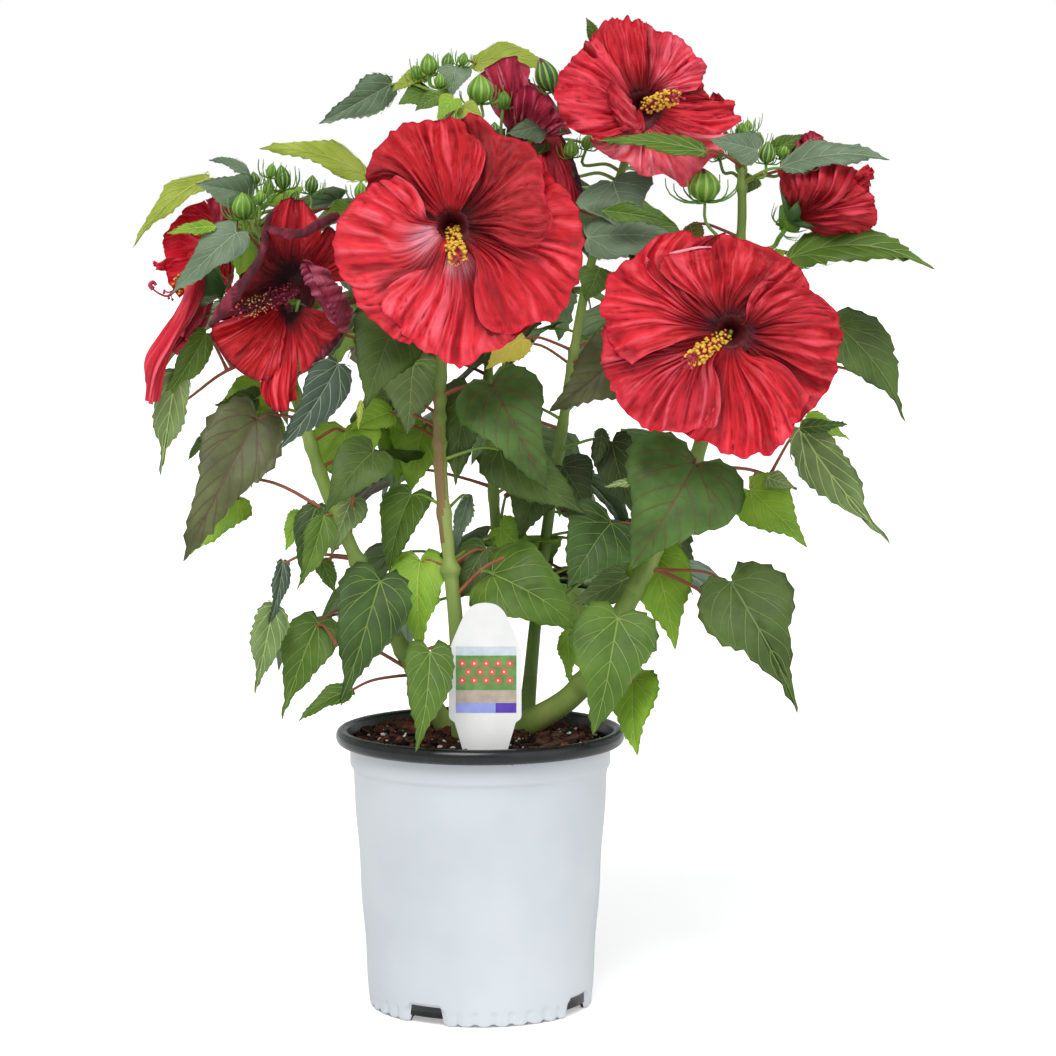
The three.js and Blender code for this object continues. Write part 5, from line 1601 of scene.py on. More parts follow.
    # painted shade at the listed places
    for ds, dt, dz, dk in dark:
        blend("deep", dk * np.exp(-((S - ds) ** 2 + (T - dt) ** 2) / dz ** 2))
    cm = np.clip(cm * RICHER, 0, 1)
    back = cm * 0.45 + pal["back"] * 0.55
    o = nt * ns
    v = np.concatenate([pos.reshape(-1, 3), (pos - nv * 0.0004).reshape(-1, 3)])
    q = grid_quads(nt, ns)
    nq = np.cross(pos[1, 1] - pos[1, 0], pos[2, 0] - pos[1, 0]) @ nv[1, 0]
    qf, qb = (q, q[:, [0, 3, 2, 1]] + o) if nq > 0 else (q[:, [0, 3, 2, 1]], q + o)
    b = np.concatenate([np.arange(ns), (np.arange(1, nt)) * ns + ns - 1, (nt - 1) * ns + np.arange(ns - 2, -1, -1), np.arange(nt - 2, 0, -1) * ns])
    b2 = np.roll(b, -1)
    rim = np.stack([b, b + o, b2 + o, b2], -1)
    if nq > 0:
        rim = rim[:, ::-1]
    gx, gy = cell % 4, (cell // 4) * 2
    uv = np.stack([(S + 1) / 2, T], -1).reshape(-1, 2) * 0.96 + 0.02
    uva = np.vstack([(uv + [gx, gy]) / [4, 4], (uv + [gx, gy + 1]) / [4, 4]])
    quads = np.vstack([qf, qb, rim])
    quv = np.concatenate([uva[qf], uva[qb], uva[np.where(rim >= o, rim - o, rim)]])
    place = np.stack([S * 0.5 * width / 0.12 + cell * 3.1, T], -1).reshape(-1, 2)
    B.add(v, quads, mat=0, col=np.concatenate([cm.reshape(-1, 3), back.reshape(-1, 3)]), uv=uva, quv=quv, uv2=np.vstack([place, place]))
    mark(pos.reshape(-1, 3))


def stamens(C, start, cd, column, bend, anthers, seed, thick=1.0, first=0.30, long=1.0, hook=None, size=1.0, fuzz=0):
    """The column with its anthers round it and five stigmas at its end."""
    r = np.random.default_rng(seed)
    cd = unit(cd)
    cc = spline([start, start + cd * column * 0.5 + np.asarray(bend) * 0.35, start + cd * column + bend] + (hook or []), 30)
    tt = np.linspace(0, 1, 30)
    tube(C, cc, (0.0026 - 0.0014 * tt + 0.0010 * np.exp(-tt * 10)) * thick, 10, 0)
    tg, nn, bb = frames(cc)
    v, f = ICO1
    for k in range(anthers):
        u = first + (0.96 - first) * (k + 0.5) / anthers
        i = int(u * 29)
        w = k * 2.399 + r.normal(0, 0.25)
        o = nn[i] * math.cos(w) + bb[i] * math.sin(w)
        ln = (0.0034 + 0.0026 * r.random()) * long
        a = cc[i] + o * 0.0012
        e = a + unit(o + 0.35 * tg[i] + 0.2 * r.normal(0, 1, 3)) * ln
        tube(C, np.array([a, (a + e) / 2 + tg[i] * 0.0004, e]), 0.00028, 4, 0, cap=False)
        C.add(v * np.array([0.0012, 0.0012, 0.0010]) * size * r.uniform(0.7, 1.25) + e, tris=f, mat=2 if k < fuzz else 1)
    for k in range(5):
        w = k * 2 * math.pi / 5 + 0.4
        o = nn[-1] * math.cos(w) + bb[-1] * math.sin(w)
        e = cc[-1] + tg[-1] * 0.006 + o * 0.005
        tube(C, spline([cc[-1], cc[-1] + tg[-1] * 0.004 + o * 0.0015, e], 6), 0.00045, 6, 0)
        C.add(v * 0.0013 + e, tris=f, mat=2)
    return cc


def open_bloom(name, throat, y0, rise, lean, petals, tip, ytip, ns, nt, anthers, cup_size=1.0, eye_col="#35050e", relief=1.0):
    """A wide open bloom: five broad petals on a shallow funnel, the column standing out of its throat."""
    B = Build()
    for i, (lines, main, over, lap, opt) in enumerate(petals):
        pal = dict(RED, main=main, eye=eye_col)
        pal.update(opt.pop("pal", {}))
        sheet(B, i, lines, pal, 700 + 13 * i + int(throat[0]), ns=opt.pop("ns", ns), nt=opt.pop("nt", nt), funnel=(throat[0], throat[1], y0 + opt.pop("dy", 0.0), rise, *lean), over=over, lap=lap,
              nibble=opt.pop("nibble", 1.5), relief=opt.pop("relief", 1.38 * relief), freq=opt.pop("freq", 1.15), ruffle=opt.pop("ruffle", 1.7), **opt)
    piece(B.make(name + "_petals", [PETAL], uv=True, col=True, uv2=True), "petal", name)
    C = Build()
    a, b = P(throat[0], throat[1], y0 + 0.004), P(tip[0], tip[1], ytip)
    stamens(C, a, b - a, float(np.linalg.norm(b - a)), (0, 0, -0.002), anthers, int(throat[1]), thick=1.15, first=0.16, long=1.05, size=1.3)
    green_cup(C, P(throat[0], throat[1], y0 + 0.010), (-lean[0], 1, -lean[1]), 0.1, np.random.default_rng(6), 3)
    rows = []  # dark disc behind where the petals join: partly the eye's own dark red, partly painted shade seen through the gaps between the petal bases
    for rp in (0.8, 4, 8, 12, 16, 20, cup_size * 25):
        th = np.arange(28) * 2 * math.pi / 28
        y = y0 + 0.0045 - rise * float(smooth(0, 0.34, rp / 50)) - 0.15 * rise * float(smooth(0.3, 1.2, rp / 50))
        rows.append([P(throat[0] + rp * math.cos(q), throat[1] + rp * math.sin(q), y + lean[0] * rp * math.cos(q) * 0.00076 - lean[1] * rp * math.sin(q) * 0.00076) for q in th])
    g = np.array(rows).reshape(-1, 3)
    q = grid_quads(len(rows), 28, True)
    C.add(np.vstack([g, g + [0, .0005, 0]]), np.vstack([q, q[:, [0, 3, 2, 1]] + len(g)]), mat=5)
    piece(C.make(name + "_column", [COLUMN, ANTHER, COLUMN, BUD_A, BUD_B, THROAT]), "petal")


def front_blooms():
    left_A = [[(426.4, 202.6), (406.1, 182.4), (385.8, 175.6), (365.6, 185.7)],
                 [(424.7, 195.9), (402.7, 175.6), (382.5, 165.5), (364.2, 167.2)],
                 [(426.4, 189.1), (406.1, 165.5), (390.9, 151.9), (381.6, 142.6)],
                 [(431.5, 180.7), (414.6, 151.9), (404.4, 135.0), (397.7, 124.1)],
                 [(438.2, 179.0), (428.1, 148.6), (421.3, 131.7), (417.1, 118.5)],
                 [(448.4, 179.0), (445.0, 150.3), (443.3, 133.4), (441.6, 118.1)],
                 [(458.5, 180.7), (460.2, 155.3), (458.5, 136.7), (451.8, 117.8)],
                 [(467.0, 184.1), (473.7, 162.1), (473.7, 145.2), (463.6, 129.6)],
                 [(471.2, 192.5), (482.2, 172.2), (484.2, 155.3), (477.1, 137.6)]]
    left_B = [[(467.0, 192.5), (470.3, 167.2), (465.3, 138.4), (451.8, 116.1)],
                 [(473.7, 189.1), (478.8, 162.1), (477.1, 135.0), (472.0, 114.4)],
                 [(482.2, 187.4), (492.3, 158.7), (494.0, 140.1), (495.7, 127.4)],
                 [(490.6, 189.1), (509.2, 165.5), (519.4, 150.3), (527.8, 143.8)],
                 [(495.7, 195.9), (519.4, 180.7), (534.6, 170.5), (544.7, 173.1)],
                 [(499.1, 207.7), (524.4, 202.6), (537.9, 202.6), (547.7, 204.3)],
                 [(497.4, 221.2), (522.7, 224.6), (539.6, 224.6), (551.1, 217.9)],
                 [(494.0, 231.4), (514.3, 238.1), (531.2, 241.5), (544.7, 238.1)],
                 [(487.2, 234.8), (502.5, 243.2), (519.4, 251.7), (536.3, 258.1)]]
    left_C = [[(476.3, 260.1), (473.7, 285.5), (475.1, 307.4), (482.2, 324.3), (494.0, 332.8)],
                 [(483.9, 260.1), (494.0, 285.5), (504.1, 310.8), (510.9, 334.5)],
                 [(494.0, 256.7), (510.9, 280.4), (526.1, 304.0), (535.4, 324.7)],
                 [(502.5, 253.3), (527.8, 273.6), (549.8, 297.3), (561.6, 316.7)],
                 [(507.5, 250.0), (537.9, 263.5), (561.6, 282.1), (577.7, 290.5)],
                 [(510.9, 239.8), (544.7, 248.3), (565.0, 255.0), (581.9, 264.3)],
                 [(510.9, 226.3), (544.7, 226.3), (566.7, 229.7), (584.9, 229.7)],
                 [(507.5, 212.8), (541.3, 202.6), (561.6, 195.9), (575.1, 199.3)],
                 [(502.5, 202.6), (531.2, 187.4), (546.4, 180.7), (556.5, 177.3)]]
    left_D = [[(433.2, 262.6), (409.5, 269.4), (390.9, 277.8), (383.6, 287.1)],
                 [(431.5, 268.6), (409.5, 283.8), (392.6, 295.6), (383.3, 309.1)],
                 [(433.2, 280.4), (416.3, 302.4), (402.7, 317.6), (396.8, 327.7)],
                 [(439.9, 287.1), (426.4, 314.2), (416.3, 334.5), (411.2, 344.6)],
                 [(450.1, 290.5), (441.6, 320.9), (434.9, 342.9), (429.8, 354.7)],
                 [(458.5, 290.5), (455.1, 322.6), (450.1, 346.3), (449.2, 367.4)],
                 [(468.7, 290.5), (470.3, 322.6), (470.3, 348.0), (473.7, 366.6)],
                 [(482.2, 293.9), (494.0, 322.6), (497.4, 339.5), (504.1, 345.5)],
                 [(490.6, 290.5), (507.5, 314.2), (521.0, 329.4), (531.2, 326.0)]]
    left_E = [[(428.1, 219.5), (422.2, 201.0), (412.9, 185.7), (399.4, 177.6)],
                 [(419.6, 216.2), (404.4, 199.3), (392.6, 187.4), (383.3, 182.4)],
                 [(414.6, 219.5), (396.0, 206.0), (380.8, 195.9), (369.8, 184.4)],
                 [(406.1, 224.6), (382.5, 212.8), (363.9, 204.3), (352.9, 201.0)],
                 [(404.4, 238.1), (375.7, 229.7), (352.0, 222.9), (337.7, 220.4)],
                 [(406.1, 250.0), (375.7, 248.3), (350.4, 246.6), (332.1, 243.2)],
                 [(409.5, 261.8), (379.1, 266.9), (355.4, 268.6), (335.1, 267.7)],
                 [(412.9, 270.2), (387.5, 283.8), (365.6, 290.5), (347.0, 287.1)],
                 [(418.0, 275.3), (397.7, 295.6), (377.4, 307.4), (357.1, 307.4)],
                 [(424.7, 280.4), (409.5, 304.0), (394.3, 320.9), (380.8, 331.9)]]
    # each petal's own red runs lighter on the lower petals and darker on the upper ones: painted light and shade across
    # the bloom; the dark spots are painted shade
    open_bloom("bloom_front_left", (451.5, 226.0), -.094, 0.026, (0.01, 0.05), [
        (left_A, "#c41624", 1.0, left_E[0], dict(eye=.13, dark=((-.75, .9, .3, .7), (.0, .14, .25, .3)))),
        (left_B, "#a00a18", 1.0, left_A[8], dict(eye=.27, dy=.003, pal=dict(light="#cc3440", deep="#660610"))),
        (left_C, "#cc1e2e", -1.0, left_B[8], dict(eye=.16, dy=.004)),
        (left_D, "#ea3a4a", -1.0, left_C[0], dict(pal=dict(light="#f67e8a"), eye=.09, dy=.0065, ruffle=1.4, painted_sheen=((.0, .27, .75, .085, 1.0),))),
        (left_E, "#e43644", -1.0, left_D[0], dict(eye=.07, painted_sheen=((-.02, .21, .36, .13, 1.35),), pal=dict(light="#f2808c")))],
        (458.0, 257), -.140, 92, 46, 165, cup_size=1.16)
    right_A = [[(700.6, 310.9), (684.1, 292.8), (677.6, 263.1), (705.5, 234.8)],
                 [(697.3, 310.9), (674.3, 287.8), (666.0, 254.9), (685.8, 228.6)],
                 [(694.0, 312.5), (666.0, 287.8), (646.3, 261.5), (666.0, 230.2)],
                 [(690.7, 314.1), (662.8, 292.8), (638.1, 271.4), (633.1, 253.3)],
                 [(689.1, 317.4), (657.8, 301.0), (628.2, 287.8), (607.6, 274.7)],
                 [(689.1, 320.7), (657.8, 309.2), (626.6, 304.3), (599.4, 304.3)],
                 [(689.1, 324.0), (657.8, 319.1), (626.6, 320.7), (602.2, 322.4)],
                 [(689.1, 329.0), (661.1, 330.6), (633.1, 337.2), (608.5, 347.1)],
                 [(690.7, 337.2), (671.0, 345.4), (649.6, 353.6), (631.5, 364.3)]]
    right_B = [[(710.5, 310.9), (690.7, 294.4), (671.0, 282.1), (659.8, 268.9)],
                 [(712.1, 307.6), (694.0, 286.2), (677.6, 267.2), (669.3, 254.1)],
                 [(715.4, 305.9), (702.2, 283.7), (692.4, 263.1), (689.1, 250.3)],
                 [(718.7, 304.3), (713.8, 279.6), (710.5, 261.5), (709.6, 247.0)],
                 [(723.6, 302.6), (723.6, 277.9), (722.0, 254.9), (720.3, 236.5)],
                 [(728.6, 302.6), (735.2, 277.9), (738.4, 256.6), (740.1, 238.1)],
                 [(733.5, 302.6), (746.7, 281.2), (756.5, 261.5), (763.1, 242.6)],
                 [(738.4, 305.9), (758.2, 287.8), (774.6, 271.4), (786.2, 255.7)],
                 [(741.7, 309.2), (766.4, 294.4), (789.4, 284.5), (805.9, 269.7)],
                 [(743.4, 314.1), (769.7, 302.6), (794.4, 296.0), (813.3, 291.1)]]
    right_C = [[(745.8, 319.1), (748.3, 301.0), (754.9, 287.8), (763.1, 279.6)],
                 [(748.3, 320.7), (759.8, 301.0), (774.6, 287.8), (789.4, 287.0)],
                 [(751.6, 322.4), (771.4, 304.3), (791.1, 294.4), (812.5, 291.9)],
                 [(754.9, 325.7), (777.9, 314.1), (804.3, 304.3), (829.8, 304.3)],
                 [(756.5, 329.0), (782.9, 322.4), (810.8, 319.1), (840.5, 320.7)],
                 [(757.4, 333.9), (786.2, 333.9), (815.8, 335.5), (843.7, 337.2)],
                 [(757.4, 338.8), (786.2, 343.8), (814.1, 352.0), (840.5, 358.6)],
                 [(756.5, 343.8), (782.9, 355.3), (810.8, 368.4), (838.8, 375.0)],
                 [(753.3, 348.7), (776.3, 363.5), (801.0, 383.3), (824.0, 401.4)],
                 [(750.0, 352.0), (769.7, 368.4), (789.4, 389.8), (804.3, 417.8)]]
    right_D = [[(748.3, 353.6), (773.0, 358.6), (792.7, 373.4), (798.5, 396.4)],
                 [(745.0, 356.9), (766.4, 370.1), (786.2, 393.1), (801.0, 419.4)],
                 [(741.7, 360.2), (759.8, 380.0), (776.3, 407.9), (789.4, 437.5)],
                 [(738.4, 361.9), (751.6, 388.2), (764.8, 419.4), (773.0, 452.4)],
                 [(735.2, 363.5), (743.4, 393.1), (751.6, 426.0), (756.5, 458.9)],
                 [(731.0, 363.5), (733.5, 394.8), (736.8, 429.3), (736.8, 460.6)],
                 [(726.9, 363.5), (723.6, 394.8), (722.0, 426.0), (718.7, 452.4)],
                 [(723.6, 361.9), (713.8, 393.1), (705.5, 422.7), (697.3, 444.1)],
                 [(720.3, 361.9), (703.9, 389.8), (692.4, 416.2), (683.3, 434.3)]]
    right_E = [[(713.8, 361.9), (719.5, 381.6), (721.7, 404.6), (717.1, 423.6)],
                 [(708.0, 360.2), (707.2, 383.3), (705.5, 406.3), (703.9, 428.5)],
                 [(702.2, 358.6), (694.0, 383.3), (689.1, 407.9), (684.1, 434.3)],
                 [(697.3, 358.6), (682.5, 383.3), (671.0, 406.3), (661.1, 434.3)],
                 [(692.4, 358.6), (669.3, 380.0), (654.5, 404.6), (646.3, 432.6)],
                 [(689.1, 356.9), (657.8, 375.0), (639.7, 394.8), (625.7, 414.5)],
                 [(685.8, 353.6), (651.2, 366.8), (628.2, 378.3), (610.9, 394.8)],
                 [(684.1, 350.3), (647.9, 356.9), (623.3, 363.5), (599.4, 370.1)],
                 [(684.1, 347.1), (647.9, 350.3), (624.9, 353.6), (601.9, 356.9)]]
    # each petal's own red is set lighter or darker by how light falls on it: painted light and shade across the bloom;
    # the dark spot is painted shade
    open_bloom("bloom_front_right", (730.5, 331.5), -.096, 0.024, (-0.12, 0.0), [
        (right_A, "#e02c3c", 1.0, right_B[0], dict(pal=dict(light="#f4707c"), eye=.22, dark=((-.9, .8, .25, .5),))),
        (right_B, "#c41826", -1.0, right_C[0], dict(eye=.27, dy=.003)),
        (right_C, "#c01c2e", -1.0, right_D[0], dict(eye=.24, dy=.004, relief=1.6)),
        (right_D, "#de2838", -1.0, right_E[0], dict(eye=.14, dy=.002)),
        (right_E, "#d43244", -1.0, right_A[8], dict(eye=.08, dy=.001, pal=dict(light="#ec7c88")))],
        (691.5, 357), -.146, 92, 46, 165, eye_col="#3a0c22")
    fold = [P(669, 253.5, -.128), P(684, 250.5, -.130), P(698, 247.5, -.130), P(712, 247, -.128)]
    F = Build()
    tube(F, spline(fold, 24), np.interp(np.linspace(0, 1, 24), [0, .2, .7, 1], [.0003, .0011, .0009, .0003]), 8, 0, bump=None)
    piece(F.make("bloom_front_right_fold", [PETAL_PALE]), "petal")
    top_A = [[(634.3, 124.8), (621.5, 132.4), (606.2, 137.6), (590.9, 137.6)],
                 [(633.0, 122.2), (613.9, 127.3), (593.5, 132.4), (575.6, 132.4)],
                 [(631.7, 118.4), (608.8, 119.7), (583.3, 122.2), (564.1, 121.0)],
                 [(630.5, 113.3), (604.9, 109.5), (579.4, 106.9), (556.5, 104.4)],
                 [(629.2, 109.5), (602.4, 98.0), (578.2, 91.6), (554.6, 87.8)],
                 [(628.5, 105.7), (601.1, 86.5), (578.2, 76.3), (559.7, 71.2)],
                 [(628.5, 101.8), (604.9, 78.9), (584.5, 66.1), (568.0, 60.4)],
                 [(629.2, 98.0), (608.8, 71.2), (593.5, 55.9), (582.0, 46.4)]]
    top_B = [[(627.9, 95.5), (608.8, 71.2), (593.5, 50.8), (585.8, 40.6)],
                 [(629.2, 92.9), (612.6, 66.1), (599.8, 41.9), (594.7, 27.9)],
                 [(631.7, 90.4), (619.0, 63.6), (608.8, 38.1), (606.2, 20.8)],
                 [(635.6, 87.8), (626.6, 61.0), (620.3, 35.5), (618.3, 17.9)],
                 [(639.4, 86.5), (634.3, 61.0), (630.5, 38.1), (626.6, 19.6)],
                 [(643.2, 85.3), (643.2, 61.0), (640.7, 38.1), (638.8, 20.5)],
                 [(645.8, 85.3), (647.0, 63.6), (645.8, 41.9), (645.8, 24.0)]]
    top_C = [[(645.8, 86.5), (647.0, 63.6), (644.5, 40.6), (639.4, 20.8)],
                 [(648.3, 86.5), (654.7, 64.8), (656.0, 44.4), (657.2, 28.5)],
                 [(650.9, 87.8), (663.6, 68.7), (670.0, 49.5), (672.6, 35.5)],
                 [(653.4, 89.1), (671.3, 72.5), (682.8, 58.5), (690.4, 47.0)],
                 [(654.7, 90.4), (675.1, 78.9), (689.1, 69.9), (701.6, 66.1)],
                 [(656.0, 92.9), (675.1, 86.5), (689.1, 81.4), (702.5, 77.6)],
                 [(656.0, 95.5), (671.3, 92.9), (684.0, 92.9), (695.5, 91.6)]]
    top_D = [[(657.2, 98.0), (675.1, 91.6), (689.1, 86.5), (704.4, 82.7)],
                 [(658.5, 100.6), (678.9, 98.0), (696.8, 96.7), (714.0, 99.3)],
                 [(658.5, 104.4), (681.5, 104.4), (705.7, 103.1), (733.8, 100.3)],
                 [(658.5, 108.2), (682.8, 110.8), (708.3, 112.0), (738.2, 110.8)],
                 [(657.2, 112.0), (681.5, 118.4), (704.4, 122.2), (740.8, 121.0)],
                 [(656.0, 115.9), (677.7, 124.8), (698.1, 131.2), (717.2, 137.6)],
                 [(653.4, 119.7), (670.0, 129.9), (685.3, 137.6), (704.4, 145.2)]]
    top_E = [[(652.1, 124.8), (672.6, 136.3), (695.5, 145.2), (722.3, 149.0)],
                 [(650.9, 126.1), (670.0, 142.7), (690.4, 155.4), (708.3, 161.8)],
                 [(648.3, 127.3), (663.6, 147.8), (675.1, 165.6), (683.4, 189.2)],
                 [(645.8, 128.6), (654.7, 147.8), (659.8, 163.1), (666.2, 174.5)],
                 [(643.2, 128.6), (645.8, 147.8), (647.0, 163.1), (647.0, 175.2)],
                 [(640.7, 128.6), (638.1, 146.5), (635.6, 160.5), (633.6, 171.4)],
                 [(638.1, 128.6), (629.2, 141.4), (624.1, 151.6), (616.4, 157.3)],
                 [(636.2, 127.3), (621.5, 137.6), (608.8, 147.8), (596.0, 149.0)]]
    top_F = [[(640.0, 129.3), (627.9, 124.8), (611.3, 110.8)],
                 [(637.5, 121.0), (624.1, 109.5), (607.5, 95.5)],
                 [(634.3, 110.8), (622.8, 94.2), (607.5, 77.0)]]
    # each petal's own red is set lighter or darker by how light falls on it; the lowest petal's pale pink is partly its
    # own colour and partly painted light against the shade of the leaf above; the dark spot is painted shade
    open_bloom("bloom_top", (641.5, 108.0), -.010, 0.018, (0.10, 0.16), [
        (top_A, "#d62c42", -1.0, None, dict(eye=.18, spread=(6, 12))),
        (top_B, "#cc2232", 1.0, top_A[7], dict(eye=.27, dy=.003, spread=(10, 0), dark=((-.9, .7, .5, .5),))),
        (top_C, "#e44a5e", 1.0, top_B[6], dict(eye=.25, dy=.004, pal=dict(light="#f69aa8"))),
        (top_D, "#de3244", 1.0, top_C[6], dict(eye=.18, dy=.006, spread=(14, 8))),
        (top_E, "#fa808e", -1.0, top_D[6], dict(eye=.12, dy=.006, spread=(10, 14), ruffle=2.4, pal=dict(light="#ffbcc4", deep="#bc2c40", rim="#e85468"))),
        (top_F, "#cc3a4a", 1.0, None, dict(eye=.0, dy=-.006, ns=30, nt=24, pal=dict(light="#f29aa2"), nibble=2.0))],
        (675.5, 93.5), -.058, 74, 40, 120, cup_size=0.85)


def fading_bloom():
    B = Build()
    Y0 = -.030
    sheet(B, 0, [[(290, 277, Y0), (273, 242, -.055), (269, 222, -.060), (280, 200, -.054)], [(291, 276, Y0), (286, 240, -.050), (288, 216, -.054), (292, 198, -.050)],
                 [(293, 276, Y0), (301, 240, -.050), (304, 219, -.054), (304, 202, -.050)], [(294, 276, Y0), (317, 245, -.052), (322, 228, -.058), (314, 213, -.054)]],
          dict(FADE, light="#e2404c", main="#b01420"), 301, eye=0.30, relief=0.8)
    sheet(B, 1, [[(292, 276, Y0), (310, 250, -.050), (325, 228, -.062)], [(295, 277), (318, 256, -.050), (336, 231, -.062)],
                 [(297, 280), (322, 268, -.048), (344, 256, -.056)], [(298, 284), (324, 282, -.042), (352, 280, -.045)]],
          dict(FADE, light="#d8303c", main="#a81018"), 302, eye=0.34, relief=0.7)
    sheet(B, 2, [[(293, 276, Y0), (292, 246, -.040), (292, 222, -.044)], [(291, 276, Y0), (282, 246, -.042), (276, 226, -.052)],
                 [(290, 277, Y0), (277, 256, -.048), (266, 236, -.070)], [(289, 279, Y0), (270, 268, -.054), (260, 256, -.080)], [(288, 282, Y0), (264, 280, -.058), (248, 278, -.086)],
                 [(287, 286, Y0), (258, 294, -.058), (232, 298, -.086)], [(287, 290, Y0), (254, 304, -.054), (220, 314, -.080)], [(287, 294, Y0), (252, 313, -.050), (211, 325, -.070)]],
          dict(DARKRED, main="#7a0c14", light="#b41c26", deep="#3c060c"), 303, eye=0.42, relief=0.8, dark=((0.35, 0.7, 0.6, 0.5),))
    fan = dict(FADE, main="#c8181f", light="#f4646e", deep="#720812", rim="#3c0a18")
    sheet(B, 3, [[(285, 298, -.034), (250, 312, -.058), (209, 325, -.074)], [(285, 302, -.034), (250, 324, -.060), (214, 342, -.072)], [(285, 305, -.034), (254, 336, -.060), (227, 360, -.068)],
                 [(285, 308, -.034), (263, 346, -.058), (243, 374, -.062)], [(286, 310, -.034), (272, 349, -.054), (259, 381, -.056)], [(287, 311, -.034), (281, 345, -.048), (275, 376, -.046)]],
          fan, 304, eye=0.12, relief=1.25, freq=1.5, ns=76, nt=42)
    sheet(B, 4, [[(286, 312, -.034), (273, 350, -.044), (261, 384, -.050), (265, 401, -.052)], [(288, 313, -.034), (281, 352, -.044), (272, 386, -.052), (274, 411, -.054)],
                 [(290, 313, -.034), (289, 352, -.044), (284, 386, -.050), (287, 411, -.052)], [(292, 313, -.034), (298, 350, -.042), (297, 378, -.046), (294, 400, -.046)]],
          dict(fan, main="#d41a2c"), 305, eye=0.16, relief=0.9, freq=1.1)
    sheet(B, 5, [[(289, 313, -.034), (298, 345, -.043), (303, 375, -.048)], [(291, 312, -.034), (305, 341, -.044), (317, 363, -.052)], [(293, 311, -.034), (312, 333, -.044), (330, 350, -.052)],
                 [(295, 308, -.034), (318, 323, -.042), (341, 334, -.046)], [(297, 304, -.032), (322, 312, -.036), (346, 320, -.038)]],
          dict(fan, main="#b81420", light="#e04450"), 306, eye=0.20, relief=0.9)
    # the two petals folded away behind
    sheet(B, 7, [[(284, 262, -.024), (282, 278, -.022), (286, 300, -.020)], [(300, 262, -.026), (300, 280, -.020), (298, 300, -.020)], [(316, 268, -.034), (318, 290, -.030), (310, 312, -.030)]],
          dict(DARKRED, main="#3c0810", light="#6a1018"), 308, ns=20, nt=16, eye=0, relief=0.3)
    sheet(B, 6, [[(288, 280, -.022), (268, 262, -.02), (262, 240, -.034)], [(286, 290, -.020), (258, 290, -.014), (240, 286, -.030)], [(288, 300, -.020), (262, 316, -.014), (236, 328, -.030)],
                 [(292, 306, -.020), (286, 336, -.012), (282, 360, -.026)]], DARKRED, 307, eye=0, face=(0, 1, 0))
    piece(B.make("bloom_left_fading_petals", [PETAL_DARK], uv=True, col=True, uv2=True), "petal_dark", "bloom_left_fading")
    roll = dict(main="#5a0e1e", light="#a83450", deep="#20050c")
    scroll("bloom_left_fading_roll_top", [P(267, 231, -.066), P(273, 229, -.076), P(284, 233, -.080), P(300, 234, -.080), P(314, 227, -.076), P(327, 219, -.070), P(337, 215, -.062)],
           [.0025, .0040, .0046, .0046, .0042, .0048, .0036], dict(roll, main="#6a1428"), 5)
    scroll("bloom_left_fading_roll_left", [P(278, 207, -.052), P(269, 219, -.060), P(266, 233, -.070), P(264, 250, -.080), P(252, 272, -.088), P(234, 296, -.090), P(220, 315, -.084), P(210, 326, -.074)],
           [.0020, .0030, .0030, .0034, .0052, .0066, .0054, .0018], roll, 9)
    scroll("bloom_left_fading_scroll_right", [P(304, 266, -.062), P(313, 276, -.074), P(326, 295, -.080), P(338, 313, -.076), P(343, 325, -.062)],
           [.0050, .0112, .0135, .0120, .0060], dict(main="#8e1a38", light="#d87a92", deep="#420a1a"), 14, turns=1.25, rings=20)
    scroll("bloom_left_fading_rim_right", [P(342, 334, -.048), P(331, 346, -.054), P(320, 358, -.056), P(309, 373, -.050)], [.0018, .0038, .0034, .0014], roll, 17)
    C = Build()
    stamens(C, P(298, 290, -.038), (-0.62, -0.72, -0.20), 0.062, (0, 0, -.002), 150, 71, thick=0.8, first=0.10, long=1.3, size=0.66, fuzz=80)
    green_cup(C, P(293, 288, .022), (0.2, 1, 0.02), 0.08, np.random.default_rng(3), 3, size=0.8)
    piece(C.make("bloom_left_fading_column", [COLUMN_D, ANTHER_D, COLUMN, BUD_A, BUD_B]), "petal_dark")


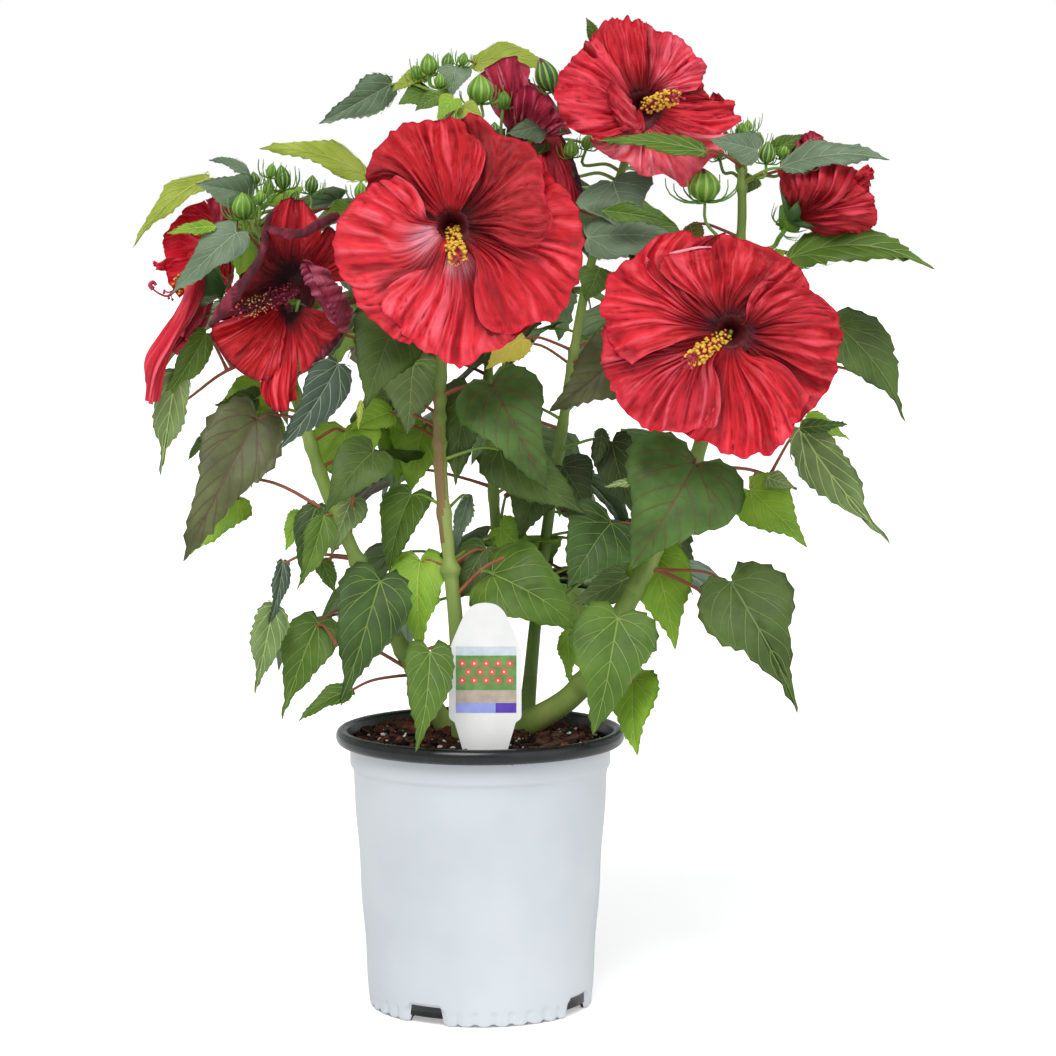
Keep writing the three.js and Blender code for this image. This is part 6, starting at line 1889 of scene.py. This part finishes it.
def far_left_blooms():
    B = Build()
    # this red is set brighter to make up for the bloom facing away from the lamps: painted light
    red = dict(RED, main="#e41c38", light="#f4607a", back="#e02240", rim="#ea2c4a", deep="#b01028")
    wine = dict(RED, main="#a82444", light="#eaa0b0", deep="#741430", rim="#c02440", back="#b02440")
    sheet(B, 0, [[(224, 233, .030), (214, 213, .036), (204, 200, .030)], [(222, 235, .030), (200, 217, .034), (182, 211, .022)], [(221, 239, .030), (192, 232, .030), (168, 230, .016)],
                 [(221, 243, .030), (192, 250, .026), (164, 253, .010)], [(222, 248, .030), (192, 266, .024), (166, 272, .006)], [(224, 252, .030), (200, 280, .022), (178, 299, .004)]],
          red, 401, eye=0.0, relief=0.9, ns=80)
    sheet(B, 1, [[(222, 237, .026), (213, 217, .018), (206, 199, .012)], [(225, 235, .024), (223, 214, .010), (221, 196, .004)], [(228, 236, .024), (232, 217, .008), (233, 198, .004)],
                 [(229, 241, .026), (237, 230, .014), (240, 217, .010)]], wine, 402, eye=0.0, relief=0.8, freq=1.3)
    sheet(B, 2, [[(225, 250, .034), (220, 270, .044), (216, 288, .040)], [(229, 248, .034), (228, 270, .046), (225, 294, .042)], [(232, 244, .034), (234, 262, .044), (233, 282, .040)]],
          red, 403, eye=0.0, relief=0.8)
    sheet(B, 3, [[(170, 255, .012), (160, 262, .004), (153, 261, .0)], [(170, 262, .012), (160, 266, .002), (153, 265, -.002)], [(170, 270, .012), (162, 271, .004), (157, 269, .0)]],
          red, 404, ns=20, nt=20, eye=0.0, relief=0.4, ruffle=0.5)
    sheet(B, 4, [[(226, 236, .034), (226, 222, .056), (216, 206, .070)], [(224, 243, .036), (206, 236, .066), (188, 226, .074)], [(225, 250, .036), (206, 258, .066), (184, 262, .070)],
                 [(229, 252, .036), (226, 272, .062), (214, 286, .066)]], dict(red, main="#a81424"), 405, eye=0.2, face=(-0.4, 1, 0))
    piece(B.make("bloom_far_left_upper_petals", [PETAL], uv=True, col=True, uv2=True), "petal", "bloom_far_left_upper")
    C = Build()
    cc = stamens(C, P(196, 268, .010), (-0.66, -0.35, -0.66), 0.026, (0, 0, 0), 26, 72, thick=0.7, first=0.45)
    for k, (pts, r0) in enumerate([([P(176, 290, -.006), P(168, 296, -.010), P(160, 294, -.012), P(153, 289, -.013), P(150, 284, -.013)], .0011), ([P(153, 289, -.013), P(150, 285, -.014), P(153, 282, -.013), P(156, 285, -.012)], .0020)]):
        tube(C, spline(pts, 16), np.linspace(r0, r0 * 0.7, 16), 8, 0)
    green_cup(C, P(227, 242, .030), (0.9, 0.3, 0.1), 0.06, np.random.default_rng(4), 3)
    piece(C.make("bloom_far_left_upper_column", [COLUMN, ANTHER, COLUMN, BUD_A, BUD_B]), "petal")
    D = Build()
    low = dict(RED, main="#cc2038", light="#f27c8c", deep="#8c1024", rim="#c83048", back="#8e1c34")
    sheet(D, 0, [[(203, 251, -.010), (191, 275, -.030), (181, 303, -.040), (161, 333, -.045), (145, 362, -.045), (146, 398, -.040)],
                 [(205, 250, -.020), (197, 278, -.046), (187, 308, -.056), (168, 340, -.060), (154, 366, -.058), (149, 403, -.050)],
                 [(207, 252, -.015), (203, 282, -.036), (192, 314, -.046), (175, 343, -.050), (163, 370, -.050), (155, 402, -.045)],
                 [(208, 258, -.005), (206, 287, -.020), (196, 312, -.030), (181, 334, -.035), (168, 362, -.038), (159, 397, -.035)]],
          low, 411, ns=56, nt=80, eye=0.0, relief=0.9, freq=1.2, ruffle=0.6)
    sheet(D, 1, [[(206, 262, .0), (203, 286, -.004), (196, 312, -.014), (180, 336, -.020)], [(209, 268, .006), (208, 292, .004), (203, 314, -.004), (186, 338, -.012)],
                 [(210, 276, .014), (212, 296, .014), (206, 318, .004), (190, 342, -.006)]], dict(low, main="#a8283e"), 412, eye=0.0, relief=0.7)
    sheet(D, 2, [[(206, 262, .012), (196, 286, .034), (182, 312, .036), (164, 344, .030)], [(209, 272, .020), (204, 296, .044), (192, 324, .048), (172, 352, .040)],
                 [(212, 282, .018), (210, 306, .034), (200, 330, .036), (182, 356, .028)]], low, 413, eye=0.0, face=(0, 1, 0))
    piece(D.make("bloom_far_left_lower_petals", [PETAL], uv=True, col=True, uv2=True), "petal", "bloom_far_left_lower")
    E = Build()
    green_cup(E, P(206, 284, -.008), (1, 0.05, -0.42), 0.08, np.random.default_rng(5), 4, size=1.15, spread=1.2)
    tube(E, spline([P(216, 294, -.008), P(226, 300, -.004), stem_at("stem_left", 560)], 16), 0.0017, 8, 3)
    piece(E.make("bloom_far_left_lower_calyx", [COLUMN, ANTHER, COLUMN, BUD_A, BUD_D]), "petal")


def closing_bloom():
    B = Build()
    red = dict(RED, main="#b81628", light="#e2566a", back="#a01426", rim="#c82842", deep="#7c0a1a")
    sheet(B, 0, [[(796, 214, .0), (812, 190, -.022), (831, 163, -.030)], [(797, 216, -.004), (825, 198, -.036), (853, 178, -.038)], [(798, 218, -.006), (836, 206, -.045), (872, 197, -.038)],
                 [(799, 221, -.006), (838, 216, -.045), (877, 217, -.034)], [(800, 224, -.004), (836, 228, -.036), (867, 236, -.020)], [(801, 227, .0), (825, 234, -.016), (846, 240, .0)]],
          red, 501, ns=70, nt=42, eye=0.0, relief=1.2, freq=1.6)
    sheet(B, 1, [[(794, 212, .0), (783, 195, -.004), (776, 174, -.004)], [(796, 212, -.008), (795, 190, -.028), (792, 163, -.020)], [(799, 213, -.012), (811, 188, -.040), (812, 158, -.026)],
                 [(801, 214, -.012), (827, 192, -.046), (835, 158, -.032)], [(803, 216, -.010), (838, 202, -.050), (858, 170, -.036)]],
          dict(red, main="#ac1426"), 502, ns=66, eye=0.0, relief=1.2, freq=1.5)
    sheet(B, 2, [[(800, 172, .010), (792, 158, .006), (788, 150, .004)], [(806, 170, .006), (803, 150, .0), (800, 137, -.002)], [(813, 170, .004), (814, 148, -.002), (813, 131, -.004)],
                 [(821, 170, .008), (823, 152, .004), (827, 142, .004)]], dict(red, main="#b43050", light="#ee8aa0"), 503, ns=44, nt=30, eye=0.0, relief=1.3, freq=2.4, ruffle=1.4)
    sheet(B, 3, [[(845, 180, .0), (857, 171, -.004), (868, 166, -.006)], [(848, 184, -.004), (863, 177, -.010), (874, 171, -.010)], [(850, 191, .0), (863, 188, -.004), (869, 186, -.002)]],
          dict(red, main="#c81c30"), 504, ns=36, nt=26, eye=0.0, relief=0.8, freq=1.6)
    sheet(B, 4, [[(795, 213, .004), (800, 186, .030), (812, 160, .026)], [(797, 216, .012), (818, 194, .046), (842, 168, .034)], [(799, 219, .014), (838, 205, .050), (868, 190, .032)],
                 [(800, 223, .012), (838, 222, .044), (874, 218, .024)], [(800, 227, .004), (830, 235, .024), (852, 240, .010)]], red, 505, ns=50, eye=0.0, relief=1.2, freq=1.5, face=(0, 1, 0))
    sheet(B, 5, [[(800, 214, -.002), (828, 190, -.010), (846, 168, -.012)], [(802, 218, .002), (836, 206, .0), (868, 196, .0)], [(802, 222, .004), (834, 220, .008), (866, 222, .010)]],
          dict(red, main="#8c0e1e"), 506, ns=50, eye=0.2, relief=1.2)
    piece(B.make("bloom_right_closing_petals", [PETAL], uv=True, col=True, uv2=True), "petal", "bloom_right_closing")
    C = Build()
    green_cup(C, P(792, 219, .002), (-0.82, 0.1, -0.55), 0.08, np.random.default_rng(8), 3, size=0.85)
    # one broad calyx lobe lies over the petals
    for k, (tipx, tipy, yy) in enumerate([(799, 199, -.026), (824, 229, -.016), (779, 186, -.010)]):
        base, tip = P(791, 222, -.012), P(tipx, tipy, yy)
        side = unit(np.cross(tip - base, [0, -1, 0])) * (0.0058 if k == 0 else 0.003)
        rows = []
        for t in np.linspace(0, 1, 12):
            w = math.sin(math.pi * (0.22 + 0.78 * t)) ** 1.3 * (1 - 0.35 * t) if t < 1 else 0.0
            m = base + (tip - base) * t + np.array([0, -0.006 * math.sin(math.pi * t), 0])
            rows.append([m + side * w * q + np.array([0, 0.002 * q * q, 0]) for q in np.linspace(-1, 1, 7)])
        g = np.array(rows).reshape(-1, 3)
        q = grid_quads(12, 7)
        C.add(np.vstack([g, g + [0, .0006, 0]]), np.vstack([q, q[:, [0, 3, 2, 1]] + 84]), mat=5)
    tube(C, spline([P(787, 227, .0), P(779, 238, .0), P(771, 248, .004), stem_at("stem_right", 600)], 18), 0.0019, 8, 3)
    piece(C.make("bloom_right_closing_calyx", [COLUMN, ANTHER, COLUMN, BUD_A, BUD_B, BUD_D]), "petal")


def rear_bloom():
    B = Build()
    wine = dict(WINE, main="#b82c50", light="#ea9cb0", deep="#801838", rim="#8c2048")
    sheet(B, 0, [[(509, 128, .045), (497, 104, .032), (481, 73, .030)], [(511, 127, .043), (503, 95, .022), (492, 64, .020)], [(514, 126, .042), (511, 92, .018), (506, 57, .020)],
                 [(517, 126, .042), (522, 95, .022), (521, 59, .026)], [(520, 126, .044), (531, 102, .032), (531, 80, .036)]], wine, 601, ns=72, eye=0.0, relief=0.9, freq=1.5)
    sheet(B, 1, [[(516, 131, .034), (513, 112, .006), (514, 92, .0)], [(521, 131, .032), (524, 108, .0), (527, 86, -.006)], [(528, 132, .032), (538, 112, .0), (545, 96, -.004)],
                 [(536, 134, .034), (550, 122, .004), (558, 113, .004)], [(543, 138, .036), (557, 135, .012), (563, 133, .014)]], dict(wine, main="#b0284c"), 602, ns=72, eye=0.0, relief=0.9, freq=1.5)
    sheet(B, 2, [[(532, 138, .040), (528, 160, .034), (524, 184, .028)], [(540, 137, .036), (546, 166, .022), (552, 202, .018)], [(550, 136, .034), (563, 166, .018), (573, 204, .014)],
                 [(560, 135, .034), (575, 165, .022), (586, 210, .020)]], dict(DARKRED, main="#a01428", light="#c83a4c", rim="#3a0a1c"), 603, ns=64, eye=0.0, relief=1.1, freq=1.3)
    scroll("bloom_rear_dark_rim", [P(561, 136, .026), P(569, 152, .020), P(577, 176, .014), P(585, 206, .012)], [.0014, .0020, .0026, .0016], dict(main="#3c0a1c", light="#7c2c48", deep="#1c040c"), 23)
    sheet(B, 3, [[(508, 130, .052), (496, 112, .066), (486, 96, .072)], [(518, 132, .056), (516, 104, .076), (512, 78, .080)], [(532, 134, .056), (540, 112, .076), (546, 92, .078)],
                 [(544, 138, .052), (560, 136, .068), (572, 134, .070)]], BURG, 604, eye=0.2, face=(0, 1, 0))
    sheet(B, 4, [[(512, 134, .052), (500, 150, .062), (492, 168, .060)], [(526, 138, .054), (526, 164, .066), (524, 190, .064)], [(542, 140, .050), (558, 164, .060), (570, 188, .058)]],
          BURG, 605, eye=0.2, face=(0, 1, 0))
    piece(B.make("bloom_rear_dark_petals", [PETAL_DARK], uv=True, col=True, uv2=True), "petal_dark", "bloom_rear_dark")
    C = Build()
    green_cup(C, P(526, 134, .054), (0.1, 1, -0.2), 0.08, np.random.default_rng(9), 3)
    tube(C, spline([P(526, 136, .066), P(528, 150, .070), stem_at("stem_back", 640)], 16), 0.0018, 8, 3)
    piece(C.make("bloom_rear_dark_calyx", [COLUMN, ANTHER, COLUMN, BUD_A, BUD_B]), "petal_dark")


def blooms():
    # centre given at the throat, a little behind the open petals
    front_blooms()
    fading_bloom()
    rear_bloom()
    far_left_blooms()
    closing_bloom()
    bloom("bloom_back_left", (-0.036, 0.196, 0.612), (-0.3, 1, 0.18), 0.082, FLAT, seed=63, spin=1.1, ns=48, nt=30, crinkle=1.2, twirl=7, column=0.050)
    bloom("bloom_back_right", (0.173, 0.175, 0.544), (0.35, 1, 0.1), 0.080, FLAT, seed=67, spin=0.7, ns=48, nt=30, crinkle=1.2, twirl=7, column=0.050)


# ------------------------------------------------------------------ buds
def bud(B, at, axis, L, W, seed=0, deep=False, fil=10, tip=False, fil_len=1.0, curl=1.0):
    r = np.random.default_rng(seed + 500)
    at = np.asarray(at, float)
    ax = unit(axis)
    X = unit(np.cross(ax, [0.31, 0.9, 0.2]))
    Y = np.cross(ax, X)
    N, M = 60, 14
    th = np.arange(N) * 2 * math.pi / N
    rows = []
    for i in range(M):
        t = i / (M - 1.0)
        rad = W / 2 * (math.sin(math.pi * min(t * 1.02, 1.0) ** 0.82) ** 0.75) if 0 < t < 1 else 0.0
        rib = 1 + 0.05 * np.cos(10 * th) * smooth(0.05, 0.3, t) * (1 - smooth(0.85, 1, t))
        tw = 0.25 * t
        rr = rad * rib
        rows.append(at + ax * (t * L) + rr[:, None] * (np.cos(th + tw)[:, None] * X + np.sin(th + tw)[:, None] * Y))
    v = np.concatenate(rows)
    q = grid_quads(M, N, True)
    col = np.tile(np.arange(N), M - 1)
    m = np.where((col % 6 == 5) | (col % 6 == 0), 1, 2 if deep else 0)
    if tip:
        row = np.repeat(np.arange(M - 1), N)
        m = np.where((row > M * 0.74) & ((col % 12 < 7) | (row > M * 0.85)), 3, m)
    B.add(v, q, mat=m)
    for k in range(fil):
        w = k * 2 * math.pi / fil + r.normal(0, 0.12)
        o = math.cos(w) * X + math.sin(w) * Y
        l = L * (0.75 + 0.35 * r.random()) * fil_len
        p = spline([at + o * W * 0.12, at + o * (W * 0.42 + l * 0.22) + ax * l * 0.04, at + o * (W * 0.5 + l * 0.38 * curl) + ax * l * 0.34, at + o * (W * 0.45 + l * 0.45 * curl) + ax * l * 0.72], 7)
        tube(B, p, np.linspace(W * 0.035, W * 0.008, 7) + 0.0002, 5, 0)


def bud_groups():
    B = Build()

    def place(u, v, y, L, W, ax=(0, 0, 1), where=None, r=0.0014, drop=0.016, **kw):
        at = P(u, v, y)
        ax = unit(ax)
        bud(B, at, ax, L, W, **kw)
        best = None
        for name in ([where] if where else STEMS):
            c = CURVES[name]
            low = c[c[:, 2] < at[2] - drop]
            i = int(np.argmin(np.linalg.norm(low - at, axis=1)))
            dd = np.linalg.norm(low[i] - at)
            if best is None or dd < best[0]:
                best = (dd, low[i])
        s = best[1]
        D = np.linalg.norm(at - s)
        p = spline([s, s + (at - s) * 0.42 + np.array([0, 0, -0.03 * D]), at - ax * min(0.35 * D, 0.016), at + ax * 0.001], 14)
        tube(B, p, np.linspace(r * 1.1, r * 0.85, 14), 7, 4)

    # left cluster
    place(244, 219, -.02, .021, .0175, (-.05, -.1, 1), "stem_left", seed=1, fil_len=1.1)
    place(284, 190, .0, .020, .013, (-.12, 0, 1), "stem_left", seed=2, deep=True, fil_len=1.2)
    place(268, 196, .02, .014, .009, (.05, 0, 1), "stem_left", seed=3)
    place(256, 186, .03, .012, .008, (-.2, 0, 1), "stem_left", seed=4, deep=True)
    place(270, 178, -.01, .012, .008, (.2, -.1, 1), "stem_left", seed=5, fil_len=1.4)
    place(260, 204, -.03, .012, .008, (.1, -.2, 1), "stem_left", seed=6, fil_len=1.4)
    place(292, 206, .01, .013, .008, (.35, 0, 1), "stem_left", seed=7, deep=True, fil_len=1.3)
    # top-left cluster
    place(481, 104, -.005, .0235, .0205, (-.05, -.1, 1), "stem_front", seed=8, fil_len=.8)
    place(430, 76, .01, .018, .014, (-.1, 0, 1), "stem_front", seed=9, fil_len=1.1)
    place(418, 80, .02, .012, .009, (-.3, 0, 1), "stem_front", seed=10)
    place(447, 70, .03, .014, .010, (.1, 0, 1), "stem_front", seed=11, deep=True, fil_len=1.2)
    place(462, 66, .0, .011, .008, (.2, 0, 1), "stem_front", seed=12, fil_len=1.4)
    place(440, 88, -.01, .012, .009, (0, -.2, 1), "stem_front", seed=13, fil_len=1.3)
    place(552, 92, .02, .0285, .0185, (-.35, 0, 1), "stem_back", seed=14, deep=True, tip=True, fil_len=.7)
    place(503, 108, .02, .014, .010, (.1, 0, 1), "stem_back", seed=29, fil_len=1.2)
    # right cluster
    place(705, 202, -.03, .0265, .0245, (-.06, -.1, 1), "stem_right", drop=.05, seed=15, tip=True, fil_len=1.0, curl=1.5)
    place(742, 140, .0, .014, .011, (0, 0, 1), "stem_right", seed=16, fil_len=1.5)
    place(728, 146, -.01, .012, .009, (-.2, -.1, 1), "stem_right", seed=17, fil_len=1.5)
    place(756, 148, .01, .013, .010, (.2, 0, 1), "stem_right", seed=18, deep=True, fil_len=1.4)
    place(766, 164, -.01, .018, .0135, (.1, 0, 1), "stem_right", seed=19, deep=True, fil_len=1.0)
    place(782, 160, .0, .014, .010, (.25, 0, 1), "stem_right", seed=20, fil_len=1.2)
    place(736, 158, .02, .013, .010, (-.1, 0, 1), "stem_right", seed=21, fil_len=1.3)
    place(748, 132, .02, .010, .007, (0, .1, 1), "stem_right", seed=22, fil_len=1.8)
    place(720, 160, .02, .012, .009, (-.3, .1, 1), "stem_right", seed=23, fil_len=1.2)
    # under the top bloom
    place(572, 158, .02, .015, .012, (-.1, 0, 1), "stem_centre", seed=24, fil_len=1.1)
    place(586, 150, .03, .013, .010, (.2, 0, 1), "stem_centre", seed=25, fil_len=1.1)
    # back
    for i, (x, y, z) in enumerate([(-.02, .16, .70), (.01, .17, .69), (.13, .15, .665), (.16, .13, .68), (-.10, .13, .640), (-.14, .11, .645)]):
        u, v = project(np.array([x, y, z]))
        place(float(u), float(v), y, .016, .011, (.1 * (i % 3 - 1), .1, 1), None, seed=40 + i, fil_len=1.1, deep=bool(i % 2))
    ob = B.make("buds", [BUD_A, BUD_B, BUD_D, BUD_TIP, PET_GREEN])
    piece(ob, "bough")


# ------------------------------------------------------------------ seeded growth on the sides and back
def back_leaves():
    r = np.random.default_rng(77)
    placed = []
    want = 96
    tries = 0
    names = list(STEMS) + [k for k in BOUGH_C if "back" in k]
    while len(placed) < want and tries < 6000:
        tries += 1
        name = names[r.integers(len(names))]
        c = CURVES[name]
        i = int(r.uniform(0.12, 0.97) * (len(c) - 1))
        s = c[i]
        if s[2] < 0.26:
            continue
        ang = r.uniform(-0.15, math.pi + 0.15)  # away from the camera
        out = np.array([math.cos(ang), math.sin(ang), 0])
        reach = r.uniform(0.035, 0.095)
        base = s + out * reach + [0, 0, r.uniform(0.0, 0.035)]
        L = r.uniform(0.07, 0.115)
        droop = r.uniform(0.5, 1.3)
        d = unit(out + [r.normal(0, .25), r.normal(0, .25), -droop])
        tip = base + d * L
        if tip[1] < 0.035 or tip[1] > 0.248 or abs(tip[0] - 0.02) > 0.30 or base[2] > 0.74:
            continue
        w = L * r.uniform(0.62, 0.82)
        side = np.cross(d, unit(out + [0, 0, .8]))
        pts = np.array([base + d * L * t + side * w * 0.5 * q * (1 - t * 0.7) for t in np.linspace(0, 1, 6) for q in (-1, -.5, 0, .5, 1)])
        if covered(pts) < 0.97:
            continue
        mid = base + d * L * 0.45
        if any(np.linalg.norm(mid - m) < 0.036 for m in placed):
            continue
        shade = r.choice(list("dmmdbgpm"))
        leaf(base, tip, w, str(shade), face=unit(out + [0, 0, .9]), roll=r.normal(0, 14), kind=str(r.choice(["heart", "heart", "lobed", "ovate"])), fold=r.uniform(.06, .26),
             bow=r.uniform(.08, .17), curl=r.uniform(0, .14), wave=r.uniform(.05, .15), seed=1000 + tries, detail=0.8, show=False, twist=r.uniform(-.25, .25), side_bend=r.uniform(-.08, .08))
        stalk(base, d, name, seed=tries)
        placed.append(mid)
    print("back leaves", len(placed), "tries", tries)


# ------------------------------------------------------------------ make everything
pot()
soil()
label()
blooms()
front_leaves()
bud_groups()
back_leaves()
stems()
for k, B in SHEETS.items():
    if not B.n:
        print("EMPTY", k)
        continue
    ob = B.make(k + "_spray", MATS, uv=True)
    piece(ob, "leaves", k)
piece(STALKS.make("leaf_stalks", [PET_RED, PET_GREEN]), "bough")
print("triangles", sum(len(p.vertices) - 2 for o in bpy.context.scene.objects if o.type == "MESH" for p in o.data.polygons) if False else
      {k: B.tris() for k, B in SHEETS.items() if B.n})

# ------------------------------------------------------------------ stage, light, camera
sc = bpy.context.scene
fl = Build()
g = np.array([[x, y, -0.0006] for y in (-6, 40) for x in (-24, 24)], float)
fl.add(g, [[0, 1, 3, 2]], mat=0)
fm = Mat("floor_white", 0.9, 0.1)
fm.base(fm.ramp(fm.noise(3, 2), [(0.2, "#fcfcfc"), (0.8, "#ffffff")]))
# the seen floor is lifted towards the white of the paper, so only the shadow close to the pot stays
ft = fm.m.node_tree
shader = next(n for n in ft.nodes if n.type == "BSDF_PRINCIPLED")
direct = ft.nodes.new("ShaderNodeLightPath")
lift = ft.nodes.new("ShaderNodeMath")
lift.operation = "MULTIPLY"
lift.inputs[1].default_value = 0.38
ft.links.new(direct.outputs["Is Camera Ray"], lift.inputs[0])
glow = next(i for i in shader.inputs if i.name in ("Emission Color", "Emission"))
glow.default_value = (1, 1, 1, 1)
ft.links.new(lift.outputs[0], shader.inputs["Emission Strength"])
floor = fl.make("floor", [fm.m], smooth_on=False)

world = bpy.data.worlds.new("studio")
sc.world = world
world.use_nodes = True
wt = world.node_tree
soft = wt.nodes["Background"]
soft.inputs["Color"].default_value = (0.97, 0.985, 1, 1)
soft.inputs["Strength"].default_value = 0.55
white = wt.nodes.new("ShaderNodeBackground")
white.inputs["Color"].default_value = (1, 1, 1, 1)
white.inputs["Strength"].default_value = 1.0
seen = wt.nodes.new("ShaderNodeLightPath")
pick = wt.nodes.new("ShaderNodeMixShader")
wt.links.new(seen.outputs["Is Camera Ray"], pick.inputs[0])
wt.links.new(soft.outputs[0], pick.inputs[1])
wt.links.new(white.outputs[0], pick.inputs[2])
wt.links.new(pick.outputs[0], wt.nodes["World Output"].inputs["Surface"])


def sun(name, azimuth, height, power, spread, color=(1, 1, 1)):
    l = bpy.data.lights.new(name, "SUN")
    l.energy = power
    l.angle = math.radians(spread)
    l.color = color
    o = bpy.data.objects.new(name, l)
    a, h = math.radians(azimuth), math.radians(height)
    d = Vector((math.sin(a) * math.cos(h), -math.cos(a) * math.cos(h), math.sin(h)))
    o.location = d * 3
    o.rotation_euler = (-d).to_track_quat("-Z", "Y").to_euler()
    sc.collection.objects.link(o)


sun("key", -16, 50, 1.75, 32, (1, 0.99, 0.97))
sun("fill", 48, 24, 0.6, 60)

cam = bpy.data.cameras.new("camera")
cam.sensor_width = 36.0
cam.lens = 36.0 * FPX / W_IMG
cam.clip_start, cam.clip_end = 0.05, 60
co = bpy.data.objects.new("camera", cam)
co.location = CAM.tolist()
co.rotation_euler = (math.pi / 2 - TILT, 0, 0)
sc.collection.objects.link(co)
sc.camera = co
sc.view_settings.view_transform = "Standard"
sc.view_settings.look = "None"
sc.view_settings.exposure = 0.0

bpy.context.view_layer.update()
